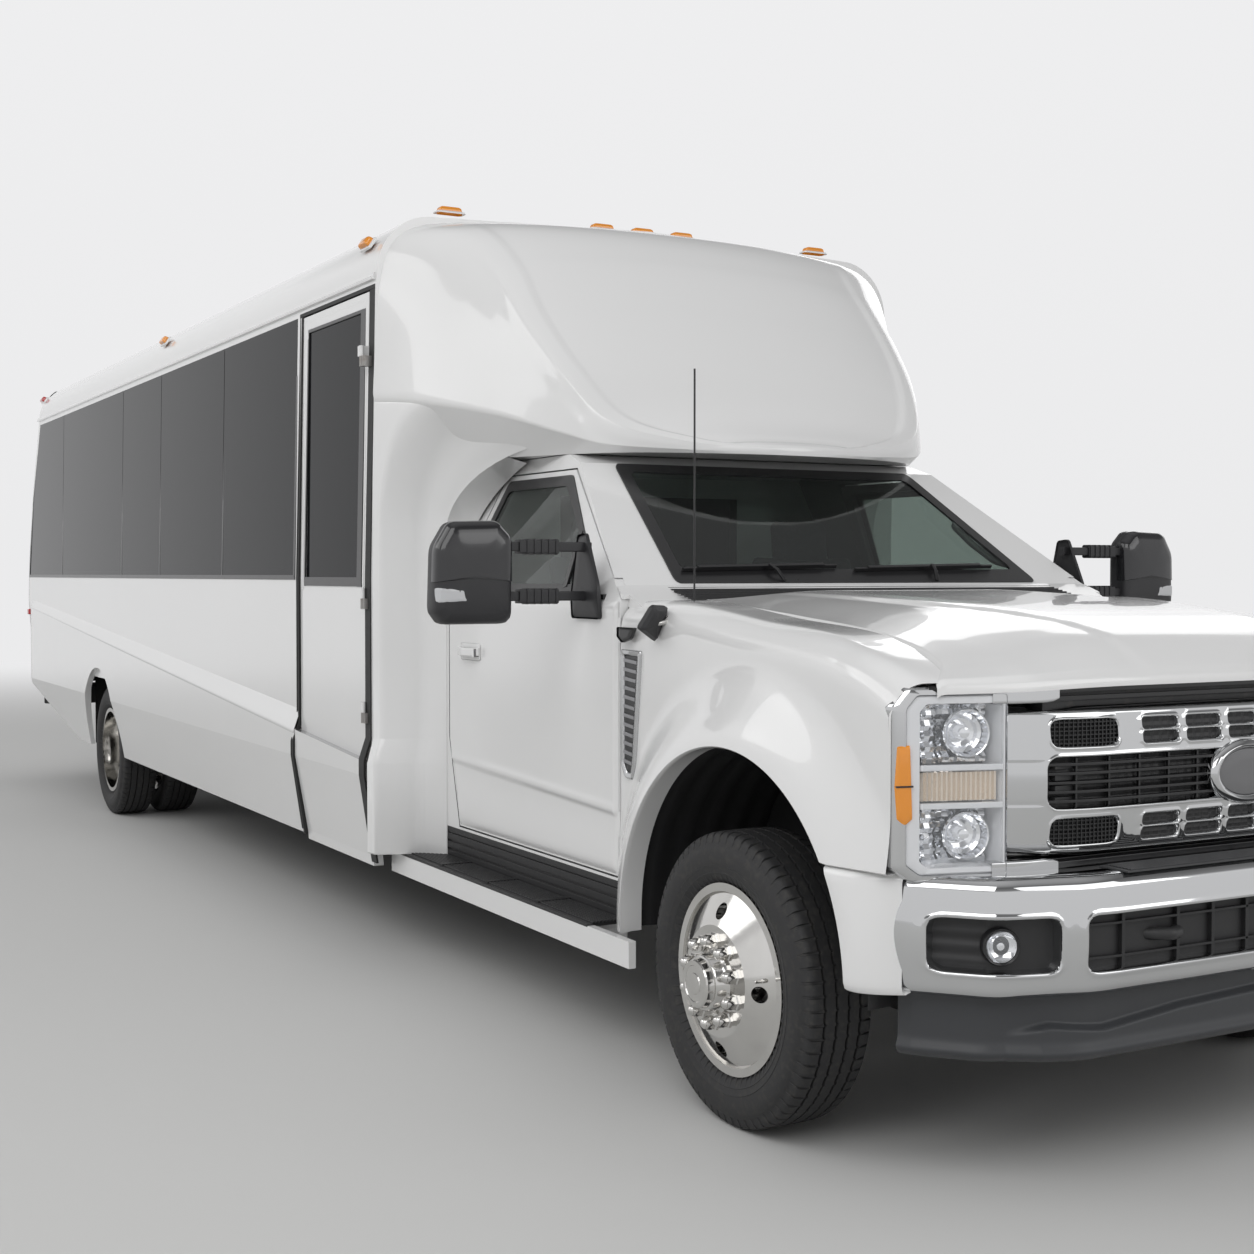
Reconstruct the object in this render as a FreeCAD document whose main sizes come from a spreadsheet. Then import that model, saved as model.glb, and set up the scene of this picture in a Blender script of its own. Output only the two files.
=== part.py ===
import FreeCAD, Part
import Sketcher
import math
import os
import re
from FreeCAD import Vector

# Shuttle minibus: a hollow coach body with an over-cab nose on a heavy pickup-type cab and chassis.
# Frame: +X is the way it drives, +Y is its left side, +Z is up, and the origin is on the ground
# under the middle of its length. Sizes are millimetres.

os.makedirs("parts", exist_ok=True)
doc = FreeCAD.newDocument("minibus")
sheet = doc.addObject("Spreadsheet::Sheet", "sizes")

# Driving dimensions. "Behind" and "ahead" are measured from the front axle, "half" from the centre
# plane, and a "height" from the ground.
SIZES = [
    # whole vehicle
    ("overall_length", 10720),
    ("front_overhang", 980),
    ("wheelbase", 7090),
    ("running_gap", 0.3),
    # tyres and wheels
    ("tyre_radius", 405),
    ("tyre_width", 226),
    ("tread_width", 186),
    ("shoulder_drop", 18),
    ("rim_radius", 252),
    ("rim_width", 190),
    ("rim_lip", 11),
    ("rim_lip_width", 12),
    ("rim_wall", 12),
    ("disc_offset", 136),
    ("disc_thickness", 14),
    ("disc_flat_radius", 152),
    ("disc_dish", 62),
    ("front_track_half", 950),
    ("rear_track_half", 940),
    ("nut_circle_radius", 112),
    ("nut_radius", 15),
    ("nut_length", 36),
    ("nut_count", 10),
    ("hand_hole_circle_radius", 190),
    ("hand_hole_radius", 22),
    ("hand_hole_count", 4),
    ("front_hub_radius", 80),
    ("front_cap_radius", 62),
    ("front_cap_length", 52),
    ("rear_hub_radius", 88),
    ("rear_hub_length", 150),
    ("spindle_radius", 36),
    # front axle and steering
    ("kingpin_half", 800),
    ("kingpin_radius", 20),
    ("kingpin_boss_radius", 42),
    ("kingpin_boss_height", 110),
    ("yoke_thickness", 34),
    ("spindle_flange_radius", 88),
    ("spindle_flange_thickness", 22),
    ("beam_drop", 70),
    ("beam_height", 90),
    ("beam_width", 84),
    ("beam_bend_half", 560),
    # springs
    ("front_spring_half_length", 560),
    ("front_spring_half", 432),
    ("rear_spring_half_length", 700),
    ("rear_spring_half", 512),
    ("spring_width", 70),
    ("spring_thickness", 36),
    ("spring_eye_radius", 26),
    # rear axle
    ("axle_tube_radius", 58),
    ("differential_radius", 180),
    ("differential_width", 220),
    ("pinion_length", 50),
    ("pinion_rise", 60),
    # frame
    ("rail_half", 432),
    ("rail_height", 190),
    ("rail_bottom_height", 610),
    ("rail_flange", 74),
    ("rail_web", 10),
    ("rail_front_ahead", 800),
    ("rail_rear_set_in", 410),
    ("crossmember_size", 70),
    ("crossmember_middle_behind", 4200),
    ("outrigger_size", 60),
    ("outrigger_rear_set_in", 1030),
    # engine and drive line
    ("engine_front_ahead", 430),
    ("engine_rear_behind", 520),
    ("engine_half", 340),
    ("engine_bottom_height", 560),
    ("engine_top_height", 1140),
    ("gearbox_rear_behind", 1500),
    ("gearbox_half", 170),
    ("gearbox_top_height", 790),
    ("shaft_radius", 45),
    ("radiator_ahead", 585),
    ("radiator_thickness", 70),
    ("radiator_half", 370),
    ("radiator_top_height", 1180),
    # cab
    ("cab_nose_behind", 550),
    ("cab_half_width", 1000),
    ("cab_roof_half", 760),
    ("cab_roof_height", 1940),
    ("cab_belt_drop", 50),
    ("cab_bottom_height", 560),
    ("cab_mount_height", 20),
    ("cab_mount_behind", 900),
    ("cab_mount_pitch", 1000),
    ("cab_mount_size", 60),
    ("cab_floor_thickness", 40),
    ("cab_rocker_width", 60),
    ("cab_wall", 30),
    ("cowl_drop", 90),
    ("screen_base_behind", 760),
    ("screen_base_height", 1480),
    ("screen_top_behind", 1390),
    ("screen_top_height", 1905),
    ("screen_base_half", 745),
    ("screen_top_half", 640),
    ("screen_glass", 6),
    # cab doors
    ("cab_door_front_behind", 695),
    ("cab_door_rear_behind", 2035),
    ("cab_door_sill_behind", 1940),
    ("cab_door_bottom_height", 575),
    ("cab_door_knee_height", 900),
    ("cab_door_top_height", 1880),
    ("cab_door_top_front_behind", 1400),
    ("cab_door_top_rear_behind", 1965),
    ("door_gap", 6),
    ("handle_behind", 1735),
    ("handle_length", 140),
    ("handle_room", 18),
    ("handle_depth", 16),
    ("handle_drop", 216),
    ("handle_height", 30),
    ("door_pin_radius", 4),
    ("door_pin_length", 80),
    ("door_pin_low_height", 700),
    ("door_pin_high_drop", 130),
    ("cab_glass_border", 62),
    ("cab_glass_rise", 32),
    ("cab_glass", 5),
    # coach body
    ("body_front_behind", 2250),
    ("body_half_width", 1225),
    ("wall_lean", 27),
    ("wall_thickness", 50),
    ("floor_top_height", 920),
    ("floor_thickness", 60),
    ("belt_height", 1500),
    ("cantrail_drop", 280),
    ("roof_edge_drop", 45),
    ("roof_height", 2930),
    ("roof_corner_radius", 230),
    ("rear_bulge_height", 1320),
    ("rear_knee_set_in", 160),
    ("rear_knee_height", 2070),
    ("rear_top_set_in", 590),
    ("rear_foot_set_in", 240),
    ("rear_foot_height", 700),
    ("rear_round", 95),
    ("rear_corner", 50),
    ("front_wall_thickness", 60),
    ("gangway_half", 420),
    ("gangway_height", 1830),
    # side windows
    ("band_front_behind", 3200),
    ("band_rear_inset", 110),
    ("band_bottom_height", 1500),
    ("band_top_drop", 320),
    ("band_depth", 8),
    ("glass_gap", 8),
    ("window_frame", 34),
    # skirts
    ("skirt_half_width", 1254),
    ("skirt_bottom_half", 1195),
    ("skirt_bottom_height", 400),
    ("skirt_belly_height", 740),
    ("skirt_thickness", 26),
    ("ledge_front_height", 884),
    ("ledge_rear_height", 1340),
    ("ledge_front_drop", 86),
    ("ledge_rear_drop", 42),
    ("skirt_rise_behind", 7860),
    ("rear_arch_radius", 480),
    # entry door and steps
    ("entry_front_behind", 2330),
    ("entry_rear_behind", 3120),
    ("entry_bottom_height", 380),
    ("entry_top_drop", 330),
    ("entry_thickness", 40),
    ("entry_glass_bottom_height", 1500),
    ("entry_glass_drop", 70),
    ("entry_glass_border", 62),
    ("entry_glass", 6),
    ("hinge_ahead_of_leaf", 10),
    ("hinge_stand_off", 15),
    ("hinge_radius", 9),
    ("hinge_pin_radius", 5),
    ("hinge_knuckle", 40),
    ("hinge_reach", 30),
    ("hinge_low_height", 980),
    ("hinge_middle_drop", 80),
    ("hinge_high_drop", 250),
    ("step_depth", 290),
    ("step_rise", 190),
    ("step_sheet", 20),
    # front cap
    ("cap_sheet", 30),
    ("cap_column_front_behind", 2110),
    ("column_edge", 46),
    ("column_sweep", 110),
    ("column_round", 30),
    ("column_hollow", 90),
    ("cap_column_bottom_height", 446),
    # bonnet and wings
    ("hood_half", 795),
    ("hood_thickness", 24),
    ("hood_front_ahead", 830),
    ("hood_front_half", 690),
    ("hood_corner_ahead", 620),
    ("hood_crown", 27),
    ("hood_crown_half", 500),
    ("hood_front_drop", 160),
    ("hood_bend_ahead", 460),
    ("hood_bend_drop", 89),
    ("hood_rear_behind", 540),
    ("hood_rear_drop", 45),
    ("hood_gap", 6),
    ("hood_pivot_inset", 15),
    ("hood_pivot_drop", 15),
    ("hood_pivot_radius", 8),
    ("wing_rear_behind", 688),
    ("wing_sheet", 28),
    ("wing_bottom_height", 446),
    ("wing_shoulder", 60),
    ("wing_front_ahead", 700),
    ("wing_front_half", 1045),
    ("arch_ahead", 50),
    ("arch_height", 490),
    ("arch_radius", 560),
    ("flare_half", 1105),
    ("flare_reach", 170),
    ("liner_inner_half", 610),
    ("liner_sheet", 12),
    # front end
    ("grille_ahead", 840),
    ("grille_depth", 50),
    ("grille_sweep", 40),
    ("grille_flat_half", 640),
    ("grille_half", 762),
    ("grille_bottom_height", 826),
    ("grille_top_height", 1185),
    ("band_half", 64),
    ("bar_edge", 20),
    ("bar_opening", 62),
    ("mesh_inner_half", 430),
    ("slot_pitch", 150),
    ("slot_width", 130),
    ("slot_rib", 20),
    ("oval_half_width", 135),
    ("oval_half_height", 83),
    ("oval_depth", 30),
    ("lamp_inner_half", 772),
    ("lamp_inner_ahead", 805),
    ("lamp_outer_half", 1050),
    ("lamp_outer_ahead", 722),
    ("lamp_bottom_height", 801),
    ("lamp_top_height", 1245),
    ("lamp_bezel", 38),
    ("lamp_rear_ahead", 655),
    ("lamp_back", 22),
    ("support_front_ahead", 730),
    ("bumper_ahead", 980),
    ("bumper_bottom_height", 510),
    ("bumper_top_height", 800),
    ("bumper_edge", 22),
    ("bumper_flat_half", 660),
    ("bumper_mid_half", 870),
    ("bumper_mid_ahead", 885),
    ("bumper_depth", 110),
    ("bumper_opening_half", 640),
    ("bumper_opening_depth", 120),
    ("bumper_opening_bottom_height", 575),
    ("bumper_opening_top_height", 702),
    ("fog_inner_half", 700),
    ("fog_outer_half", 965),
    ("fog_inner_depth", 100),
    ("fog_outer_depth", 70),
    ("fog_half", 853),
    ("fog_radius", 42),
    ("fog_set_back", 40),
    ("fog_length", 110),
    ("bumper_half", 1010),
    ("bumper_corner_ahead", 720),
    ("bumper_end_half", 1100),
    ("bumper_end_rear_ahead", 610),
    ("bumper_end_sheet", 50),
    ("dam_bottom_height", 350),
    ("dam_set_back", 60),
    ("dam_sheet", 34),
    # cab steps
    ("board_lip_behind", 405),
    ("board_lip", 24),
    ("board_half", 1130),
    ("board_inner_half", 990),
    ("board_bottom_height", 360),
    ("board_height", 440),
    ("board_riser_thickness", 24),
    # mirrors
    ("mirror_behind", 850),
    ("mirror_inner_half", 1285),
    ("mirror_outer_half", 1545),
    ("mirror_drop", 70),
    ("mirror_height", 320),
    ("mirror_depth", 90),
    ("mirror_edge", 24),
    ("mirror_corner", 42),
    ("mirror_slant", 70),
    ("mirror_bracket", 14),
    ("mirror_arm_radius", 15),
    ("mirror_sleeve_radius", 24),
    ("mirror_sleeve_length", 150),
    ("mirror_arm_low_rise", 15),
    ("mirror_arm_high_rise", 170),
    # inside
    ("dash_depth", 330),
    ("dash_top_height", 1395),
    ("dash_bottom_height", 1080),
    ("wheel_rim_radius", 195),
    ("wheel_rim_section", 15),
    ("wheel_stand_off", 120),
    ("wheel_drop", 130),
    ("column_radius", 24),
    ("driver_half", 450),
    ("cab_seat_behind", 1280),
    ("seat_width", 480),
    ("seat_depth", 470),
    ("cab_cushion_height", 330),
    ("cab_back_height", 880),
    ("seat_cushion_thickness", 120),
    ("seat_back_thickness", 90),
    ("bench_cushion_height", 440),
    ("bench_back_height", 1120),
    ("bench_width", 860),
    ("bench_wall_gap", 40),
    ("bench_pitch", 780),
    ("bench_first_behind", 3600),
    ("bench_rear_room", 870),
    # rear and underbody
    ("rear_glass_half", 620),
    ("rear_glass_bottom_height", 1450),
    ("rear_glass_drop", 80),
    ("rear_bumper_half", 1060),
    ("rear_bumper_height", 140),
    ("rear_bumper_bottom_height", 540),
    ("rear_bumper_set_in", 180),
    ("tank_front_behind", 3700),
    ("tank_rear_behind", 5000),
    ("tank_inner_half", 560),
    ("tank_outer_half", 1080),
    ("tank_bottom_height", 430),
    ("tank_top_height", 760),
    ("strap_set_in", 260),
    ("strap_width", 60),
    ("exhaust_radius", 42),
    ("muffler_radius", 115),
    ("exhaust_half", 270),
    ("exhaust_height", 540),
    ("exhaust_end_set_in", 30),
    ("muffler_rear_behind", 4300),
    ("muffler_length", 1100),
    ("hanger_width", 30),
    ("hanger_lap", 20),
    ("hanger_rear_set_in", 1000),
    ("flap_behind", 7640),
    ("flap_height", 460),
    ("flap_thickness", 10),
    ("tail_lamp_half", 1025),
    ("tail_lamp_width", 130),
    ("tail_lamp_rise", 60),
    ("tail_lamp_height", 300),
    ("lamp_thickness", 22),
    ("antenna_behind", 450),
    ("antenna_half", 880),
    ("antenna_length", 700),
    ("antenna_radius", 3),
    ("marker_length", 120),
    ("marker_height", 28),
    ("marker_depth", 40),
    ("marker_outer_half", 870),
    ("marker_inner_half", 190),
    ("marker_set_back", 60),
]

# Places worked out from the sizes and from the names above them.
DERIVED = dict([
    ("front_axle_x", "overall_length / 2 - front_overhang"),
    ("rear_bulge_behind", "overall_length - front_overhang"),
    ("rear_knee_behind", "rear_bulge_behind - rear_knee_set_in"),
    ("rear_top_behind", "rear_bulge_behind - rear_top_set_in"),
    ("rear_foot_behind", "rear_bulge_behind - rear_foot_set_in"),
    ("rail_rear_behind", "rear_bulge_behind - rail_rear_set_in"),
    ("rear_bumper_behind", "rear_bulge_behind - rear_bumper_set_in"),
    ("cantrail_height", "roof_height - cantrail_drop"),
    ("roof_edge_height", "roof_height - roof_edge_drop"),
    ("band_top_height", "roof_height - band_top_drop"),
    ("entry_top_height", "roof_height - entry_top_drop"),
    ("entry_glass_top_height", "entry_top_height - entry_glass_drop"),
    ("hinge_high_height", "entry_top_height - hinge_high_drop"),
    ("rear_glass_top_height", "rear_knee_height - rear_glass_drop"),
    ("cowl_height", "screen_base_height - cowl_drop"),
    ("cab_belt_height", "screen_base_height - cab_belt_drop"),
    ("cab_glass_bottom_height", "cab_belt_height + cab_glass_rise"),
    ("mirror_bottom_height", "cab_belt_height - mirror_drop"),
    ("mirror_top_height", "mirror_bottom_height + mirror_height"),
    ("mirror_arm_low_height", "cab_belt_height + mirror_arm_low_rise"),
    ("mirror_arm_high_height", "cab_belt_height + mirror_arm_high_rise"),
    ("door_pin_high_height", "cab_belt_height - door_pin_high_drop"),
    ("handle_bottom_height", "cab_belt_height - handle_drop"),
    ("hinge_middle_height", "belt_height - hinge_middle_drop"),
    ("hood_rear_height", "screen_base_height - hood_rear_drop"),
    ("hood_bend_height", "hood_rear_height - hood_bend_drop"),
    ("hood_front_height", "hood_rear_height - hood_front_drop"),
    ("rear_axle_x", "front_axle_x - wheelbase"),
    ("rear_end_x", "-overall_length / 2"),
    ("body_front_x", "front_axle_x - body_front_behind"),
    ("rail_top_height", "rail_bottom_height + rail_height"),
    ("floor_bottom_height", "floor_top_height - floor_thickness"),
    ("roof_half", "body_half_width - wall_lean"),
    ("half_rim", "rim_width / 2"),
    ("beam_top_height", "tyre_radius - beam_drop"),
    ("beam_bottom_height", "beam_top_height - beam_height"),
    ("wing_half", "cab_half_width"),
    ("cab_floor_bottom_height", "rail_top_height + cab_mount_height"),
    ("cab_floor_top_height", "cab_floor_bottom_height + cab_floor_thickness"),
    ("cap_bottom_height", "cab_roof_height"),
])

for row, (name, value) in enumerate(SIZES, 1):
    sheet.set("A%d" % row, name)
    sheet.set("B%d" % row, str(value))
    sheet.setAlias("B%d" % row, name)
doc.recompute()
SIZE_NAMES = {name for name, value in SIZES}
WORD = re.compile(r"[A-Za-z_]\w*")


def spelled_out(formula, prefix):
    """The formula with derived names opened up and a prefix before each of the sheet's names."""
    def one_word(match):
        word = match.group(0)
        if word in DERIVED:
            return "(" + spelled_out(DERIVED[word], prefix) + ")"
        return prefix + word if word in SIZE_NAMES else word
    return WORD.sub(one_word, str(formula))


def bound(formula):
    return spelled_out(formula, "sizes.")


def number(formula):
    return float(sheet.evalExpression(spelled_out(formula, "")))


# Each axis: the origin plane across it, and which way that plane's normal points along it.
PLANES = {"x": ("YZ_Plane", 1), "y": ("XZ_Plane", -1), "z": ("XY_Plane", 1)}


def new_sketch(body, axis, at):
    role, sense = PLANES[axis]
    drawing = body.newObject("Sketcher::SketchObject", body.Name + "_sketch")
    drawing.AttachmentSupport = [([item for item in body.Origin.OriginFeatures if item.Role == role][0], "")]
    drawing.MapMode = "FlatFace"
    drawing.setExpression("AttachmentOffset.Base.z", bound(f"{sense} * ({at})"))
    return drawing


def sketch_outline(body, axis, at, outline):
    """A closed outline of straight lines; each corner is two formulas measured from the origin."""
    drawing = new_sketch(body, axis, at)
    corners = [Vector(number(across), number(up), 0) for across, up in outline]
    count = len(corners)
    lines = [Part.LineSegment(corners[i], corners[(i + 1) % count]) for i in range(count)]
    drawing.addGeometry(lines, False)
    rules = [Sketcher.Constraint("Coincident", i, 2, (i + 1) % count, 1) for i in range(count)]
    for i, corner in enumerate(corners):
        rules.append(Sketcher.Constraint("DistanceX", -1, 1, i, 1, corner.x))
        rules.append(Sketcher.Constraint("DistanceY", -1, 1, i, 1, corner.y))
    drawing.addConstraint(rules)
    for i, (across, up) in enumerate(outline):
        drawing.setExpression("Constraints[%d]" % (count + 2 * i), bound(across))
        drawing.setExpression("Constraints[%d]" % (count + 2 * i + 1), bound(up))
    return drawing


def sketch_circles(body, axis, at, centres, radius):
    """Equal circles, each centre two formulas measured from the origin."""
    drawing = new_sketch(body, axis, at)
    for i, (across, up) in enumerate(centres):
        place = Vector(number(across), number(up), 0)
        drawing.addGeometry(Part.Circle(place, Vector(0, 0, 1), number(radius)), False)
        drawing.addConstraint([
            Sketcher.Constraint("Radius", i, number(radius)),
            Sketcher.Constraint("DistanceX", -1, 1, i, 3, place.x),
            Sketcher.Constraint("DistanceY", -1, 1, i, 3, place.y),
        ])
        drawing.setExpression("Constraints[%d]" % (3 * i), bound(radius))
        drawing.setExpression("Constraints[%d]" % (3 * i + 1), bound(across))
        drawing.setExpression("Constraints[%d]" % (3 * i + 2), bound(up))
    return drawing


def pad(body, drawing, axis, start, end):
    feature = body.newObject("PartDesign::Pad", body.Name + "_pad")
    feature.Profile = drawing
    feature.Reversed = axis == "y"
    feature.setExpression("Length", bound(f"({end}) - ({start})"))
    return feature


def pocket(body, drawing, axis, start, end):
    feature = body.newObject("PartDesign::Pocket", body.Name + "_pocket")
    feature.Profile = drawing
    feature.Reversed = axis != "y"
    feature.setExpression("Length", bound(f"({end}) - ({start})"))
    return feature


def prism(name, axis, start, end, outline):
    """A body padded from start to end along an axis. Corners are (X, Z) along y, (Y, Z) along x."""
    body = doc.addObject("PartDesign::Body", name)
    pad(body, sketch_outline(body, axis, start, outline), axis, start, end)
    return body


def round_off(body, radius, places):
    """Fillet the edges of a body's tip that run through the given places (as two coordinates)."""
    doc.recompute()
    tip = body.Tip
    names = []
    for index, edge in enumerate(tip.Shape.Edges, 1):
        ends = [vertex.Point for vertex in edge.Vertexes]
        for pick, place in places:
            target = [number(item) for item in place]
            if all(math.dist([getattr(end, letter) for letter in pick], target) < 0.01 for end in ends):
                names.append("Edge%d" % index)
    feature = body.newObject("PartDesign::Fillet", body.Name + "_round")
    feature.Base = (tip, names)
    feature.setExpression("Radius", bound(radius))
    return body


def turned(name, outline, at):
    """A body turned about its own Y axis; each corner is a radius and a distance along Y."""
    body = doc.addObject("PartDesign::Body", name)
    drawing = sketch_outline(body, "z", "0", outline)
    feature = body.newObject("PartDesign::Revolution", name + "_turn")
    feature.Profile = drawing
    feature.ReferenceAxis = (drawing, ["V_Axis"])
    feature.Angle = 360
    place(body, at)
    return body


def ruled(name, drawings, body):
    loft = body.newObject("PartDesign::AdditiveLoft", name + "_loft")
    loft.Profile = drawings[0]
    loft.Sections = drawings[1:]
    loft.Ruled = True
    return body


def place(item, at):
    for letter, formula in zip("xyz", at):
        item.setExpression("Placement.Base." + letter, bound(formula))
    return item


def block(name, x_from, x_to, y_from, y_to, z_from, z_to):
    box = doc.addObject("Part::Box", name)
    box.setExpression("Length", bound(f"({x_to}) - ({x_from})"))
    box.setExpression("Width", bound(f"({y_to}) - ({y_from})"))
    box.setExpression("Height", bound(f"({z_to}) - ({z_from})"))
    return place(box, (x_from, y_from, z_from))


# A cylinder points along Z; these turns lay it along the other axes.
TURNS = {"x": FreeCAD.Rotation(Vector(0, 1, 0), 90), "y": FreeCAD.Rotation(Vector(1, 0, 0), -90),
         "z": FreeCAD.Rotation()}


def rod(name, axis, at, radius, length):
    cylinder = doc.addObject("Part::Cylinder", name)
    cylinder.setExpression("Radius", bound(radius))
    cylinder.setExpression("Height", bound(length))
    cylinder.Placement.Rotation = TURNS[axis]
    return place(cylinder, at)


def cone(name, axis, at, first_radius, second_radius, length):
    item = doc.addObject("Part::Cone", name)
    item.setExpression("Radius1", bound(first_radius))
    item.setExpression("Radius2", bound(second_radius))
    item.setExpression("Height", bound(length))
    item.Placement.Rotation = TURNS[axis]
    return place(item, at)


def fuse(name, parts):
    item = doc.addObject("Part::MultiFuse", name)
    item.Shapes = parts
    item.Refine = True
    return item


def common(name, first, second):
    item = doc.addObject("Part::MultiCommon", name)
    item.Shapes = [first, second]
    return item


def cut(name, base, tools):
    item = doc.addObject("Part::Cut", name)
    item.Base = base
    item.Tool = tools[0] if len(tools) == 1 else fuse(name + "_tools", tools)
    item.Refine = True
    return item


def group(name, parts):
    item = doc.addObject("Part::Compound", name)
    item.Links = parts
    return item


def mirrored(name, source):
    """The same piece on the other side of the centre plane."""
    item = doc.addObject("Part::Mirroring", name)
    item.Source = source
    item.Normal = Vector(0, 1, 0)
    return item


NODES = []


def node(label, item):
    item.Label = label
    NODES.append(item)
    return item


def pair(label, left):
    """A left and a right node of one form."""
    right = mirrored(label + "_right_form", left)
    return node(label + "_left", left), node(label + "_right", right)


def both_sides(label, left):
    """One node that holds a left and a right piece of one form."""
    return node(label, group(label + "_group", [left, mirrored(label + "_mirror", left)]))


def along(formula):
    """A place behind the front axle, as an X formula."""
    return f"front_axle_x - ({formula})"


def ahead(formula):
    return f"front_axle_x + ({formula})"


# Wheels. A rim section is a radius and a distance outward; a ring of round places is laid by angle.
def ring_places(count, circle_radius, height):
    """Centres of equal circles round the wheel's axis, the first one straight up."""
    step = 360 / int(number(count))
    return [(f"{circle_radius} * sin({step * i})", f"{height} + {circle_radius} * cos({step * i})")
            for i in range(int(number(count)))]


def rim_outline(disc):
    """Barrel with a lip at each side and the disc that starts inside it."""
    barrel = [
        ("rim_radius - rim_wall", "-half_rim"), ("rim_radius + rim_lip", "-half_rim"),
        ("rim_radius + rim_lip", "-half_rim + rim_lip_width"), ("rim_radius", "-half_rim + rim_lip_width"),
        ("rim_radius", "half_rim - rim_lip_width"), ("rim_radius + rim_lip", "half_rim - rim_lip_width"),
        ("rim_radius + rim_lip", "half_rim"), ("rim_radius - rim_wall", "half_rim"),
    ]
    return barrel + disc


WHEEL_DISC = [
    ("rim_radius - rim_wall", "disc_offset - disc_dish + disc_thickness"),
    ("disc_flat_radius", "disc_offset"),
    ("spindle_radius + running_gap", "disc_offset"),
    ("spindle_radius + running_gap", "disc_offset - disc_thickness"),
    ("disc_flat_radius - disc_thickness", "disc_offset - disc_thickness"),
    ("rim_radius - rim_wall", "disc_offset - disc_dish - disc_thickness"),
]


def tyre_outline():
    """Bead, sidewall, shoulder and tread of one side, then the same again on the other side."""
    side = [("rim_radius + running_gap", "half_rim - rim_lip_width - 1"),
            ("rim_radius + rim_lip + 2", "half_rim - rim_lip_width - 1"),
            ("(rim_radius + tyre_radius) / 2", "tyre_width / 2"),
            ("tyre_radius - shoulder_drop", "tread_width / 2 + shoulder_drop / 2"),
            ("tyre_radius", "tread_width / 2 - shoulder_drop / 2")]
    return [(radius, f"-({out})") for radius, out in side] + side[::-1]


def wheel_disc(name, x, y, sense):
    """A rim whose disc stands out by disc_offset from the tyre's centre plane, with hand holes."""
    outline = [(radius, f"{sense} * ({out})") for radius, out in rim_outline(WHEEL_DISC)]
    rim = turned(name, outline, (x, y, "tyre_radius"))
    holes = sketch_circles(rim, "y", "-rim_width", ring_places("hand_hole_count", "hand_hole_circle_radius",
                                                               "0"),
                           "hand_hole_radius")
    pocket(rim, holes, "y", "-rim_width", "rim_width")
    return rim


def nuts(name, x, y_from, y_to):
    ring = doc.addObject("PartDesign::Body", name)
    ring.AllowCompound = True
    drawing = sketch_circles(ring, "y", y_from, ring_places("nut_count", "nut_circle_radius", "tyre_radius"),
                             "nut_radius")
    pad(ring, drawing, "y", y_from, y_to)
    ring.setExpression("Placement.Base.x", bound(x))
    return ring


def front_wheel():
    disc_face = "front_track_half + disc_offset"
    rim = wheel_disc("front_rim", "front_axle_x", "front_track_half", 1)
    hub = turned("front_hub", [
        ("spindle_radius + running_gap",
         "kingpin_half + kingpin_boss_radius + spindle_flange_thickness + 40"),
        ("front_hub_radius", "kingpin_half + kingpin_boss_radius + spindle_flange_thickness + 40"),
        ("front_hub_radius", disc_face + " - disc_thickness"),
        ("spindle_radius + running_gap", disc_face + " - disc_thickness"),
    ], ("front_axle_x", "0", "tyre_radius"))
    cap = turned("front_cap_hub", [
        ("0", disc_face + " + 0"), ("front_cap_radius + 12", disc_face),
        ("front_cap_radius + 12", disc_face + " + 10"), ("front_cap_radius", disc_face + " + 12"),
        ("front_cap_radius - 6", disc_face + " + front_cap_length"),
        ("0", disc_face + " + front_cap_length"),
    ], ("front_axle_x", "0", "tyre_radius"))
    ring = nuts("front_nuts", "front_axle_x", disc_face, disc_face + " + nut_length")
    pair("front_wheel", fuse("front_wheel_form", [rim, hub, cap, ring]))
    tyre = turned("front_tyre_form", tyre_outline(), ("front_axle_x", "front_track_half", "tyre_radius"))
    pair("front_tyre", tyre)


def rear_wheels():
    outer = "rear_track_half + disc_offset"
    inner = "rear_track_half - disc_offset"
    outer_rim = wheel_disc("rear_outer_rim", "rear_axle_x", outer, -1)
    inner_rim = wheel_disc("rear_inner_rim", "rear_axle_x", inner, 1)
    hub = turned("rear_hub", [
        ("spindle_radius + running_gap", "rear_track_half - disc_thickness - 60"),
        ("rear_hub_radius", "rear_track_half - disc_thickness - 60"),
        ("rear_hub_radius", "rear_track_half + rear_hub_length"),
        ("0", "rear_track_half + rear_hub_length"),
        ("0", "rear_track_half + rear_hub_length - 20"),
        ("spindle_radius + running_gap", "rear_track_half + rear_hub_length - 20"),
    ], ("rear_axle_x", "0", "tyre_radius"))
    ring = nuts("rear_nuts", "rear_axle_x", "rear_track_half",
                "rear_track_half + disc_thickness + nut_length")
    pair("rear_wheels", fuse("rear_wheels_form", [outer_rim, inner_rim, hub, ring]))
    tyres = [turned("rear_tyre_%s" % key, tyre_outline(), ("rear_axle_x", y, "tyre_radius"))
             for key, y in (("outer", outer), ("inner", inner))]
    pair("rear_tyres", group("rear_tyres_form", tyres))


def spring(name, x, half, eye_height, low_height, half_length):
    """A leaf pack: a shallow bow between two eyes, clamped flat over the axle."""
    flat = "beam_width"
    outline = [
        (f"{x} - {half_length}", eye_height), (f"{x} - {flat}", low_height), (f"{x} + {flat}", low_height),
        (f"{x} + {half_length}", eye_height), (f"{x} + {half_length}",
                                               f"{eye_height} + spring_thickness / 2"),
        (f"{x} + {flat}", f"{low_height} + spring_thickness"),
        (f"{x} - {flat}", f"{low_height} + spring_thickness"),
        (f"{x} - {half_length}", f"{eye_height} + spring_thickness / 2"),
    ]
    return prism(name, "y", f"{half} - spring_width / 2", f"{half} + spring_width / 2", outline)


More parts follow.
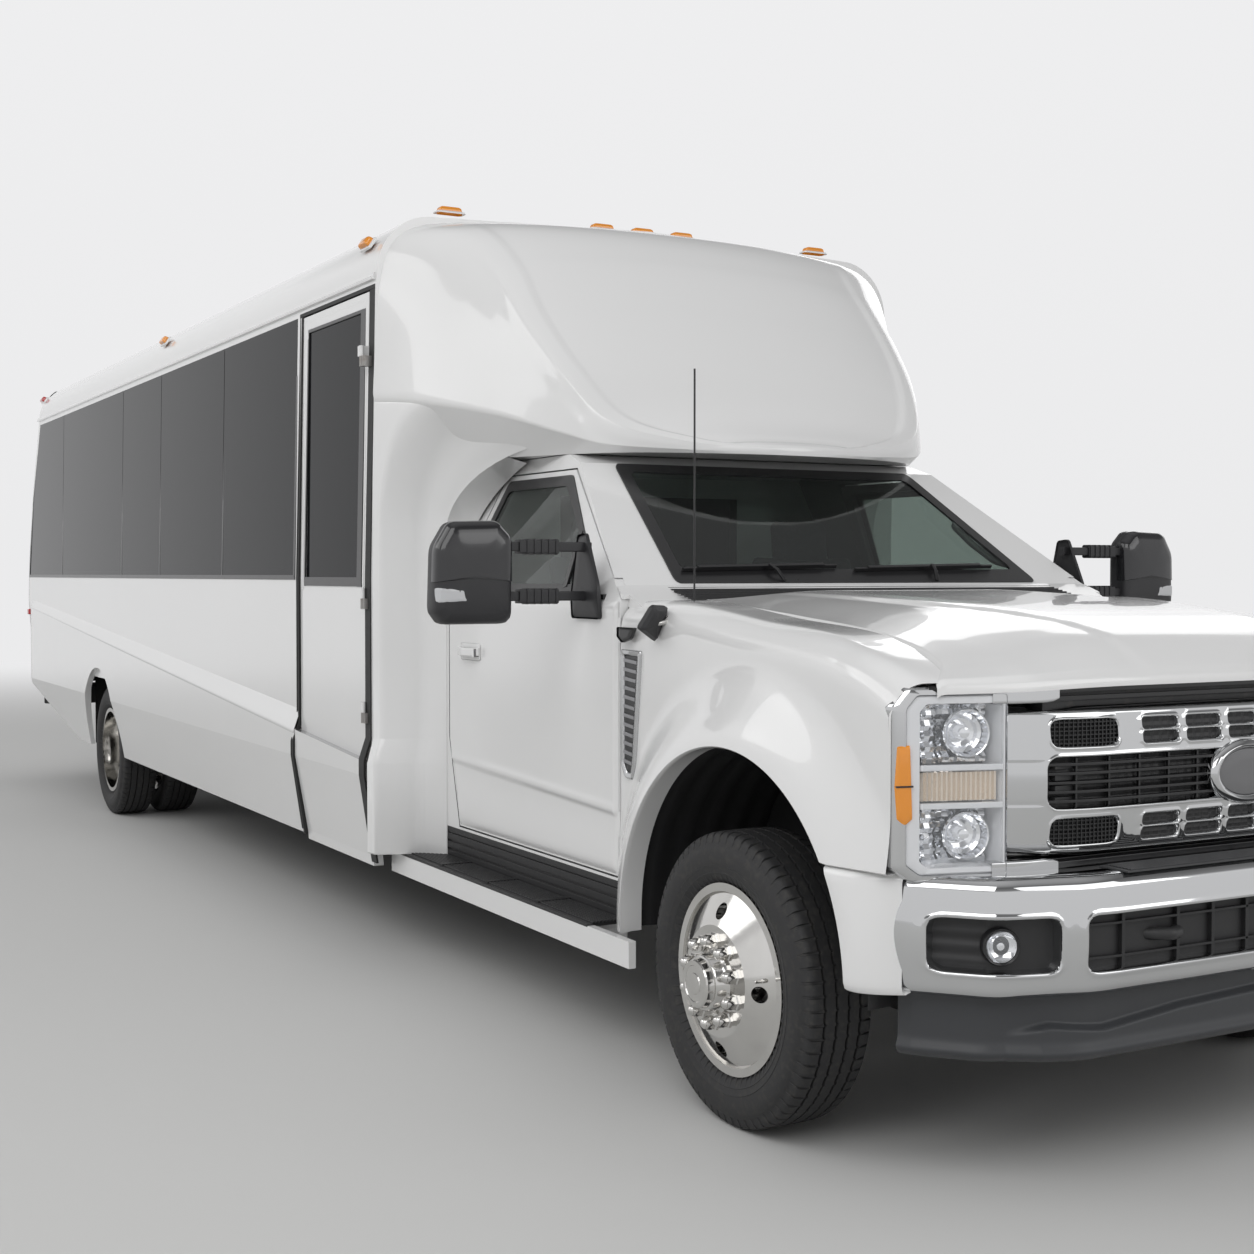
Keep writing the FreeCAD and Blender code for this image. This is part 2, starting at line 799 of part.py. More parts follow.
def front_axle():
    boss_low = "tyre_radius - kingpin_boss_height / 2"
    x = "front_axle_x"
    beam_end = "kingpin_half"
    beam = prism("front_beam", "x", f"{x} - beam_width / 2", f"{x} + beam_width / 2", [
        (f"-{beam_end}", "tyre_radius - 30"), (f"-{beam_end}", "tyre_radius + 30"),
        ("-beam_bend_half", "tyre_radius + 20"),
        ("-front_spring_half - 60", "beam_top_height"), ("front_spring_half + 60", "beam_top_height"),
        ("beam_bend_half", "tyre_radius + 20"), (beam_end, "tyre_radius + 30"),
        (beam_end, "tyre_radius - 30"),
        ("beam_bend_half + 40", "tyre_radius - 50"), ("front_spring_half + 20", "beam_bottom_height"),
        ("-front_spring_half - 20", "beam_bottom_height"), ("-beam_bend_half - 40", "tyre_radius - 50"),
    ])
    bosses = []
    bores = []
    springs = []
    for side, key in ((1, "left"), (-1, "right")):
        bosses.append(rod("kingpin_boss_" + key, "z", (x, f"{side} * kingpin_half", boss_low),
                          "kingpin_boss_radius", "kingpin_boss_height"))
        bores.append(rod("kingpin_bore_" + key, "z", (x, f"{side} * kingpin_half", f"{boss_low} - 10"),
                         "kingpin_radius + running_gap", "kingpin_boss_height + 20"))
        springs.append(spring("front_spring_" + key, x, f"{side} * front_spring_half",
                              "rail_bottom_height - spring_eye_radius * 2", "beam_top_height",
                              "front_spring_half_length"))
        for end in (1, -1):
            springs.append(block(f"front_hanger_{key}_{end + 1}",
                                 f"{x} + {end} * front_spring_half_length - 30",
                                 f"{x} + {end} * front_spring_half_length + 30",
                                 f"{side} * front_spring_half - spring_width / 2",
                                 f"{side} * front_spring_half + spring_width / 2",
                                 "rail_bottom_height - spring_eye_radius * 2", "rail_bottom_height"))
    whole = fuse("front_axle_whole", [beam] + bosses + springs)
    node("front_axle", cut("front_axle_form", whole, bores))


def knuckle():
    """Yoke round the beam's boss, with the kingpin, the stub axle and the steering arm."""
    x = "front_axle_x"
    top = "tyre_radius + kingpin_boss_height / 2 + running_gap"
    low = "tyre_radius - kingpin_boss_height / 2 - running_gap"
    plate = "kingpin_half + kingpin_boss_radius + 14"
    parts = [
        block("yoke_top", f"{x} - 40", f"{x} + 40", "kingpin_half - 40", plate, top,
              f"{top} + yoke_thickness"),
        block("yoke_low", f"{x} - 40", f"{x} + 40", "kingpin_half - 40", plate, f"{low} - yoke_thickness",
              low),
        rod("stub_flange", "y", (x, plate, "tyre_radius"), "spindle_flange_radius",
            "spindle_flange_thickness"),
        rod("stub", "y", (x, plate, "tyre_radius"), "spindle_radius",
            f"front_track_half + disc_offset - 2 - ({plate})"),
        rod("kingpin", "z", (x, "kingpin_half", f"{low} - yoke_thickness - 6"), "kingpin_radius",
            f"({top}) - ({low}) + yoke_thickness * 2 + 12"),
        block("steering_arm", f"{x} - 190", f"{x} - 30", "kingpin_half - 40", "kingpin_half - 12",
              f"{low} - yoke_thickness", low),
    ]
    pair("knuckle", fuse("knuckle_form", parts))


def rear_axle():
    x = "rear_axle_x"
    end = "rear_track_half - disc_thickness - 61"
    parts = [
        rod("axle_tube", "y", (x, f"-({end})", "tyre_radius"), "axle_tube_radius", f"2 * ({end})"),
        rod("axle_spindles", "y", (x, "-rear_track_half - rear_hub_length + 22", "tyre_radius"),
            "spindle_radius",
            "2 * (rear_track_half + rear_hub_length - 22)"),
        rod("differential", "y", (x, "-differential_width / 2", "tyre_radius"), "differential_radius",
            "differential_width"),
        rod("pinion_nose", "x", (f"{x} + 60", "0", "tyre_radius + pinion_rise"), "axle_tube_radius",
            "differential_radius + pinion_length - 60"),
    ]
    for side, key in ((1, "left"), (-1, "right")):
        half = f"{side} * rear_spring_half"
        parts.append(spring("rear_spring_" + key, x, half, "rail_bottom_height + 40",
                            "tyre_radius + axle_tube_radius - 6", "rear_spring_half_length"))
        for fore in (1, -1):
            middle = f"{x} + {fore} * rear_spring_half_length"
            parts.append(rod(f"spring_pin_{key}_{fore + 1}", "y",
                             (middle, f"{side} * ((rail_half + rail_flange / 2 + rear_spring_half) / 2 + "
                              f"spring_width / 4) - (rear_spring_half + spring_width / 2 - rail_half - "
                              f"rail_flange / 2) / 2", "rail_bottom_height + 49"),
                             "spring_eye_radius",
                             "rear_spring_half + spring_width / 2 - rail_half - rail_flange / 2"))
    node("rear_axle", fuse("rear_axle_form", parts))


def frame():
    rear = along("rail_rear_behind")
    front = ahead("rail_front_ahead")
    low, top = "rail_bottom_height", "rail_top_height"
    outer, inner = "(rail_half + rail_flange / 2)", "(rail_half - rail_flange / 2)"
    parts = []
    for side, key in ((1, "left"), (-1, "right")):
        channel = [(f"{side} * {outer}", low), (f"{side} * {outer}", top), (f"{side} * {inner}", top),
                   (f"{side} * {inner}", f"{top} - rail_web"),
                   (f"{side} * ({outer} - rail_web)", f"{top} - rail_web"),
                   (f"{side} * ({outer} - rail_web)", f"{low} + rail_web"),
                   (f"{side} * {inner}", f"{low} + rail_web"), (f"{side} * {inner}", low)]
        parts.append(prism("rail_" + key, "x", rear, front, channel))
    for key, x in (("front", ahead("rail_front_ahead - 120")),
                   ("gearbox", along("gearbox_rear_behind + 200")),
                   ("middle", along("crossmember_middle_behind")), ("axle_front", along("wheelbase - 900")),
                   ("axle_rear", along("wheelbase + 900")), ("rear", along("rail_rear_behind - 10"))):
        reach = f"({outer} - rail_web)"
        parts.append(block("crossmember_" + key, x, f"{x} + crossmember_size", f"-{reach}", reach,
                           f"{top} - crossmember_size - rail_web", f"{top} - rail_web"))
    for key, behind in (("one", "entry_rear_behind + outrigger_size * 2 + 20"),
                        ("two", "tank_front_behind + 700"),
                        ("three", "tank_rear_behind + 600"), ("four",
                                                              "rail_rear_behind - outrigger_rear_set_in"),
                        ("five", "rail_rear_behind - 130")):
        parts.append(block("outrigger_" + key, along(behind), along(f"{behind} - outrigger_size"),
                           "-body_half_width + wall_thickness + 20", "body_half_width - wall_thickness - 20",
                           top, "floor_bottom_height"))
    node("frame", fuse("frame_form", parts))


def powertrain():
    """Engine, gearbox and drive shaft as plain masses on mounts between the rails."""
    rear_face = "rear_axle_x + differential_radius + pinion_length"
    parts = [
        block("engine", along("engine_rear_behind"), ahead("engine_front_ahead"), "-engine_half",
              "engine_half",
              "engine_bottom_height", "engine_top_height"),
        block("gearbox", along("gearbox_rear_behind"), along("engine_rear_behind"), "-gearbox_half",
              "gearbox_half", "engine_bottom_height - 100", "gearbox_top_height"),
        block("engine_mounts", along("60"), ahead("40"), "-(rail_half - rail_flange / 2)",
              "rail_half - rail_flange / 2", "rail_bottom_height + 40", "rail_bottom_height + 120"),
    ]
    node("powertrain", fuse("powertrain_form", parts))
    shaft_length = f"front_axle_x - gearbox_rear_behind - ({rear_face})"
    node("drive_shaft", rod("drive_shaft_form", "x", (rear_face, "0", "tyre_radius + pinion_rise"),
                            "shaft_radius",
                            shaft_length))


def radiator():
    node("radiator", block("radiator_form", ahead("radiator_ahead"),
                           ahead("radiator_ahead + radiator_thickness"),
                           "-radiator_half", "radiator_half", "rail_bottom_height", "radiator_top_height"))


def underbody():
    tank = block("tank", along("tank_rear_behind"), along("tank_front_behind"), "tank_inner_half",
                 "tank_outer_half", "tank_bottom_height", "tank_top_height")
    straps = [block("tank_strap_%d" % i, along(f"{edge} + strap_width"), along(edge),
                    "rail_half + rail_flange / 2",
                    "tank_inner_half + strap_width", "tank_top_height - 40", "rail_top_height - 20")
              for i, edge in enumerate(("tank_front_behind + strap_set_in",
                                        "tank_rear_behind - strap_set_in"))]
    node("fuel_tank", fuse("fuel_tank_form", [tank] + straps))
    end = "rail_rear_behind - exhaust_end_set_in"
    pipe = rod("tail_pipe", "x", (along(end), "exhaust_half", "exhaust_height"), "exhaust_radius",
               f"{end} - engine_rear_behind")
    muffler = rod("muffler", "x", (along("muffler_rear_behind"), "exhaust_half", "exhaust_height"),
                  "muffler_radius", "muffler_length")
    hangers = [block(f"pipe_hanger_{key}", along(behind), along(f"{behind} - hanger_width"), "exhaust_half",
                     "rail_half - rail_flange / 2 + hanger_lap", "exhaust_height", "rail_bottom_height")
               for key, behind in (("front", "muffler_rear_behind - muffler_length * 0.6"),
                                   ("rear", "rail_rear_behind - hanger_rear_set_in"))]
    node("exhaust", fuse("exhaust_form", [pipe, muffler] + hangers))


# Cab: the outer form is a side profile crossed with a front section; the inside is the same set in.
CAB_REAR = "body_front_x"


def cab_form(name, inset, floor):
    nose = along(f"cab_nose_behind + {inset}")
    profile = prism(name + "_profile", "y", "-cab_half_width - 50", "cab_half_width + 50", [
        (nose, floor), (nose, f"cowl_height - {inset}"),
        (along(f"screen_base_behind + {inset} * 0.5"), f"screen_base_height - {inset}"),
        (along("screen_top_behind"), f"screen_top_height - {inset} * 1.2"),
        (along("screen_top_behind + 110"), f"cab_roof_height - {inset}"),
        (f"{CAB_REAR} - {inset}", f"cab_roof_height - {inset}"), (f"{CAB_REAR} - {inset}", floor),
    ])
    belt, roof = f"cab_half_width - {inset}", f"cab_roof_half - {inset} * 1.1"
    section = prism(name + "_section", "x", f"{CAB_REAR} - 100", along("cab_nose_behind - 100"), [
        (f"-({belt})", floor), (belt, floor), (belt, "cab_belt_height"),
        (roof, "cab_roof_height"), (f"-({roof})", "cab_roof_height"), (f"-({belt})", "cab_belt_height"),
    ])
    return common(name, profile, section)


def door_outline(grow):
    """Side outline of the cab door, grown by a margin all round."""
    return [
        (along(f"cab_door_front_behind - ({grow})"), f"cab_door_bottom_height - ({grow})"),
        (along(f"cab_door_front_behind - ({grow})"), "cab_belt_height + 6"),
        (along(f"cab_door_top_front_behind - ({grow}) * 0.8"), f"cab_door_top_height + ({grow})"),
        (along(f"cab_door_top_rear_behind + ({grow})"), f"cab_door_top_height + ({grow})"),
        (along(f"cab_door_rear_behind + ({grow})"), "cab_belt_height"),
        (along(f"cab_door_rear_behind + ({grow})"), "cab_door_knee_height"),
        (along(f"cab_door_sill_behind + ({grow})"), f"cab_door_bottom_height - ({grow})"),
    ]


def cab_glass_outline(grow):
    edge = f"(cab_glass_border - ({grow}))"
    return [
        (along(f"cab_door_front_behind + 120 + {edge}"), f"cab_glass_bottom_height - ({grow})"),
        (along(f"cab_door_top_front_behind + {edge} * 0.4"), f"cab_door_top_height - {edge} * 0.55"),
        (along(f"cab_door_top_rear_behind - {edge} * 0.8"), f"cab_door_top_height - {edge} * 0.55"),
        (along(f"cab_door_rear_behind - {edge}"), f"cab_glass_bottom_height - ({grow})"),
    ]


def screen_outline(inset):
    return [(f"-(screen_base_half - {inset})", f"screen_base_height + 12 + {inset}"),
            (f"screen_base_half - {inset}", f"screen_base_height + 12 + {inset}"),
            (f"screen_top_half - {inset}", f"screen_top_height - 12 - {inset}"),
            (f"-(screen_top_half - {inset})", f"screen_top_height - 12 - {inset}")]


def wing_seat(name, side):
    """Room at the cab's front corner for the rear end of the wing panel."""
    near, far = "cab_half_width - wing_sheet - 2", "cab_half_width + 60"
    low, high = (near, far) if side > 0 else (f"-({far})", f"-({near})")
    return block(name, along("wing_rear_behind + 2"), along("cab_nose_behind - 60"), low, high,
                 "cab_bottom_height - 60", "cab_roof_height")


def cab():
    """Walls between two forms; only their side parts carry the doors."""
    low = "cab_bottom_height"
    outer = cab_form("cab_outer", "0", low)
    inner = cab_form("cab_inner", "cab_wall", f"{low} - 50")
    back = block("cab_back_opening", f"{CAB_REAR} - 40", f"{CAB_REAR} + cab_wall + 10", "-gangway_half - 250",
                 "gangway_half + 250", "cab_floor_top_height", "cab_roof_height - cab_wall")
    rails_room = block("cab_rails_room", f"{CAB_REAR} - 40", along("cab_nose_behind - 40"),
                       "-(cab_half_width - cab_rocker_width)", "cab_half_width - cab_rocker_width",
                       f"{low} - 50", "cab_floor_bottom_height")
    walls = cut("cab_walls", outer, [inner, back, rails_room])
    belt, roof = "(cab_half_width - cab_wall)", "(cab_roof_half - cab_wall * 1.1)"
    middle = prism("cab_middle", "x", f"{CAB_REAR} - 100", along("cab_nose_behind - 100"), [
        (f"-{belt}", f"{low} - 50"), (belt, f"{low} - 50"), (belt, "cab_belt_height"),
        (roof, "cab_roof_height"), (f"-{roof}", "cab_roof_height"), (f"-{belt}", "cab_belt_height")])
    sides = cut("cab_sides", outer, [middle])
    room = prism("door_room", "y", "-cab_half_width - 100", "cab_half_width + 100", door_outline("door_gap"))
    screen_room = prism("screen_room", "x", along("screen_top_behind + 100"),
                        along("screen_base_behind - 60"),
                        screen_outline("0"))
    openings = [common("door_openings", sides, room), screen_room, wing_seat("wing_seat_left", 1),
                wing_seat("wing_seat_right", -1)]
    floor = block("cab_floor", CAB_REAR, along("cab_nose_behind"), "-(cab_half_width - cab_wall)",
                  "cab_half_width - cab_wall", "cab_floor_bottom_height", "cab_floor_top_height")
    floor_cut = cut("cab_floor_trimmed", floor, [wing_seat("floor_trim_left", 1),
                                                 wing_seat("floor_trim_right", -1)])
    mounts = [block(f"cab_mount_{i}_{k}", along(f"cab_mount_behind + cab_mount_pitch * {i}"),
                    along(f"cab_mount_behind + cab_mount_pitch * {i} - cab_mount_size"),
                    f"{side} * rail_half - cab_mount_size / 2", f"{side} * rail_half + cab_mount_size / 2",
                    "rail_top_height", "cab_floor_bottom_height")
              for i in range(2) for k, side in enumerate((1, -1))]
    node("cab_shell", fuse("cab_shell_form", [cut("cab_open", walls, openings), floor_cut] + mounts))
    left_side = block("cab_left_zone", CAB_REAR, along("cab_nose_behind"), "10", "cab_half_width + 50", low,
                      "cab_roof_height")
    panel = common("left_door_zone", left_side, prism("door_panel", "y", "0", "cab_half_width + 50",
                                                      door_outline("0")))
    skin = common("cab_door_skin", sides, panel)
    window = prism("door_window_left", "y", "400", "cab_half_width + 100", cab_glass_outline("0"))
    pins = [rod("door_pin_" + key, "z", (along("cab_door_front_behind"), "cab_half_width", height),
                "door_pin_radius", "door_pin_length")
            for key, height in (("low", "door_pin_low_height"), ("high", "door_pin_high_height"))]
    handle = [block("handle_grip", along("handle_behind + handle_length"), along("handle_behind"),
                    "cab_half_width + handle_room", "cab_half_width + handle_room + handle_depth",
                    "handle_bottom_height", "handle_bottom_height + handle_height")]
    for key, behind in (("front", "handle_behind"), ("rear", "handle_behind + handle_length - handle_depth")):
        handle.append(block("handle_foot_" + key, along(f"{behind} + handle_depth"), along(behind),
                            "cab_half_width - 1",
                            "cab_half_width + handle_room + 1", "handle_bottom_height",
                            "handle_bottom_height + handle_height"))
    pair("cab_door", fuse("cab_door_form", [cut("cab_door_leaf", skin, [window])] + pins + handle))
    outer_thin = cab_form("cab_glass_inner", "cab_glass", f"{low} - 50")
    glass_skin = cut("glass_skin", outer, [outer_thin])
    pair("cab_door_glass", common("cab_door_glass_form", glass_skin,
                                  prism("door_glass_left", "y", "400", "cab_half_width + 100",
                                        cab_glass_outline("0"))))
    screen = prism("screen_slab", "y", "-cab_half_width", "cab_half_width", [
        (along("screen_base_behind"), "screen_base_height"), (along("screen_top_behind"),
                                                              "screen_top_height"),
        (along("screen_top_behind"), "screen_top_height - screen_glass * 1.2"),
        (along("screen_base_behind"), "screen_base_height - screen_glass * 1.2"),
    ])
    node("windscreen", common("windscreen_form", screen, prism(
        "screen_cutter", "x", along("screen_top_behind + 100"), along("screen_base_behind - 60"),
        screen_outline("0"))))


# Bonnet sections. Columns: how far ahead of the front axle, half width, height at the side, half
# width of the raised centre, and how far that stands above the side.
HOOD = [
    ("-hood_rear_behind", "hood_half", "hood_rear_height", "hood_crown_half", "hood_crown"),
    ("hood_bend_ahead", "hood_half", "hood_bend_height", "hood_crown_half - 40", "hood_crown * 2"),
    ("hood_corner_ahead", "hood_half", "hood_front_height + 4", "hood_crown_half - 60", "hood_crown * 3"),
    ("hood_front_ahead", "hood_front_half", "hood_front_height", "hood_crown_half - 80", "hood_crown / 3"),
]
# Wing sections. Columns: how far ahead of the front axle, half width, and the shoulder's height.
WING = [("-hood_rear_behind", "wing_half", "hood_rear_height"),
        ("hood_bend_ahead", "wing_front_half", "hood_bend_height"),
        ("hood_corner_ahead", "wing_front_half", "hood_front_height - 10"),
        ("wing_front_ahead", "wing_front_half", "hood_front_height - 26")]


def bonnet():
    panel = doc.addObject("PartDesign::Body", "hood_panel")
    drawings = []
    for forward, half, height, crown_half, crown in HOOD:
        upper = [(half, height), (crown_half, f"{height} + {crown}")]
        left = [(half, f"{height} - hood_thickness")] + upper
        right = [(f"-({across})", up) for across, up in reversed(left)]
        under = [(f"-({crown_half})", f"{height} + {crown} - hood_thickness"),
                 (crown_half, f"{height} + {crown} - hood_thickness")]
        drawings.append(sketch_outline(panel, "x", ahead(forward), left + right + under))
    node("hood", ruled("hood_panel", drawings, panel))


def wings():
    """Side sheet with a rounded shoulder, a turned flare, the liner over the tyre and a hinge pin."""
    sheet_body = doc.addObject("PartDesign::Body", "wing_sheet_body")
    drawings = []
    for forward, half, top in WING:
        inner = f"{half} - wing_sheet"
        drawings.append(sketch_outline(sheet_body, "x", ahead(forward), [
            (inner, "wing_bottom_height"), (half, "wing_bottom_height"), (half, f"{top} - wing_shoulder"),
            (f"{half} - wing_shoulder * 0.3", f"{top} - wing_shoulder * 0.3"),
            (f"{half} - wing_shoulder", top),
            ("hood_half + hood_gap", top), ("hood_half + hood_gap", f"{top} - wing_sheet"),
            (f"{half} - wing_shoulder", f"{top} - wing_sheet"), (inner, f"{top} - wing_shoulder")]))
    sheet_body = ruled("wing_sheet_body", drawings, sheet_body)
    side = prism("wing_side", "y", "wing_half - wing_sheet", "wing_half", [
        (along("wing_rear_behind"), "wing_bottom_height"), (along("hood_rear_behind"), "wing_bottom_height"),
        (along("hood_rear_behind"), "hood_rear_height - wing_shoulder"),
        (along("wing_rear_behind"), "cab_belt_height"),
    ])
    centre = (ahead("arch_ahead"), "wing_half", "arch_height")
    flare = turned("flare", [
        ("arch_radius - 1", "wing_half - wing_sheet"), ("arch_radius + flare_reach",
                                                        "wing_half - wing_sheet"),
        ("arch_radius + flare_reach", "wing_half"), ("arch_radius + flare_reach * 0.8", "wing_half + 40"),
        ("arch_radius + flare_reach * 0.5", "flare_half - 25"),
        ("arch_radius + flare_reach * 0.2", "flare_half"),
        ("arch_radius - 1", "flare_half")], (centre[0], "0", centre[2]))
    liner = rod("liner", "y", (centre[0], "liner_inner_half", centre[2]), "arch_radius + liner_sheet",
                "wing_half - wing_sheet - liner_inner_half + 4")
    opening = rod("arch_opening", "y", (centre[0], "liner_inner_half - 10", centre[2]), "arch_radius",
                  "flare_half - liner_inner_half + 40")
    near, far = "liner_inner_half - 20", "flare_half + 20"
    below = block("below_wing", along("wing_rear_behind + 100"), ahead("wing_front_ahead + 300"), near, far,
                  "-arch_radius", "wing_bottom_height")
    before = block("before_wing", ahead("wing_front_ahead"), ahead("wing_front_ahead + 300"), near, far,
                   "-arch_radius", "hood_rear_height + 20")
    lamp_room = block("wing_lamp_room", ahead("lamp_rear_ahead"), ahead("wing_front_ahead + 10"), near,
                      "wing_front_half - wing_sheet", "-arch_radius", "hood_rear_height + 20")
    behind = block("behind_wing", along("wing_rear_behind + 300"), along("cab_nose_behind - 2"), near,
                   "wing_half - wing_sheet", "-arch_radius", "hood_rear_height + 20")
    beyond = block("beyond_wing", along("wing_rear_behind + 300"), along("wing_rear_behind"), near, far,
                   "-arch_radius", "hood_rear_height + 20")
    bumper_room = block("wing_bumper_room", ahead("bumper_end_rear_ahead - hood_gap"),
                        ahead("wing_front_ahead + 10"),
                        near, far, "0", "bumper_top_height + hood_gap")
    pin = rod("hood_pin", "y", (along("hood_rear_behind - hood_pivot_inset"), "hood_half + running_gap",
                                "hood_rear_height - hood_pivot_drop"), "hood_pivot_radius",
              "hood_gap - running_gap + 10")
    solid = fuse("wing_solid", [side, sheet_body, flare, liner, pin])
    both_sides("front_wings", cut("wing_form", solid, [opening, below, before, lamp_room, behind, beyond,
                                                       bumper_room]))


def front_end():
    """Plan outlines are swept back towards the corners; every piece stands on the one behind it."""
    back = "grille_ahead - grille_depth"
    plate = prism("grille_plate", "z", "grille_bottom_height", "grille_top_height", [
        (ahead("grille_ahead"), "-grille_flat_half"), (ahead("grille_ahead"), "grille_flat_half"),
        (ahead("grille_ahead - grille_sweep"), "grille_half"),
        (ahead(f"{back} - grille_sweep"), "grille_half"),
        (ahead(back), "grille_flat_half"), (ahead(back), "-grille_flat_half"),
        (ahead(f"{back} - grille_sweep"), "-grille_half"), (ahead("grille_ahead - grille_sweep"),
                                                            "-grille_half")])
    middle = "(grille_bottom_height + grille_top_height) / 2"
    openings = [("band", "-(grille_flat_half - 15)", "grille_flat_half - 15", f"{middle} - band_half",
                 f"{middle} + band_half")]
    for bar, sense in (("upper", 1), ("lower", -1)):
        low, high = [f"{middle} + {sense} * (band_half + {rise})" for rise in ("bar_edge",
                                                                               "bar_edge + bar_opening")]
        for side in (1, -1):
            openings.append((f"{bar}_mesh_{side + 1}", f"{side} * mesh_inner_half",
                             f"{side} * (grille_flat_half - 15)",
                             low, high))
            for slot, near, far in (("outer", "slot_pitch * 1.5", "slot_pitch * 1.5 + slot_width"),
                                    ("inner", "slot_pitch / 2", "slot_pitch / 2 + slot_width")):
                openings.append((f"{bar}_{slot}_{side + 1}", f"{side} * {near}", f"{side} * {far}", low,
                                 high))
        openings.append((f"{bar}_centre", "-(slot_pitch / 2 - slot_rib)", "slot_pitch / 2 - slot_rib", low,
                         high))
    pockets = []
    bars = []
    for key, near, far, low, high in openings:
        y_from, y_to = sorted((near, far), key=number)
        z_from, z_to = sorted((low, high), key=number)
        pockets.append(block("grille_" + key, ahead(f"{back} - 20"), ahead("grille_ahead + 20"), y_from, y_to,
                             z_from, z_to))
        if key.endswith(("outer_0", "outer_2", "inner_0", "inner_2", "centre")):
            bars.append(block("slot_bar_" + key, ahead(back), ahead("grille_ahead - 4"), y_from, y_to,
                              f"({z_from} + {z_to}) / 2 - 5", f"({z_from} + {z_to}) / 2 + 5"))
    oval = doc.addObject("Part::Ellipse", "oval_line")
    oval.setExpression("MajorRadius", bound("oval_half_width"))
    oval.setExpression("MinorRadius", bound("oval_half_height"))
    oval.Placement.Rotation = FreeCAD.Rotation(Vector(0, 1, 0), Vector(0, 0, 1), Vector(1, 0, 0), "ZXY")
    place(oval, (ahead(back), "0", middle))
    boss = doc.addObject("Part::Extrusion", "oval_boss")
    boss.Base = oval
    boss.DirMode = "Custom"
    boss.Dir = Vector(1, 0, 0)
    boss.Solid = True
    boss.setExpression("LengthFwd", bound("grille_depth + oval_depth"))
    node("grille", fuse("grille_form", [cut("grille_open", plate, pockets), boss] + bars))
    lamp = prism("lamp_body", "z", "lamp_bottom_height", "lamp_top_height", [
        (ahead("lamp_inner_ahead"), "lamp_inner_half"), (ahead("lamp_outer_ahead"), "lamp_outer_half"),
        (ahead("wing_front_ahead + running_gap"), "lamp_outer_half"),
        (ahead("wing_front_ahead + running_gap"), "wing_front_half - wing_sheet - running_gap"),
        (ahead("lamp_rear_ahead + running_gap"), "wing_front_half - wing_sheet - running_gap"),
        (ahead("lamp_rear_ahead + running_gap"), "lamp_inner_half")])
    slope = "(lamp_inner_ahead - lamp_outer_ahead) / (lamp_outer_half - lamp_inner_half)"
    near, far = "(lamp_inner_half + lamp_bezel)", "(lamp_outer_half - lamp_bezel * 1.3)"
    face_near = f"(lamp_inner_ahead - lamp_bezel * {slope})"
    face_far = f"(lamp_inner_ahead - ({far} - lamp_inner_half) * {slope})"
    recess = prism("lamp_recess", "z", "lamp_bottom_height + lamp_bezel", "lamp_top_height - lamp_bezel", [
        (ahead(f"{face_near} + 20"), near), (ahead(f"{face_far} + 20"), far),
        (ahead("lamp_rear_ahead + lamp_back"), far), (ahead("lamp_rear_ahead + lamp_back"), near)])
    arms = [block("lamp_arm_" + key, ahead("support_front_ahead + 10"), ahead("lamp_inner_ahead"),
                  "grille_flat_half + 5",
                  "lamp_inner_half + 1", low, high)
            for key, low, high in (("upper", "grille_top_height + 5", "lamp_top_height"),
                                   ("lower", "lamp_bottom_height", "grille_bottom_height - 4"))]
    both_sides("headlamps", fuse("headlamp_form", [cut("lamp_open", lamp, [recess])] + arms))
    support = [block("support_wall", ahead("lamp_rear_ahead"), ahead("support_front_ahead"),
                     "-lamp_inner_half",
                     "lamp_inner_half", "rail_top_height", "radiator_top_height"),
               block("support_core", ahead("support_front_ahead"), ahead(f"{back} - running_gap"),
                     "-grille_flat_half", "grille_flat_half", "grille_bottom_height", "lamp_top_height - 10")]
    for i in range(4):
        low = f"{middle} - band_half + {14 + 28 * i}"
        support.append(block("band_bar_%d" % i, ahead(f"{back} - 2"), ahead("grille_ahead - 25"),
                             "-(grille_flat_half - 20)", "grille_flat_half - 20", low, f"{low} + 15"))
    hole = cut("support_open", fuse("support_solid", support), [
        block("oval_room", ahead(f"{back} - running_gap"), ahead("grille_ahead"), "-(oval_half_width + 4)",
              "oval_half_width + 4", f"{middle} - oval_half_height - 4", f"{middle} + oval_half_height + 4")])
    node("front_support", hole)
    beam = doc.addObject("PartDesign::Body", "bumper_beam")
    drawings = []
    for height, inset in (("bumper_bottom_height", "bumper_edge"),
                          ("bumper_bottom_height + bumper_edge", "0"),
                          ("bumper_top_height - bumper_edge", "0"), ("bumper_top_height", "bumper_edge")):
        half = [(ahead(f"bumper_ahead - {inset}"), "bumper_flat_half"),
                (ahead(f"bumper_mid_ahead - {inset}"), f"bumper_mid_half - {inset} / 2"),
                (ahead("bumper_corner_ahead"), f"bumper_half - {inset}"),
                (ahead("bumper_corner_ahead - 40"), "bumper_half - 45"),
                (ahead("bumper_mid_ahead - bumper_depth"), "bumper_mid_half - 60"),
                (ahead("rail_front_ahead"), "bumper_flat_half - 20")]
        drawings.append(sketch_outline(beam, "z", height, half + [(x, f"-({y})") for x, y in reversed(half)]))
    beam = ruled("bumper_beam", drawings, beam)
    low, high = "bumper_opening_bottom_height", "bumper_opening_top_height"
    centre = block("bumper_opening", ahead("bumper_ahead - bumper_opening_depth"), ahead("bumper_ahead + 20"),
                   "-bumper_opening_half", "bumper_opening_half", low, high)
    inner_face = ("(bumper_ahead + (bumper_mid_ahead - bumper_ahead) * (fog_inner_half - bumper_flat_half) / "
                  "(bumper_mid_half - bumper_flat_half))")
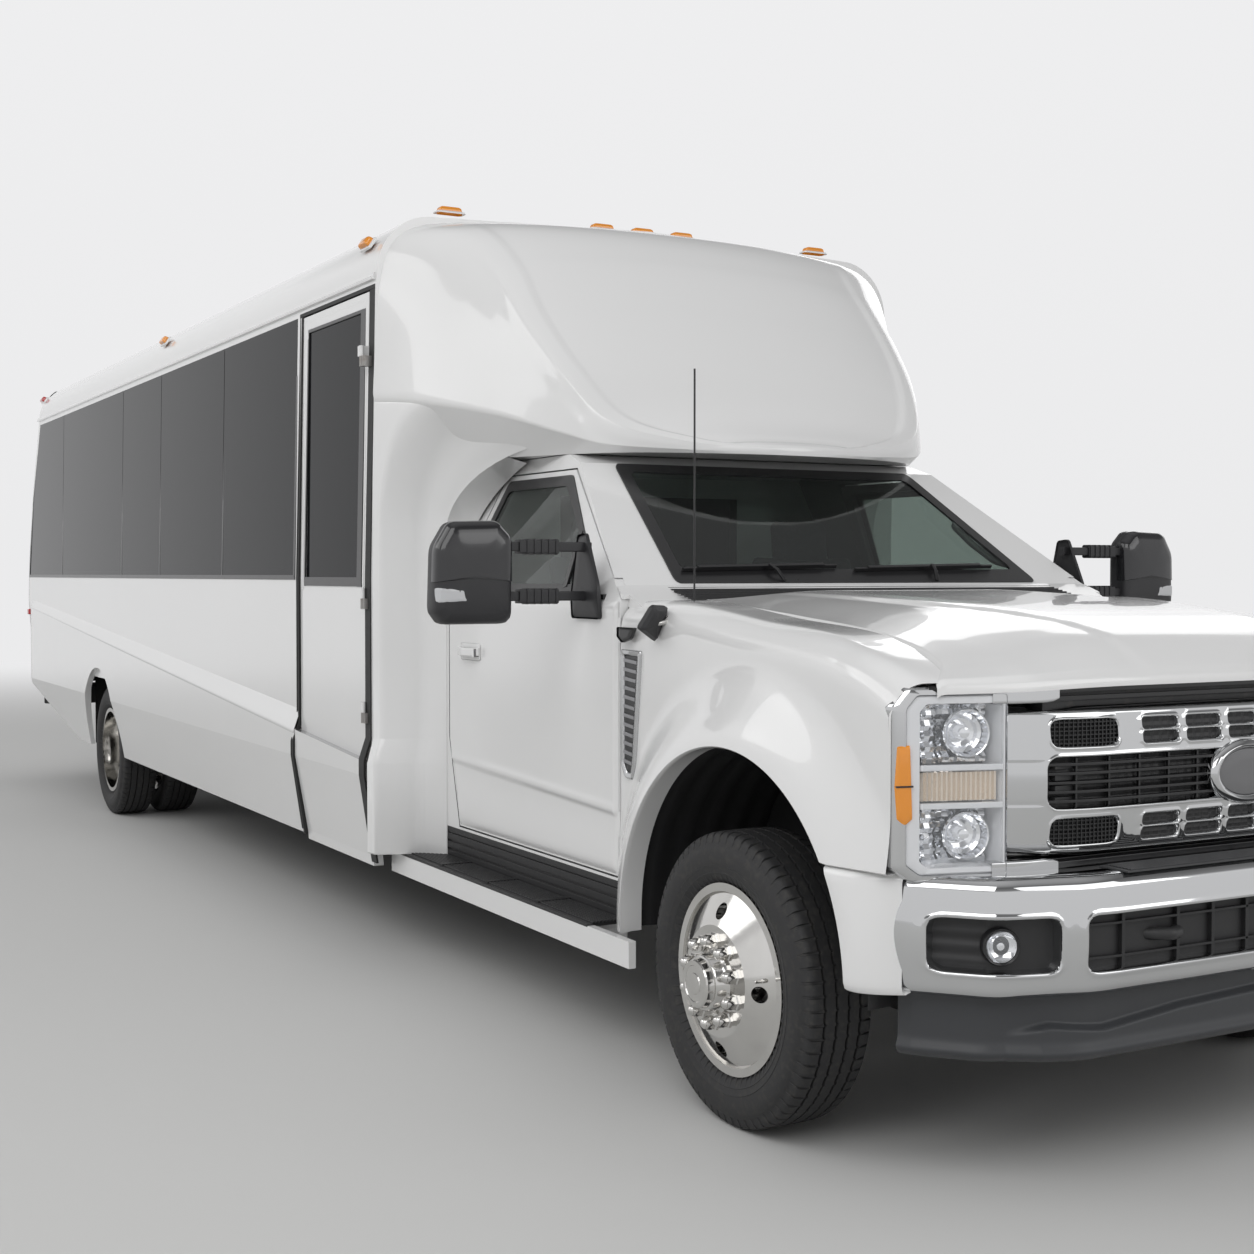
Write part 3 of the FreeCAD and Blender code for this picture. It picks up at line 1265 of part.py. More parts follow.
    outer_face = ("(bumper_mid_ahead + (bumper_corner_ahead - bumper_mid_ahead) * (fog_outer_half - bumper_mid_half) / "
                  "(bumper_half - bumper_mid_half))")
    fog_room = prism("fog_room", "z", low, high, [
        (ahead(f"{inner_face} + 60"), "fog_inner_half"), (ahead(f"{outer_face} + 60"), "fog_outer_half"),
        (ahead(f"{outer_face} - fog_outer_depth"), "fog_outer_half"),
        (ahead(f"{inner_face} - fog_inner_depth"), "fog_inner_half")])
    fog = rod("fog_lamp", "x", (ahead("bumper_mid_ahead - fog_set_back - fog_length"), "fog_half",
                                "(%s + %s) / 2" % (low, high)), "fog_radius", "fog_length")
    hollow = cut("bumper_open", beam, [centre, fog_room, mirrored("fog_room_right", fog_room)])
    node("front_bumper", fuse("front_bumper_form", [hollow, fog, mirrored("fog_lamp_right", fog)]))
    end = prism("bumper_end_form", "z", "bumper_bottom_height", "bumper_top_height", [
        (ahead("bumper_corner_ahead"), "bumper_half"), (ahead("bumper_end_rear_ahead"), "bumper_end_half"),
        (ahead("bumper_end_rear_ahead"), "bumper_end_half - bumper_end_sheet"),
        (ahead("bumper_corner_ahead - 60"), "bumper_half - 60"),
        (ahead("bumper_corner_ahead - 40"), "bumper_half - 45"),
    ])
    both_sides("bumper_ends", end)
    half = [(ahead("bumper_ahead - dam_set_back"), "bumper_flat_half"),
            (ahead("bumper_mid_ahead - dam_set_back"), "bumper_mid_half - 10"),
            (ahead("bumper_corner_ahead - dam_set_back"), "bumper_half - 20"),
            (ahead("bumper_corner_ahead - dam_set_back - dam_sheet"), "bumper_half - 50"),
            (ahead("bumper_mid_ahead - dam_set_back - dam_sheet"), "bumper_mid_half - 40"),
            (ahead("bumper_ahead - dam_set_back - dam_sheet"), "bumper_flat_half")]
    dam = prism("air_dam_form", "z", "dam_bottom_height", "bumper_bottom_height",
                half + [(x, f"-({y})") for x, y in reversed(half)])
    node("air_dam", dam)


def cab_steps():
    rear = f"{CAB_REAR} - 60"
    front = along("wing_rear_behind + 20")
    skirt = block("board_skirt", rear, front, "board_inner_half", "board_half", "board_bottom_height",
                  "board_height")
    riser = block("board_riser", rear, front, "board_inner_half - board_riser_thickness", "board_inner_half",
                  "board_bottom_height", "cab_bottom_height")
    lip = block("board_lip", front, along("board_lip_behind"), "board_half - board_lip", "board_half",
                "board_bottom_height", "board_height")
    both_sides("cab_steps", fuse("board_form", [skirt, riser, lip]))


def cab_inside():
    dash = prism("dash_form", "y", "-(cab_half_width - cab_wall - 4)", "cab_half_width - cab_wall - 4", [
        (along("cab_nose_behind + cab_wall"), "dash_bottom_height"),
        (along("cab_nose_behind + cab_wall"), "cowl_height - cab_wall - 15"),
        (along("screen_base_behind + 60"), "dash_top_height + 20"),
        (along("cab_nose_behind + cab_wall + dash_depth"), "dash_top_height - 60"),
        (along("cab_nose_behind + cab_wall + dash_depth"), "dash_bottom_height + 60"),
    ])
    seats = [wing_seat("dash_trim_left", 1), wing_seat("dash_trim_right", -1)]
    wheel_behind = "cab_nose_behind + cab_wall + dash_depth + wheel_stand_off"
    hub_height = "dash_top_height - wheel_drop"
    column = rod("steering_column", "x", (along(wheel_behind), "driver_half", hub_height), "column_radius",
                 "wheel_stand_off + 40")
    wheel = doc.addObject("Part::Torus", "steering_wheel")
    wheel.setExpression("Radius1", bound("wheel_rim_radius"))
    wheel.setExpression("Radius2", bound("wheel_rim_section"))
    wheel.Placement.Rotation = TURNS["x"]
    place(wheel, (along(f"{wheel_behind} - column_radius / 2"), "driver_half", hub_height))
    spoke = block("wheel_spoke", along(wheel_behind), along(f"{wheel_behind} - column_radius"),
                  "driver_half - wheel_rim_radius", "driver_half + wheel_rim_radius",
                  f"{hub_height} - column_radius", f"{hub_height} + column_radius")
    node("dashboard", cut("dashboard_form", fuse("dash_whole", [dash, column, wheel, spoke]), seats))
    front = along("cab_seat_behind")
    left = seat("driver_seat", front, "cab_floor_top_height", "driver_half", "seat_width", "cab")
    node("cab_seats", group("cab_seats_group", [left, mirrored("passenger_seat", left)]))


def seat(name, front, floor, middle, width, kind):
    """A plinth, a cushion and a raked back in one side outline."""
    return prism(name, "y", f"{middle} - {width} / 2", f"{middle} + {width} / 2", [
        (f"{front} - 60", floor),
        (f"{front} - 60", f"{floor} + {kind}_cushion_height - seat_cushion_thickness"),
        (front, f"{floor} + {kind}_cushion_height - seat_cushion_thickness"),
        (front, f"{floor} + {kind}_cushion_height"), (f"{front} - seat_depth + 40",
                                                      f"{floor} + {kind}_cushion_height - 20"),
        (f"{front} - seat_depth - 50", f"{floor} + {kind}_back_height"),
        (f"{front} - seat_depth - 50 - seat_back_thickness * 0.7", f"{floor} + {kind}_back_height"),
        (f"{front} - seat_depth - 40", f"{floor} + {kind}_cushion_height - seat_cushion_thickness"),
        (f"{front} - seat_depth + 60", f"{floor} + {kind}_cushion_height - seat_cushion_thickness"),
        (f"{front} - seat_depth + 60", floor),
    ])


# Coach body: one outer form and one inner form; the panels are cut from the shell between them.
def raked_block(name, floor, front, rear_inset, round_size):
    """The coach's room in side view as sections in plan, whose rear corners are cut in three facets."""
    body = doc.addObject("PartDesign::Body", name)
    wide = "(body_half_width + 50)"
    half = f"(body_half_width - {rear_inset})"
    drawings = []
    for rear, height in ((along(f"rear_foot_behind - ({rear_inset})"), floor),
                         (f"rear_end_x + ({rear_inset})", "rear_bulge_height"),
                         (along(f"rear_knee_behind - ({rear_inset})"), "rear_knee_height"),
                         (along(f"rear_top_behind - ({rear_inset})"), "roof_height + 50")):
        left = [(rear, f"{half} - {round_size}"), (f"{rear} + {round_size} * 0.3",
                                                   f"{half} - {round_size} * 0.3"),
                (f"{rear} + {round_size}", half), (f"{rear} + {round_size}", wide), (front, wide)]
        drawings.append(sketch_outline(body, "z", height, left + [(x, f"-({y})") for x, y in reversed(left)]))
    return ruled(name, drawings, body)


def body_profile(name, floor, front, rear_inset):
    """Side outline of the coach, drawn in at the raked rear by an inset."""
    return prism(name, "y", "-body_half_width - 50", "body_half_width + 50", [
        (along(f"rear_foot_behind - ({rear_inset})"), floor), (front, floor), (front, "roof_height + 50"),
        (along(f"rear_top_behind - ({rear_inset})"), "roof_height + 50"),
        (along(f"rear_knee_behind - ({rear_inset})"), "rear_knee_height"),
        (f"rear_end_x + ({rear_inset})", "rear_bulge_height"),
    ])


def body_form(name, inset, floor):
    wide = "(body_half_width - wall_thickness * %s)" % inset
    lean = "(body_half_width - wall_lean - wall_thickness * %s)" % inset
    edge = "(roof_edge_height - wall_thickness * %s)" % inset
    crown = "(roof_height - wall_thickness * %s)" % inset
    section = prism(name + "_section", "x", "rear_end_x - 50", "body_front_x + 50", [
        (f"-{wide}", floor), (wide, floor), (wide, "belt_height"), (lean, edge), ("0", crown),
        (f"-{lean}", edge),
        (f"-{wide}", "belt_height"),
    ])
    corners = [("yz", (lean, edge)), ("yz", (f"-{lean}", edge))]
    round_off(section, f"roof_corner_radius - wall_thickness * {inset}", corners)
    profile = raked_block(name + "_profile", floor, f"body_front_x - front_wall_thickness * {inset}",
                          f"wall_thickness * {inset}", f"(rear_round - wall_thickness * {inset} / 2)")
    return common(name, section, profile)


def slab_of(name, part, z_from, z_to, x_from, x_to, y_from, y_to):
    return common(name, part, block(name + "_zone", x_from, x_to, y_from, y_to, z_from, z_to))


# Where each pane of the glass band starts, as a share of the way from its front edge to the rear end.
PANE_STARTS = [0, 0.173, 0.364, 0.506, 0.784]


def wall_strip(name, x_from, x_to, low, high, near, far):
    """A strip that follows the leaning wall, between two depths measured in from its face."""
    def face(height, depth):
        return (f"body_half_width - wall_lean * ({height} - belt_height) / (roof_edge_height - belt_height)"
                f" - ({depth})")
    return prism(name, "x", x_from, x_to, [(face(low, near), low), (face(high, near), high),
                                           (face(high, far), high), (face(low, far), low)])


def coach_body():
    outer = body_form("coach_outer", 0, "rear_foot_height")
    inner = body_form("coach_inner", 1, "rear_foot_height - 20")
    shell = cut("coach_shell", outer, [inner])
    far = "body_half_width + 60"
    front, rear = "body_front_x + 20", "rear_end_x - 20"
    wall_top = "cantrail_height"
    bottom = "floor_bottom_height"
    forward = body_profile("ahead_of_rear_wall", "rear_foot_height - 40", front,
                           "wall_thickness + rear_corner")
    node("roof", slab_of("roof_form", shell, wall_top, "roof_height + 60", rear, front, f"-({far})", far))
    lower = slab_of("lower_shell", shell, "rear_foot_height - 40", wall_top, rear, front, f"-({far})", far)
    glass_room = prism("rear_glass_room", "x", rear, along("rear_top_behind"), [
        ("-rear_glass_half", "rear_glass_bottom_height"), ("rear_glass_half", "rear_glass_bottom_height"),
        ("rear_glass_half", "rear_glass_top_height"), ("-rear_glass_half", "rear_glass_top_height")])
    node("rear_wall", cut("rear_wall_form", lower, [forward, glass_room]))
    slope = "(rear_end_x + (front_axle_x - rear_knee_behind - rear_end_x) * ({0} - rear_bulge_height) / " \
            "(rear_knee_height - rear_bulge_height))"
    low, high = "rear_glass_bottom_height", "rear_glass_top_height"
    node("rear_glass", prism("rear_glass_form", "y", "-rear_glass_half", "rear_glass_half", [
        (slope.format(low) + " + 4", low), (slope.format(high) + " + 4", high),
        (slope.format(high) + " + 10", high), (slope.format(low) + " + 10", low)]))
    front_split = "body_front_x - front_wall_thickness"
    front_wall = slab_of("front_panel", shell, bottom, wall_top, front_split, front, f"-({far})", far)
    gangway = block("gangway", f"{front_split} - 20", front, "-gangway_half", "gangway_half",
                    "floor_top_height", "gangway_height")
    node("front_wall", cut("front_wall_form", front_wall, [gangway]))
    side = common("side_panel", forward, slab_of("side_band", shell, bottom, wall_top, rear, front_split,
                                                 "0", far))
    band_end = body_profile("band_end", "rear_foot_height - 40", front, "band_rear_inset")
    rebate = common("band_rebate", band_end, wall_strip("band_strip", rear, along("band_front_behind"),
                    "band_bottom_height", "band_top_height", "-20", "band_depth"))
    windows = []
    panes = []
    frame_end = body_profile("frame_end", "rear_foot_height - 40", front, "band_rear_inset + window_frame")
    pane_end = body_profile("pane_end", "rear_foot_height - 40", front, "band_rear_inset + glass_gap / 2")
    last = len(PANE_STARTS) - 1
    seams = [along(f"band_front_behind + {share} * (rear_bulge_behind - band_front_behind)") for share in PANE_STARTS]
    for i, x_to in enumerate(seams):
        x_from = rear if i == last else seams[i + 1]
        window = wall_strip("window_%d" % i, f"{x_from} + window_frame", f"{x_to} - window_frame",
                            "band_bottom_height + window_frame", "band_top_height - window_frame",
                            "-30", "wall_thickness + 30")
        pane = wall_strip("pane_%d" % i, f"{x_from} + glass_gap / 2", f"{x_to} - glass_gap / 2",
                          "band_bottom_height", "band_top_height", "0", "band_depth")
        windows.append(common("window_raked", frame_end, window) if i == last else window)
        panes.append(common("pane_raked", pane_end, pane) if i == last else pane)
    left_wall = cut("side_wall_left_form", side, [rebate] + windows)
    node("side_wall_left", left_wall)
    entry_room = block("entry_room", along("entry_rear_behind + door_gap"), front, f"-({far})", "-900",
                       "floor_bottom_height - 60", "entry_top_height + door_gap")
    node("side_wall_right", cut("side_wall_right_form", mirrored("right_panel", left_wall), [entry_room]))
    both_sides("side_glass", group("side_panes", panes))
    return inner


def floor(room):
    """A slab that fills the body's room from wall to wall, cut out over the entry steps."""
    slab = slab_of("floor_slab", room, "floor_bottom_height", "floor_top_height", "rear_end_x",
                   "body_front_x",
                   "-body_half_width", "body_half_width")
    well = block("step_well", along("entry_rear_behind"), along("entry_front_behind"),
                 "-body_half_width - 60",
                 "-(body_half_width - entry_thickness - 2 * step_depth)", "floor_bottom_height - 10",
                 "floor_top_height + 10")
    node("floor", cut("floor_form", slab, [well]))
    outer = "(skirt_bottom_half - entry_thickness - 20)"
    mid, inside = f"({outer} - step_depth)", "(body_half_width - entry_thickness - 2 * step_depth)"
    low = "floor_top_height - 2 * step_rise - 100"
    middle = "floor_top_height - step_rise"
    node("entry_steps", prism("entry_steps_form", "x", along("entry_rear_behind"),
                              along("entry_front_behind"), [
        (f"-{outer}", f"{low} - step_sheet"), (f"-{outer}", low), (f"-{mid}", low), (f"-{mid}", middle),
        (f"-{inside}", middle), (f"-{inside}", "floor_bottom_height"),
        (f"-({inside} - step_sheet)", "floor_bottom_height"), (f"-({inside} - step_sheet)",
                                                               f"{middle} - step_sheet"),
        (f"-({mid} - step_sheet)", f"{middle} - step_sheet"), (f"-({mid} - step_sheet)",
                                                               f"{low} - step_sheet"),
    ]))


def entry_door():
    def face(height, depth):
        return (f"-(body_half_width - wall_lean * ({height} - belt_height) / (roof_edge_height - belt_height)"
                f" - ({depth}))")
    rear, front = along("entry_rear_behind"), along("entry_front_behind")
    top, low = "entry_top_height", "entry_bottom_height"
    leaf = prism("entry_leaf", "x", rear, front, [
        ("-skirt_bottom_half", low), ("-body_half_width", "skirt_belly_height"),
        ("-body_half_width", "belt_height"),
        (face(top, "0"), top), (face(top, "entry_thickness"), top),
        ("-(body_half_width - entry_thickness)", "belt_height"),
        ("-(body_half_width - entry_thickness)", "skirt_belly_height"),
        ("-(skirt_bottom_half - entry_thickness)", low),
    ])
    proud = mirrored("entry_proud", lower_panel("entry_proud_left", "entry_front_behind",
                                                "entry_rear_behind", low))
    window = block("entry_window", f"{rear} + entry_glass_border", f"{front} - entry_glass_border",
                   "-body_half_width - 60", "-(body_half_width - 200)", "entry_glass_bottom_height",
                   "entry_glass_top_height")
    axis_x, axis_y = f"{front} + hinge_ahead_of_leaf", "-(body_half_width + hinge_stand_off)"
    moving = []
    fixed = []
    bores = []
    for key in ("low", "middle", "high"):
        at = f"hinge_{key}_height"
        skin = face(f"({at} - hinge_knuckle)", "0") if key == "high" else "-body_half_width"
        leaf_skin = face(f"({at} + hinge_knuckle)", "0") if key == "high" else "-body_half_width"
        knuckle_y = f"{axis_y} - hinge_pin_radius", f"{leaf_skin} + 1"
        moving += [rod(f"leaf_knuckle_{key}", "z", (axis_x, axis_y, f"{at} + running_gap"), "hinge_radius",
                       "hinge_knuckle"),
                   block(f"leaf_strap_{key}", f"{axis_x} - hinge_reach", axis_x, *knuckle_y,
                         f"{at} + running_gap", f"{at} + hinge_knuckle")]
        bores.append(rod(f"leaf_bore_{key}", "z", (axis_x, axis_y, at), "hinge_pin_radius + running_gap",
                         "hinge_knuckle + 10"))
        fixed.append(fuse(f"hinge_{key}", [
            rod(f"post_knuckle_{key}", "z", (axis_x, axis_y, f"{at} - hinge_knuckle"), "hinge_radius",
                "hinge_knuckle"),
            rod(f"post_pin_{key}", "z", (axis_x, axis_y, f"{at} - hinge_knuckle"), "hinge_pin_radius",
                "2 * hinge_knuckle"),
            block(f"post_strap_{key}", axis_x, f"{axis_x} + hinge_reach", f"{axis_y} - hinge_pin_radius",
                  skin, f"{at} - hinge_knuckle", at)]))
    node("entry_door", cut("entry_door_form", fuse("entry_leaf_whole", [leaf, proud] + moving),
                           [window] + bores))
    node("entry_pivot", group("entry_pivot_form", fixed))
    glass_low, glass_high = "entry_glass_bottom_height", "entry_glass_top_height"
    node("entry_glass", prism("entry_glass_form", "x", f"{rear} + entry_glass_border",
                              f"{front} - entry_glass_border", [
        (face(glass_low, "6"), glass_low), (face(glass_high, "6"), glass_high),
        (face(glass_high, "6 + entry_glass"), glass_high), (face(glass_low, "6 + entry_glass"), glass_low)]))


def ledge_height(behind, drop):
    """Height of the belt ledge, which falls towards the front in a straight line."""
    share = f"(({behind}) - entry_front_behind) / (rear_bulge_behind - entry_front_behind)"
    if drop:
        return (f"ledge_front_height - ledge_front_drop + (ledge_rear_height - ledge_rear_drop - "
                f"ledge_front_height + ledge_front_drop) * {share}")
    return f"ledge_front_height + (ledge_rear_height - ledge_front_height) * {share}"


def lower_panel(name, front, rear, bottom):
    """Left lower panel that stands proud of the wall under the sloping ledge and tucks in below."""
    crossed = prism(name + "_section", "x", "rear_end_x - 10", "front_axle_x", [
        ("body_half_width", "belt_height"), ("skirt_half_width", "belt_height"),
        ("skirt_half_width", "skirt_belly_height"),
        ("skirt_bottom_half", "skirt_bottom_height"), ("skirt_bottom_half - skirt_thickness",
                                                       "skirt_bottom_height"),
        ("body_half_width - 6", "skirt_belly_height + 40"), ("body_half_width - 6", "floor_bottom_height"),
        ("body_half_width", "floor_bottom_height"),
    ])
    profile = prism(name + "_profile", "y", "skirt_bottom_half - 100", "skirt_half_width + 50", [
        (along(rear), ledge_height(rear, True)), (along(front), ledge_height(front, True)),
        (along(front), bottom), (along(rear), bottom),
    ])
    return common(name, crossed, profile)


def skirts():
    """The side's lower panels, cut round the rear wheels and raised towards the rear end."""
    rear = "rear_foot_behind - wall_thickness - rear_corner"
    def skirt(name, front):
        solid = lower_panel(name + "_panel", front, rear, "skirt_bottom_height - 20")
        arch = rod(name + "_arch", "y", ("rear_axle_x", "skirt_bottom_half - 100", "tyre_radius + 40"),
                   "rear_arch_radius", "300")
        leg = block(name + "_arch_leg", "rear_axle_x - rear_arch_radius", "rear_axle_x + rear_arch_radius",
                    "skirt_bottom_half - 100", "skirt_half_width + 50", "0", "tyre_radius + 40")
        rise = prism(name + "_rise", "y", "skirt_bottom_half - 100", "skirt_half_width + 50", [
            (along("skirt_rise_behind"), "0"), (along("skirt_rise_behind"), "skirt_bottom_height - 20"),
            (along(rear), "rear_foot_height"), (along(f"{rear} + 50"), "rear_foot_height"),
            (along(f"{rear} + 50"), "0")])
        return cut(name, solid, [arch, leg, rise])
    left = skirt("skirt_left", "body_front_behind")
    right = mirrored("skirt_right", skirt("skirt_short", "entry_rear_behind + door_gap * 2"))
    node("skirts", group("skirts_form", [left, right]))


# Nose sections, left half. Columns: how far behind the front axle; the underside's inner edge; half
# width and share of height of the lower edge, of the side's upper edge and of the front face's edge;
# and the share at the crown. A share of 0 is the cab roof's height and 1 the coach roof's.
NOSE = [
    (2250, 1030, 1222, 0.242, 1198, 0.727, 960, 0.950, 1.000),
    (2100, 1000, 1165, 0.232, 1105, 0.667, 895, 0.915, 0.985),
    (1900, 930, 1075, 0.202, 990, 0.515, 845, 0.748, 0.842),
    (1700, 840, 945, 0.152, 905, 0.343, 838, 0.535, 0.626),
    (1500, 740, 812, 0.081, 802, 0.182, 780, 0.303, 0.384),
    (1380, 660, 702, 0.035, 702, 0.081, 690, 0.141, 0.212),
    (1260, 420, 442, 0.015, 442, 0.030, 436, 0.051, 0.091),
    (1192, 110, 116, 0.010, 116, 0.018, 112, 0.026, 0.033),
]


def nose(name, sections, sheet):
    """A ruled loft through some of the nose's sections, each drawn in by a sheet's thickness."""
    body = doc.addObject("PartDesign::Body", name)
    drawings = []
    for behind, inner, low_half, low, side_half, side, top_half, top, crown in sections:
        height = [f"cab_roof_height + {share} * (roof_height - cab_roof_height)" for share in (low, side,
                                                                                               top, crown)]
        half = [(inner, f"cab_roof_height + {sheet}"), (low_half, f"{height[0]} + {sheet} / 2"),
                (side_half, height[1]),
                (top_half, f"{height[2]} - {sheet}")]
        left = [(f"{across} - {sheet}", up) for across, up in half]
        right = [(f"-({across} - {sheet})", up) for across, up in reversed(half)]
        start = "body_front_x" if behind == NOSE[0][0] else along(str(behind))
        drawings.append(sketch_outline(body, "x", start, left + [("0", f"{height[3]} - {sheet}")] + right))
    return ruled(name, drawings, body)


def column(name, low, high, proud):
    """A front corner post in plan: round outside, then a hollow sweep in to the side of the cab."""
    inner = "cab_half_width + 4"
    post = prism(name, "z", low, high, [
        ("body_front_x", inner), ("body_front_x", f"body_half_width + {proud}"),
        (f"body_front_x + column_edge + {proud}", f"body_half_width - 8 + {proud}"),
        (f"body_front_x + column_sweep + {proud}", f"{inner} + 60"),
        (along("cap_column_front_behind - 50"), inner),
    ])
    round_off(post, "column_round", [("xy", (f"body_front_x + column_edge + {proud}",
                                             f"body_half_width - 8 + {proud}"))])
    return round_off(post, "column_hollow", [("xy", (f"body_front_x + column_sweep + {proud}",
                                                     f"{inner} + 60"))])


def front_cap():
    """Over-cab nose with its two corner posts; the posts stand proud below the belt ledge."""
    outer = nose("nose_outer", NOSE, "0")
    room = nose("nose_room", [NOSE[0], NOSE[2], NOSE[4]], "cap_sheet")
    parts = [cut("nose_shell", outer, [room])]
    for key, low, high, proud in (("upper", "ledge_front_height - ledge_front_drop", "cap_bottom_height",
                                   "0"),
                                  ("lower", "cap_column_bottom_height",
                                   "ledge_front_height - ledge_front_drop",
                                   "skirt_half_width - body_half_width")):
        post = column("post_" + key, low, high, proud)
        parts += [post, mirrored(f"post_{key}_right", post)]
    node("front_cap", fuse("front_cap_form", parts))


def mirrors():
    """A tall head on two arms; the arms spring from a sail plate at the front foot of the door glass."""
    y_in, y_out, low, high = "mirror_inner_half", "mirror_outer_half", "mirror_bottom_height", "mirror_top_height"
    middle = "mirror_behind + mirror_depth / 2"
    head = doc.addObject("PartDesign::Body", "mirror_head")
    drawings = []
    for behind, inset in (("mirror_behind + mirror_depth", "mirror_edge / 2"),
                          ("mirror_behind + mirror_depth - 12", "0"),
                          ("mirror_behind + mirror_edge", "0"), ("mirror_behind", "mirror_edge")):
        drawings.append(sketch_outline(head, "x", along(behind), [
            (f"{y_in} + {inset}", f"{low} + mirror_corner"), (f"{y_in} + mirror_corner", f"{low} + {inset}"),
            (f"{y_out} - mirror_corner", f"{low} + {inset}"), (f"{y_out} - {inset}",
                                                               f"{low} + mirror_corner"),
            (f"{y_out} - {inset}", f"{high} - mirror_slant"), (f"{y_out} - mirror_slant",
                                                               f"{high} - {inset}"),
            (f"{y_in} + mirror_corner", f"{high} - {inset}"), (f"{y_in} + {inset}",
                                                               f"{high} - mirror_corner")]))
    parts = [
        ruled("mirror_head", drawings, head),
        prism("mirror_sail", "y", "cab_half_width", "cab_half_width + mirror_bracket", [
            (along(f"{middle} + 70"), "cab_belt_height - 60"),
            (along(f"{middle} - 50"), "cab_belt_height - 60"),
            (along(f"{middle} - 60"), "cab_belt_height"), (along(f"{middle} + 10"),
                                                           "mirror_arm_high_height + 40"),
            (along(f"{middle} + 60"), "mirror_arm_high_height + 40")]),
    ]
    for key, height in (("low", "mirror_arm_low_height"), ("high", "mirror_arm_high_height")):
        parts.append(rod("mirror_arm_" + key, "y", (along(middle), "cab_half_width + mirror_bracket / 2",
                                                    height),
                         "mirror_arm_radius", f"{y_in} + 20 - cab_half_width - mirror_bracket / 2"))
        parts.append(rod("mirror_sleeve_" + key, "y", (along(middle), "cab_half_width + mirror_bracket / 2",
                                                       height),
                         "mirror_sleeve_radius", "mirror_sleeve_length"))
    pair("mirror", fuse("mirror_form", parts))


def rear_fittings():
    node("rear_bumper", block("rear_bumper_form", along("rear_bumper_behind"),
                              along("rail_rear_behind"), "-rear_bumper_half",
                              "rear_bumper_half", "rear_bumper_bottom_height",
                              "rear_bumper_bottom_height + rear_bumper_height"))
    slope = "(rear_end_x + (front_axle_x - rear_foot_behind - rear_end_x) * (rear_bulge_height - {0}) / " \
            "(rear_bulge_height - rear_foot_height))"
    low = "(floor_bottom_height + tail_lamp_rise)"
    high = "(floor_bottom_height + tail_lamp_rise + tail_lamp_height)"
    lamp = prism("tail_lamp_form", "y", "tail_lamp_half - tail_lamp_width", "tail_lamp_half", [
        (slope.format(low) + " - lamp_thickness", low), (slope.format(high) + " - lamp_thickness * 0.4",
                                                         high),
        (slope.format(high), high), (slope.format(low), low)])
    both_sides("tail_lamps", lamp)
    markers = []
    for i, y in enumerate(("-marker_outer_half", "-marker_inner_half", "0", "marker_inner_half",
                           "marker_outer_half")):
        near = f"max(0; abs({y}) - marker_length / 2)"
        foot = f"roof_height - (roof_height - roof_edge_height) * {near} / roof_half"
        markers.append(block("marker_%d" % i, "body_front_x - marker_set_back - marker_depth",
                             "body_front_x - marker_set_back",
                             f"{y} - marker_length / 2", f"{y} + marker_length / 2", foot,
                             f"{foot} + marker_height"))
    node("marker_lamps", group("marker_lamps_form", markers))
    flap = block("mud_flap_form", along("flap_behind + flap_thickness"), along("flap_behind"),
                 "rear_track_half - 210", "rear_track_half + 210", "floor_bottom_height - flap_height",
                 "floor_bottom_height")
    both_sides("mud_flaps", flap)


def benches():
    rows = []
    count = int(number("(rear_bulge_behind - bench_rear_room - bench_first_behind) / bench_pitch")) + 1
    for i in range(count):
        for side, key in ((1, "left"), (-1, "right")):
            rows.append(seat(f"bench_{key}_{i}", along(f"bench_first_behind + bench_pitch * {i}"),
                             "floor_top_height",
                             f"{side} * (body_half_width - wall_thickness - bench_wall_gap - bench_width / 2)",
                             "bench_width", "bench"))
    node("passenger_seats", group("passenger_seats_form", rows))


def antenna():
    foot = "hood_rear_height - (hood_rear_height - hood_bend_height) * (hood_rear_behind - antenna_behind - antenna_radius) / " \
           "(hood_rear_behind + hood_bend_ahead)"
    node("antenna", rod("antenna_form", "z", (along("antenna_behind"), "-antenna_half", foot),
                        "antenna_radius", "antenna_length"))


front_wheel()
rear_wheels()
front_axle()
knuckle()
rear_axle()
frame()
powertrain()
radiator()
underbody()
cab()
bonnet()
wings()
front_end()
cab_steps()
cab_inside()
floor(coach_body())
entry_door()
skirts()
front_cap()
mirrors()
rear_fittings()
benches()
antenna()
doc.recompute()

faults = [item.Label for item in doc.Objects if "Invalid" in item.State or "Error" in item.State]
if faults:
    raise SystemExit("failed objects: " + ", ".join(faults))
for item in NODES:
    shape = item.Shape
    if shape.isNull() or not shape.isValid() or shape.Volume <= 0:
        raise SystemExit("bad shape: " + item.Label)
for item in NODES:
    item.Shape.exportStep("parts/%s.step" % item.Label)
    print("%-18s %2d solids %9.1f litres  %s" % (item.Label, len(item.Shape.Solids), item.Shape.Volume / 1e6,
                                               item.Shape.BoundBox))
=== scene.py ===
import math

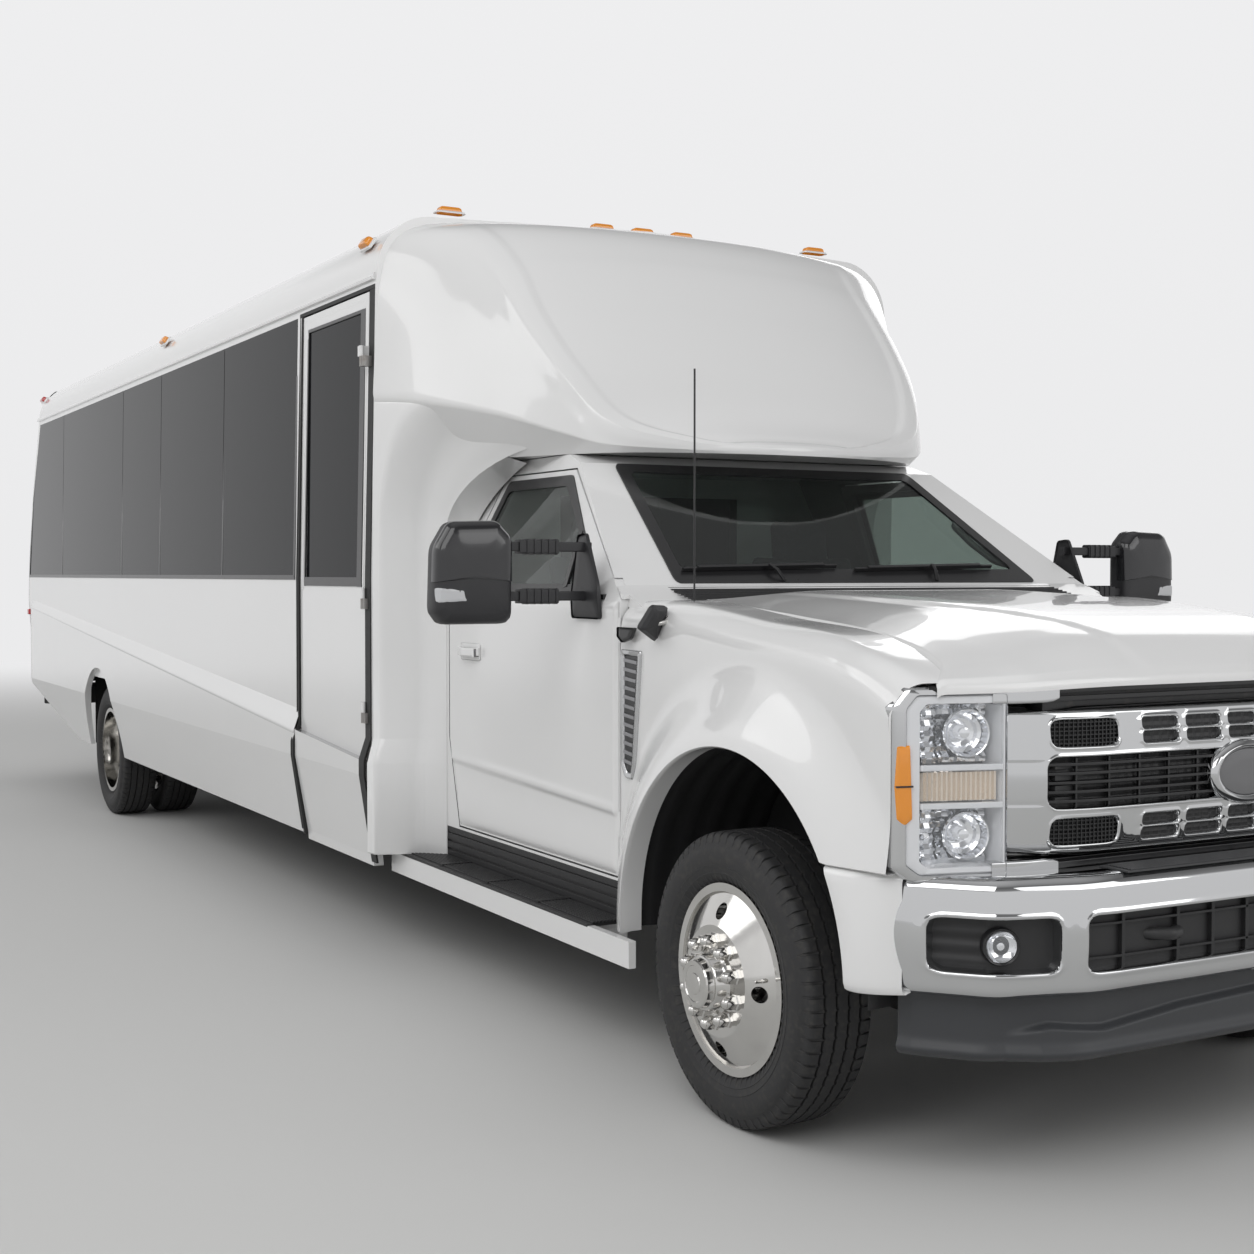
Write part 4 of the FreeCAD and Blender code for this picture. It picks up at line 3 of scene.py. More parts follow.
import bmesh
import bpy
import numpy as np
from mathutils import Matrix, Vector


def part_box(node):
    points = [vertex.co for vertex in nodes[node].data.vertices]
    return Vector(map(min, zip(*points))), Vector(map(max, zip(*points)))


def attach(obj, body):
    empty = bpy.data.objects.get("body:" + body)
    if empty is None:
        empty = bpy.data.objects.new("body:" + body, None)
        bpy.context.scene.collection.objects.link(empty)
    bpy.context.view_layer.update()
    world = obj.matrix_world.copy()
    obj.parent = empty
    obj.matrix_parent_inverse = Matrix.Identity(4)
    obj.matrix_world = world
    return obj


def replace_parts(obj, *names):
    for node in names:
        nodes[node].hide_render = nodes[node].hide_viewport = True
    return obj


# The minibus as it leaves the body shop: gloss white coach body and cab, chrome front and wheels.
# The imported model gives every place; lengths here are metres.
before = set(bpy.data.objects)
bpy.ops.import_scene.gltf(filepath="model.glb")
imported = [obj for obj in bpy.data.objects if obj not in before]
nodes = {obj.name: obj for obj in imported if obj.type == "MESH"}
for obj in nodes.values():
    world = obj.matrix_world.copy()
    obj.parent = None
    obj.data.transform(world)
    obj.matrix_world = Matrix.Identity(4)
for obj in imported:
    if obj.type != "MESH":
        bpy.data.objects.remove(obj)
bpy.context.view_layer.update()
scene = bpy.context.scene


# Studio: a pale floor that runs out of sight, four large soft lamps and the camera's place ahead of the
# right front wheel. The air that the camera and the gloss see is paler at eye level than overhead.
def node_tree(material):
    """The material's nodes and links, with only a surface shader and the output in place."""
    material.use_nodes = True
    tree = material.node_tree
    return tree.nodes, tree.links, tree.nodes["Principled BSDF"]


def seen_directly(shading, links):
    """1 where the camera sees a surface directly, in gloss or through glass, and 0 for light."""
    path = shading.new("ShaderNodeLightPath")
    first = shading.new("ShaderNodeMath")
    second = shading.new("ShaderNodeMath")
    first.operation = second.operation = "ADD"
    second.use_clamp = True
    links.new(path.outputs["Is Camera Ray"], first.inputs[0])
    links.new(path.outputs["Is Transmission Ray"], first.inputs[1])
    links.new(path.outputs["Is Glossy Ray"], second.inputs[1])
    links.new(first.outputs[0], second.inputs[0])
    return second.outputs[0]


BACKGROUND = (0.83, 0.83, 0.838, 1)
FLOOR_HALF = 60.0
FLOOR_PLAIN, FLOOR_GONE = 8.0, 22.0
floor_mesh = bpy.data.meshes.new("studio_floor")
corner = np.array([(-1, -1, 0), (1, -1, 0), (1, 1, 0), (-1, 1, 0)], float) * FLOOR_HALF
floor_mesh.from_pydata(corner.tolist(), [], [(0, 1, 2, 3)])
studio_floor = bpy.data.objects.new("studio_floor", floor_mesh)
scene.collection.objects.link(studio_floor)
floor_paint = bpy.data.materials.new("floor_paint")
shading, links, surface = node_tree(floor_paint)
surface.inputs["Base Color"].default_value = (0.60, 0.60, 0.59, 1)
surface.inputs["Roughness"].default_value = 0.75
place = shading.new("ShaderNodeTexCoord")
distance = shading.new("ShaderNodeVectorMath")
distance.operation = "LENGTH"
fade = shading.new("ShaderNodeMapRange")
fade.interpolation_type = "SMOOTHSTEP"
fade.inputs["From Min"].default_value = FLOOR_PLAIN
fade.inputs["From Max"].default_value = FLOOR_GONE
part = shading.new("ShaderNodeMath")
part.operation = "MULTIPLY"
backdrop = shading.new("ShaderNodeEmission")
backdrop.inputs["Color"].default_value = BACKGROUND
mixed = shading.new("ShaderNodeMixShader")
links.new(place.outputs["Object"], distance.inputs[0])
links.new(distance.outputs["Value"], fade.inputs["Value"])
links.new(fade.outputs["Result"], part.inputs[0])
links.new(seen_directly(shading, links), part.inputs[1])
links.new(part.outputs[0], mixed.inputs["Fac"])
links.new(surface.outputs[0], mixed.inputs[1])
links.new(backdrop.outputs[0], mixed.inputs[2])
links.new(mixed.outputs[0], shading["Material Output"].inputs["Surface"])
floor_mesh.materials.append(floor_paint)

world = bpy.data.worlds.new("studio_air")
scene.world = world
world.use_nodes = True
shading, links = world.node_tree.nodes, world.node_tree.links
air = shading["Background"]
direction = shading.new("ShaderNodeTexCoord")
rise = shading.new("ShaderNodeSeparateXYZ")
sky = shading.new("ShaderNodeValToRGB")
links.new(direction.outputs["Generated"], rise.inputs[0])
links.new(rise.outputs["Z"], sky.inputs["Fac"])
SKY_STOPS = [(0.0, 0.18), (0.07, 0.25), (0.18, 0.62), (0.5, 0.80), (1.0, 0.90)]


def set_stops(ramp, stops):
    """Gives the ramp these (height, level) stops of near-neutral light."""
    elements = ramp.color_ramp.elements
    elements[0].position, elements[1].position = stops[0][0], stops[-1][0]
    for level_at, level in stops[1:-1]:
        elements.new(level_at)
    for element, (level_at, level) in zip(elements, stops):
        element.color = (level, level, level * 1.01, 1)


set_stops(sky, SKY_STOPS)
links.new(sky.outputs["Color"], air.inputs["Color"])
air.inputs["Strength"].default_value = 0.62
plain_air = shading.new("ShaderNodeBackground")
plain_ramp = shading.new("ShaderNodeValToRGB")
links.new(rise.outputs["Z"], plain_ramp.inputs["Fac"])
PLAIN_STOPS = [(0.0, 0.83), (0.34, 0.86), (0.44, 0.30), (0.70, 0.16), (1.0, 0.60)]
set_stops(plain_ramp, PLAIN_STOPS)
links.new(plain_ramp.outputs["Color"], plain_air.inputs["Color"])
mixed_air = shading.new("ShaderNodeMixShader")
links.new(seen_directly(shading, links), mixed_air.inputs["Fac"])
links.new(air.outputs[0], mixed_air.inputs[1])
links.new(plain_air.outputs[0], mixed_air.inputs[2])
links.new(mixed_air.outputs[0], shading["World Output"].inputs["Surface"])

# Each lamp: name, place, the point it faces, its width and height, its power in watts.
LAMPS = [
    ("key_lamp", (10.5, -8.0, 9.0), (2.5, 0, 1.2), 10.0, 7.0, 520),
    ("side_lamp", (-3.0, -11.0, 9.0), (-1.0, 0, 1.2), 14.0, 6.0, 430),
    ("nose_lamp", (13.0, 4.0, 6.0), (4.5, 0, 1.0), 7.0, 5.0, 180),
    ("far_lamp", (-4.0, 12.0, 7.5), (-1.0, 0, 1.4), 12.0, 5.0, 240),
]
for name, stand, target, width, height, power in LAMPS:
    light = bpy.data.lights.new(name, "AREA")
    light.shape = "RECTANGLE"
    light.size, light.size_y, light.energy = width, height, power
    lamp = bpy.data.objects.new(name, light)
    lamp.location = stand
    lamp.rotation_euler = (Vector(target) - Vector(stand)).to_track_quat("-Z", "Y").to_euler()
    scene.collection.objects.link(lamp)

# The camera stands 8.32 m ahead and 3.54 m to the right of the origin, at eye level, and looks back
# along the right side. The focal length is 1710.6 pixels for a frame of 1254.
FRAME_PIXELS = 1254
FOCAL_PIXELS = 1710.6
SENSOR = 36.0
EYE = Vector((8.3196, -3.5372, 1.5143))
YAW, PITCH = math.radians(28.933), math.radians(1.772)
sight = Vector((-math.cos(YAW) * math.cos(PITCH), math.sin(YAW) * math.cos(PITCH), -math.sin(PITCH)))
camera_data = bpy.data.cameras.new("photographer")
camera_data.sensor_fit = "HORIZONTAL"
camera_data.sensor_width = SENSOR
camera_data.lens = FOCAL_PIXELS * SENSOR / FRAME_PIXELS
camera_data.clip_end = 300
camera = bpy.data.objects.new("photographer", camera_data)
camera.location = EYE
camera.rotation_euler = sight.to_track_quat("-Z", "Y").to_euler()
scene.collection.objects.link(camera)
scene.camera = camera
scene.view_settings.view_transform = "Standard"


# Chassis frame and axles: pressed channel rails, cross members, a forged front beam and a cast rear
# axle, all brushed with black chassis paint that is dusty on top and scuffed by stones.
def finish(name, colour, roughness, metallic=0.0, coat=0.0, **sockets):
    """A surface of one colour; further sockets are given by name with _ for spaces."""
    material = bpy.data.materials.new(name)
    shading, links, surface = node_tree(material)
    surface.inputs["Base Color"].default_value = (*colour, 1)
    surface.inputs["Roughness"].default_value = roughness
    surface.inputs["Metallic"].default_value = metallic
    surface.inputs["Coat Weight"].default_value = coat
    for socket, value in sockets.items():
        surface.inputs[socket.replace("_", " ")].default_value = value
    return material


def grained(material, size, depth, spread, other=None, cover=0.5, stretch=(1, 1, 1)):
    """Adds a fine bump, a roughness that varies by the spread and patches of another colour.

    A noise of the given grain size bends the surface by depth; a noise 12 times coarser moves the
    roughness up and down by the spread and mixes the other colour in where it is over the cover.
    """
    shading, links, surface = node_tree(material)
    place = shading.new("ShaderNodeTexCoord")
    turn = shading.new("ShaderNodeMapping")
    turn.inputs["Scale"].default_value = stretch
    links.new(place.outputs["Object"], turn.inputs["Vector"])
    fine = shading.new("ShaderNodeTexNoise")
    fine.inputs["Scale"].default_value = 1 / size
    fine.inputs["Detail"].default_value = 3
    coarse = shading.new("ShaderNodeTexNoise")
    coarse.inputs["Scale"].default_value = 1 / (12 * size)
    coarse.inputs["Detail"].default_value = 4
    bump = shading.new("ShaderNodeBump")
    bump.inputs["Distance"].default_value = depth
    bump.inputs["Strength"].default_value = 0.6
    gloss = shading.new("ShaderNodeMapRange")
    level = surface.inputs["Roughness"].default_value
    gloss.inputs["To Min"].default_value = max(0.02, level - spread)
    gloss.inputs["To Max"].default_value = min(1.0, level + spread)
    for noise in (fine, coarse):
        links.new(turn.outputs["Vector"], noise.inputs["Vector"])
    links.new(fine.outputs["Fac"], bump.inputs["Height"])
    links.new(bump.outputs["Normal"], surface.inputs["Normal"])
    links.new(coarse.outputs["Fac"], gloss.inputs["Value"])
    links.new(gloss.outputs["Result"], surface.inputs["Roughness"])
    if other:
        patches = shading.new("ShaderNodeMapRange")
        patches.inputs["From Min"].default_value = cover
        patches.inputs["From Max"].default_value = cover + 0.25
        blend = shading.new("ShaderNodeMix")
        blend.data_type = "RGBA"
        blend.inputs["A"].default_value = surface.inputs["Base Color"].default_value
        blend.inputs["B"].default_value = (*other, 1)
        links.new(coarse.outputs["Fac"], patches.inputs["Value"])
        links.new(patches.outputs["Result"], blend.inputs["Factor"])
        links.new(blend.outputs["Result"], surface.inputs["Base Color"])
    return material


def dress(material, *names):
    """Gives the CAD pieces of these names the finish."""
    for name in names:
        slots = nodes[name].data.materials
        slots.clear()
        slots.append(material)


chassis_black = grained(finish("chassis_black", (0.022, 0.022, 0.023), 0.5), 0.004, 0.0006, 0.15,
                        other=(0.07, 0.065, 0.058), cover=0.55)
cast_iron = grained(finish("cast_iron", (0.075, 0.073, 0.07), 0.62, metallic=0.6), 0.003, 0.0012, 0.12,
                    other=(0.12, 0.085, 0.06), cover=0.6)
rolled_steel = grained(finish("rolled_steel", (0.33, 0.32, 0.31), 0.42, metallic=0.9), 0.006, 0.0004, 0.12,
                       other=(0.2, 0.16, 0.13), cover=0.58)
dress(chassis_black, "frame", "front_axle", "rear_axle", "front_support")
dress(cast_iron, "knuckle_left", "knuckle_right", "powertrain", "drive_shaft")
dress(rolled_steel, "radiator", "exhaust", "entry_pivot")

# Tank, mud flaps and antenna: a blow-moulded tank strapped below the floor, rubber flaps hung behind the
# rear wheels and a black rod screwed to the body.
moulded_black = grained(finish("moulded_black", (0.018, 0.018, 0.019), 0.48), 0.0012, 0.0003, 0.08)
flap_rubber = grained(finish("flap_rubber", (0.02, 0.02, 0.02), 0.72), 0.002, 0.0004, 0.1,
                      other=(0.05, 0.047, 0.043), cover=0.55)
dress(moulded_black, "fuel_tank", "antenna")
dress(flap_rubber, "mud_flaps")


# Tyres: radial truck tyres of black rubber gone grey with dust, with four grooves round the tread,
# cut shoulders and a ribbed sidewall. Each one is pressed on its rim; the rear ones stand in pairs.
def cut_corners(line, times, closed=True):
    """Corner cutting: each side keeps its middle half, times over. The axis before the last is the line."""
    for _ in range(times):
        after = np.roll(line, -1, axis=-2)
        pairs = np.stack([0.75 * line + 0.25 * after, 0.25 * line + 0.75 * after], axis=-2)
        cut = pairs.reshape(*line.shape[:-2], -1, line.shape[-1])
        line = cut if closed else np.concatenate([line[..., :1, :], cut[..., :-2, :], line[..., -1:, :]], -2)
    return line


def turned(outline, centre, axis, turns=48, facets=0, facet_top=0.0):
    """The outline's (radius, out) points turned about an axis through the centre.

    With facets, the points below facet_top lie on a polygon: the radius is times cos(a) / cos(b),
    where a is half the polygon's turn and b is the angle from the middle of the nearest side.
    """
    axis = np.asarray(axis, float)
    across = np.cross(axis, (0.0, 0.0, 1.0)) if abs(axis[2]) < 0.9 else np.array((1.0, 0.0, 0.0))
    up = np.cross(across, axis)
    angle = np.arange(turns) * 2 * np.pi / turns
    radius, out = np.asarray(outline, float).T
    reach = np.ones((turns, len(radius)))
    if facets:
        half = np.pi / facets
        polygon = np.cos(half) / np.cos(angle % (2 * half) - half)
        reach = np.where(out < facet_top, polygon[:, None], 1.0)
    ring = np.cos(angle)[:, None] * across + np.sin(angle)[:, None] * up
    spread = (radius * reach)[..., None] * ring[:, None]
    return np.asarray(centre, float) + spread + out[:, None] * axis, True, False


def mesh_piece(name, patches, material, body, crease=35.0):
    """One mesh from several grids of points.

    A patch is a grid of rows and columns of points and whether its rows and its columns run round.
    Quads join neighbours, doubles are merged, faces turned outwards, and edges over the crease sharp.
    """
    points, quads, count = [], [], 0
    for grid, rows_close, columns_close in patches:
        rows, columns = grid.shape[:2]
        order = count + np.arange(rows * columns).reshape(rows, columns)
        if rows_close:
            order = np.vstack([order, order[:1]])
        if columns_close:
            order = np.hstack([order, order[:, :1]])
        corners = [order[:-1, :-1], order[1:, :-1], order[1:, 1:], order[:-1, 1:]]
        quads.append(np.stack(corners, -1).reshape(-1, 4))
        points.append(grid.reshape(-1, 3))
        count += rows * columns
    mesh = bpy.data.meshes.new(name)
    mesh.from_pydata(np.vstack(points).tolist(), [], np.vstack(quads).tolist())
    shape = bmesh.new()
    shape.from_mesh(mesh)
    bmesh.ops.remove_doubles(shape, verts=shape.verts, dist=1e-5)
    bmesh.ops.recalc_face_normals(shape, faces=shape.faces)
    shape.to_mesh(mesh)
    shape.free()
    mesh.shade_smooth()
    mesh.set_sharp_from_angle(angle=math.radians(crease))
    mesh.materials.append(material)
    piece = bpy.data.objects.new(name, mesh)
    scene.collection.objects.link(piece)
    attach(piece, body)
    return piece


def corners_of(node):
    """Lowest and highest corner of a CAD piece, as arrays."""
    low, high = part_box(node)
    return np.array(low), np.array(high)


SIDES = (("left", 1), ("right", -1))
tyre_low, tyre_high = corners_of("front_tyre_right")
AXLE = (tyre_low[0] + tyre_high[0]) / 2
TYRE_RADIUS = (tyre_high[2] - tyre_low[2]) / 2
FRONT_TRACK_HALF = -(tyre_low[1] + tyre_high[1]) / 2
rear_low, rear_high = corners_of("rear_tyres_right")
REAR_AXLE = (rear_low[0] + rear_high[0]) / 2
REAR_TRACK_HALF = -(rear_low[1] + rear_high[1]) / 2
TWIN_OFFSET = 0.136
GROOVES = (0.019, 0.056)
GROOVE_HALF, GROOVE_DEPTH, GROOVE_SWAY = 0.004, 0.010, 0.0014
# Shoulder, sidewall and bead, half section: out from the middle, and how far inside the tread.
SHOULDER = [(0.078, 0.0018), (0.090, 0.005), (0.0965, 0.012), (0.099, 0.022), (0.104, 0.034), (0.109, 0.040),
            (0.1125, 0.056), (0.113, 0.078), (0.1105, 0.092), (0.1118, 0.0935), (0.1105, 0.097),
            (0.106, 0.112), (0.107, 0.1135), (0.1045, 0.117), (0.097, 0.131), (0.090, 0.1385),
            (0.0825, 0.1405), (0.0825, 0.1515), (0.06, 0.1515)]
NOTCHES = 68
NOTCH_ANGLES = np.array((0.0, 0.16, 0.20, 0.96))
NOTCH_DEPTH = 0.006
NOTCH_FROM, NOTCH_TO = 0.07, 0.1


def tyre(centre):
    """Tread, shoulders and sidewalls round the axle's height, with notches cut across the shoulder.

    The radius falls with the square of the way out, and by the groove's depth inside a groove; the
    groove sways from side to side with the notches.
    """
    half = [(0.0, 0.0)]
    for middle in GROOVES:
        fall = 0.35 * middle ** 2
        half += [(middle - GROOVE_HALF, fall), (middle - 0.6 * GROOVE_HALF, fall + GROOVE_DEPTH),
                 (middle + 0.6 * GROOVE_HALF, fall + GROOVE_DEPTH), (middle + GROOVE_HALF, fall)]
    half = np.array(half + SHOULDER)
    section = np.concatenate([half[:0:-1] * (-1, 1), half])
    out, inside = section.T
    angle = (np.arange(NOTCHES)[:, None] + NOTCH_ANGLES).reshape(-1) * 2 * np.pi / NOTCHES
    low = np.tile((1.0, 1.0, 0.0, 0.0), NOTCHES)
    shoulder = (abs(out) > NOTCH_FROM) & (abs(out) < NOTCH_TO)
    radius = TYRE_RADIUS - inside - NOTCH_DEPTH * low[:, None] * shoulder
    sway = GROOVE_SWAY * (2 * low[:, None] - 1) * (abs(out) < NOTCH_FROM) * (abs(out) > 0.001)
    x = centre[0] + radius * np.sin(angle)[:, None]
    y = centre[1] + out + sway
    z = centre[2] + radius * np.cos(angle)[:, None]
    return np.stack([x, y, z], -1), True, True


tyre_rubber = grained(finish("tyre_rubber", (0.021, 0.021, 0.022), 0.66), 0.0016, 0.0003, 0.1,
                      other=(0.042, 0.04, 0.037), cover=0.5)
for key, side in SIDES:
    centre = (AXLE, side * FRONT_TRACK_HALF, TYRE_RADIUS)
    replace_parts(mesh_piece("tyre_front_" + key, [tyre(centre)], tyre_rubber, "wheel_front_" + key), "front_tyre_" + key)
    pair = [tyre((REAR_AXLE, side * (REAR_TRACK_HALF + offset), TYRE_RADIUS))
            for offset in (TWIN_OFFSET, -TWIN_OFFSET)]
    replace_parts(mesh_piece("tyres_rear_" + key, pair, tyre_rubber, "wheels_rear_" + key),
                "rear_tyres_" + key)

# Wheels: forged discs polished to a mirror and held by ten nuts under chrome caps. The front ones have a
# stepped hub cap and a valve, and the rear ones show the axle's bolted flange.
polished = grained(finish("polished_disc", (0.68, 0.67, 0.65), 0.10, metallic=1.0), 0.02, 0.00008, 0.05,
                   other=(0.58, 0.57, 0.55), cover=0.5)
dress(polished, "front_wheel_left", "front_wheel_right", "rear_wheels_left", "rear_wheels_right")
NUT_CIRCLE, NUT_COUNT, NUT_FACETS_TO = 0.112, 10, 0.026
NUT_CAP = [(0.0, 0.0), (0.0235, 0.0), (0.0235, 0.004), (0.0198, 0.007), (0.0198, 0.024), (0.0172, 0.027),
           (0.0160, 0.033), (0.0120, 0.040), (0.0065, 0.0440), (0.0, 0.0455)]
HUB_CAP = [(0.088, 0.0), (0.088, 0.006), (0.081, 0.011), (0.078, 0.015), (0.0765, 0.038), (0.0735, 0.042),
           (0.0685, 0.043), (0.067, 0.047), (0.0655, 0.061), (0.062, 0.065), (0.050, 0.0665), (0.048, 0.064),
           (0.030, 0.0645), (0.028, 0.067), (0.010, 0.0678), (0.0, 0.068)]
FLANGE = [(0.091, -0.02), (0.091, 0.003), (0.087, 0.007), (0.064, 0.009), (0.060, 0.006), (0.0, 0.007)]
FLANGE_BOLT = [(0.0085, 0.006), (0.0085, 0.013), (0.0065, 0.0145), (0.0, 0.015)]
FRONT_FACE = FRONT_TRACK_HALF + 0.136
REAR_FACE = REAR_TRACK_HALF + 0.014
REAR_HUB_END = REAR_TRACK_HALF + 0.150
BOLT_CIRCLE, BOLT_COUNT, BOLT_FACETS_TO = 0.075, 8, 0.014
VALVE = [(0.0, -0.004), (0.006, -0.004), (0.006, 0.012), (0.0045, 0.013), (0.0045, 0.034), (0.003, 0.036),
         (0.0, 0.036)]
VALVE_AHEAD, VALVE_IN, VALVE_RISE = 0.205, 0.03, 0.04


def ring_of(outline, axle, face, side, circle, count, facet_top, turns=24):
    """The hexagonal outline turned at even places of a circle round the axle."""
    turn = np.arange(count) * 2 * np.pi / count
    places = zip(axle + circle * np.sin(turn), TYRE_RADIUS + circle * np.cos(turn))
    return [turned(outline, (x, side * face, z), (0, side, 0), turns, facets=6, facet_top=facet_top)
            for x, z in places]


for key, side in SIDES:
    outward = (0, side, 0)
    valve_at = (AXLE + VALVE_AHEAD, side * (FRONT_FACE - VALVE_IN), TYRE_RADIUS + VALVE_RISE)
    caps = ring_of(NUT_CAP, AXLE, FRONT_FACE, side, NUT_CIRCLE, NUT_COUNT, NUT_FACETS_TO)
    caps.append(turned(HUB_CAP, (AXLE, side * FRONT_FACE, TYRE_RADIUS), outward, turns=72))
    caps.append(turned(VALVE, valve_at, outward, turns=12))
    mesh_piece("hub_trim_front_" + key, caps, polished, "wheel_front_" + key)
    caps = ring_of(NUT_CAP, REAR_AXLE, REAR_FACE, side, NUT_CIRCLE, NUT_COUNT, NUT_FACETS_TO)
    caps.append(turned(FLANGE, (REAR_AXLE, side * REAR_HUB_END, TYRE_RADIUS), outward, turns=48))
    caps += ring_of(FLANGE_BOLT, REAR_AXLE, REAR_HUB_END, side, BOLT_CIRCLE, BOLT_COUNT, BOLT_FACETS_TO,
                    turns=12)
    mesh_piece("hub_trim_rear_" + key, caps, polished, "wheels_rear_" + key)

# Cab and coach shells: pressed steel and moulded panels in the same gloss white under a clear coat,
# lined inside with grey trim. The side that faces the middle of the room is the lined one.
WHITE = (0.80, 0.80, 0.797)
LINING = (0.16, 0.16, 0.165, 1)
COACH_MIDDLE, CAB_MIDDLE = (-1.6, 0.0, 1.75), (3.1, 0.0, 1.25)


def lined(material, middle):
    """Mixes in the lining's colour where the normal points to the middle of the room."""
    shading, links, surface = node_tree(material)
    place = shading.new("ShaderNodeTexCoord")
    away = shading.new("ShaderNodeVectorMath")
    away.operation = "SUBTRACT"
    away.inputs[1].default_value = middle
    facing = shading.new("ShaderNodeVectorMath")
    facing.operation = "DOT_PRODUCT"
    inward = shading.new("ShaderNodeMath")
    inward.operation = "LESS_THAN"
    inward.inputs[1].default_value = 0.0
    blend = shading.new("ShaderNodeMix")
    blend.data_type = "RGBA"
    blend.inputs["A"].default_value = surface.inputs["Base Color"].default_value
    blend.inputs["B"].default_value = LINING
    links.new(place.outputs["Object"], away.inputs[0])
    links.new(away.outputs[0], facing.inputs[0])
    links.new(place.outputs["Normal"], facing.inputs[1])
    links.new(facing.outputs["Value"], inward.inputs[0])
    links.new(inward.outputs[0], blend.inputs["Factor"])
    links.new(blend.outputs["Result"], surface.inputs["Base Color"])
    return material


def gloss_white(name):
    """The body's white under a clear coat, whose bump of 0.1 mm over 5 cm is its orange peel."""
    return grained(finish(name, WHITE, 0.20, coat=0.8, Coat_Roughness=0.03), 0.05, 0.00010, 0.04)


white_paint = gloss_white("white_paint")
coach_paint = lined(gloss_white("coach_paint"), COACH_MIDDLE)
cab_paint = lined(gloss_white("cab_paint"), CAB_MIDDLE)
dress(white_paint, "cab_steps", "skirts")
dress(coach_paint, "front_wall", "rear_wall", "roof", "side_wall_left", "side_wall_right", "entry_door")
dress(cab_paint, "cab_shell", "cab_door_left", "cab_door_right")

# Glass: the saloon panes are dyed nearly black, and the cab panes are clear with a light green cast. All
# are bonded in, and the trims round them come with the side, the door and the cab below.
dark_glass = finish("dark_glass", (0.012, 0.013, 0.015), 0.02, Transmission_Weight=0.25, IOR=1.25,
                    Specular_IOR_Level=0.2)
pale_glass = finish("pale_glass", (0.40, 0.46, 0.43), 0.005, Transmission_Weight=1.0, IOR=1.40)
dress(dark_glass, "side_glass", "entry_glass")
dress(pale_glass, "windscreen", "cab_door_glass_left", "cab_door_glass_right")


# Saloon side: black trims above and below the glass band, black joints between its panes, and a white
# aluminium drip rail along the cantrail. All of them are bonded on and follow the lean of the wall.
def swept(path, section, up=(0.0, 0.0, 1.0), ring=False):
    """The section's (across, up) points carried along the path, its ends closed to their middle."""
    path = np.asarray(path, float)
    ahead = np.roll(path, -1, 0) - np.roll(path, 1, 0) if ring else np.gradient(path, axis=0)
    across = np.cross(ahead, np.asarray(up, float))
    across /= np.linalg.norm(across, axis=1, keepdims=True)
    top = np.cross(across, ahead)
    top /= np.linalg.norm(top, axis=1, keepdims=True)
    section = np.asarray(section, float)
    grid = path[:, None] + section[None, :, :1] * across[:, None] + section[None, :, 1:] * top[:, None]
    if not ring:
        first, last = [np.repeat(row.mean(0)[None, None], len(section), 1) for row in (grid[0], grid[-1])]
        grid = np.concatenate([first, grid, last])
    return grid, ring, True


def soft(corners, reach, times=3, closed=True):
    """Rounds each corner: it gets a point along both its sides at the reach, then the corners are cut."""
    corners = np.asarray(corners, float)
    line = []
    for other in (np.roll(corners, 1, -2), np.roll(corners, -1, -2)):
        way = other - corners
        length = np.linalg.norm(way, axis=-1, keepdims=True)
        line.append(corners + way / length * np.minimum(reach, 0.45 * length))
    line = np.stack([line[0], corners, line[1]], axis=-2).reshape(*corners.shape[:-2], -1, corners.shape[-1])
    return cut_corners(line if closed else line[..., 1:-1, :], times, closed)


def bar(width, height, reach=0.3, times=2):
    """A rounded rectangle about the path, as a section."""
    box = np.array([(-1, -1), (1, -1), (1, 1), (-1, 1)]) * (width / 2, height / 2)
    return soft(box, reach * min(width, height), times)


def round_bar(radius, sides=14):
    """A circle about the path, as a section."""
    angle = np.arange(sides) * 2 * np.pi / sides
    return radius * np.stack([np.cos(angle), np.sin(angle)], 1)


def both(patches):
    """The patches and their mirror images on the other side of the vehicle."""
    return patches + [(grid * (1, -1, 1), rows, columns) for grid, rows, columns in patches]


trim_black = grained(finish("trim_black", (0.012, 0.012, 0.013), 0.30, coat=0.2), 0.0015, 0.00012, 0.05)
seal_rubber = grained(finish("seal_rubber", (0.016, 0.016, 0.016), 0.62), 0.0015, 0.0002, 0.08)
BODY_HALF = 1.225
WALL_LEAN = 0.027
BELT, CANTRAIL, ROOF_HEIGHT = 1.500, 2.650, 2.930
BODY_FRONT = AXLE - 2.250


def wall_half(height):
    """The coach wall's half width: it leans in by a straight line from the belt to the cantrail."""
    return BODY_HALF - WALL_LEAN * np.clip((height - BELT) / (CANTRAIL - BELT), 0, 1)


glass_points = np.array([vertex.co for vertex in nodes["side_glass"].data.vertices])
glass_low, glass_high = corners_of("side_glass")


def rear_of(points, height, reach=0.03):
    """Where a piece ends at the back at a height."""
    return points[abs(points[:, 2] - height) < reach, 0].min()


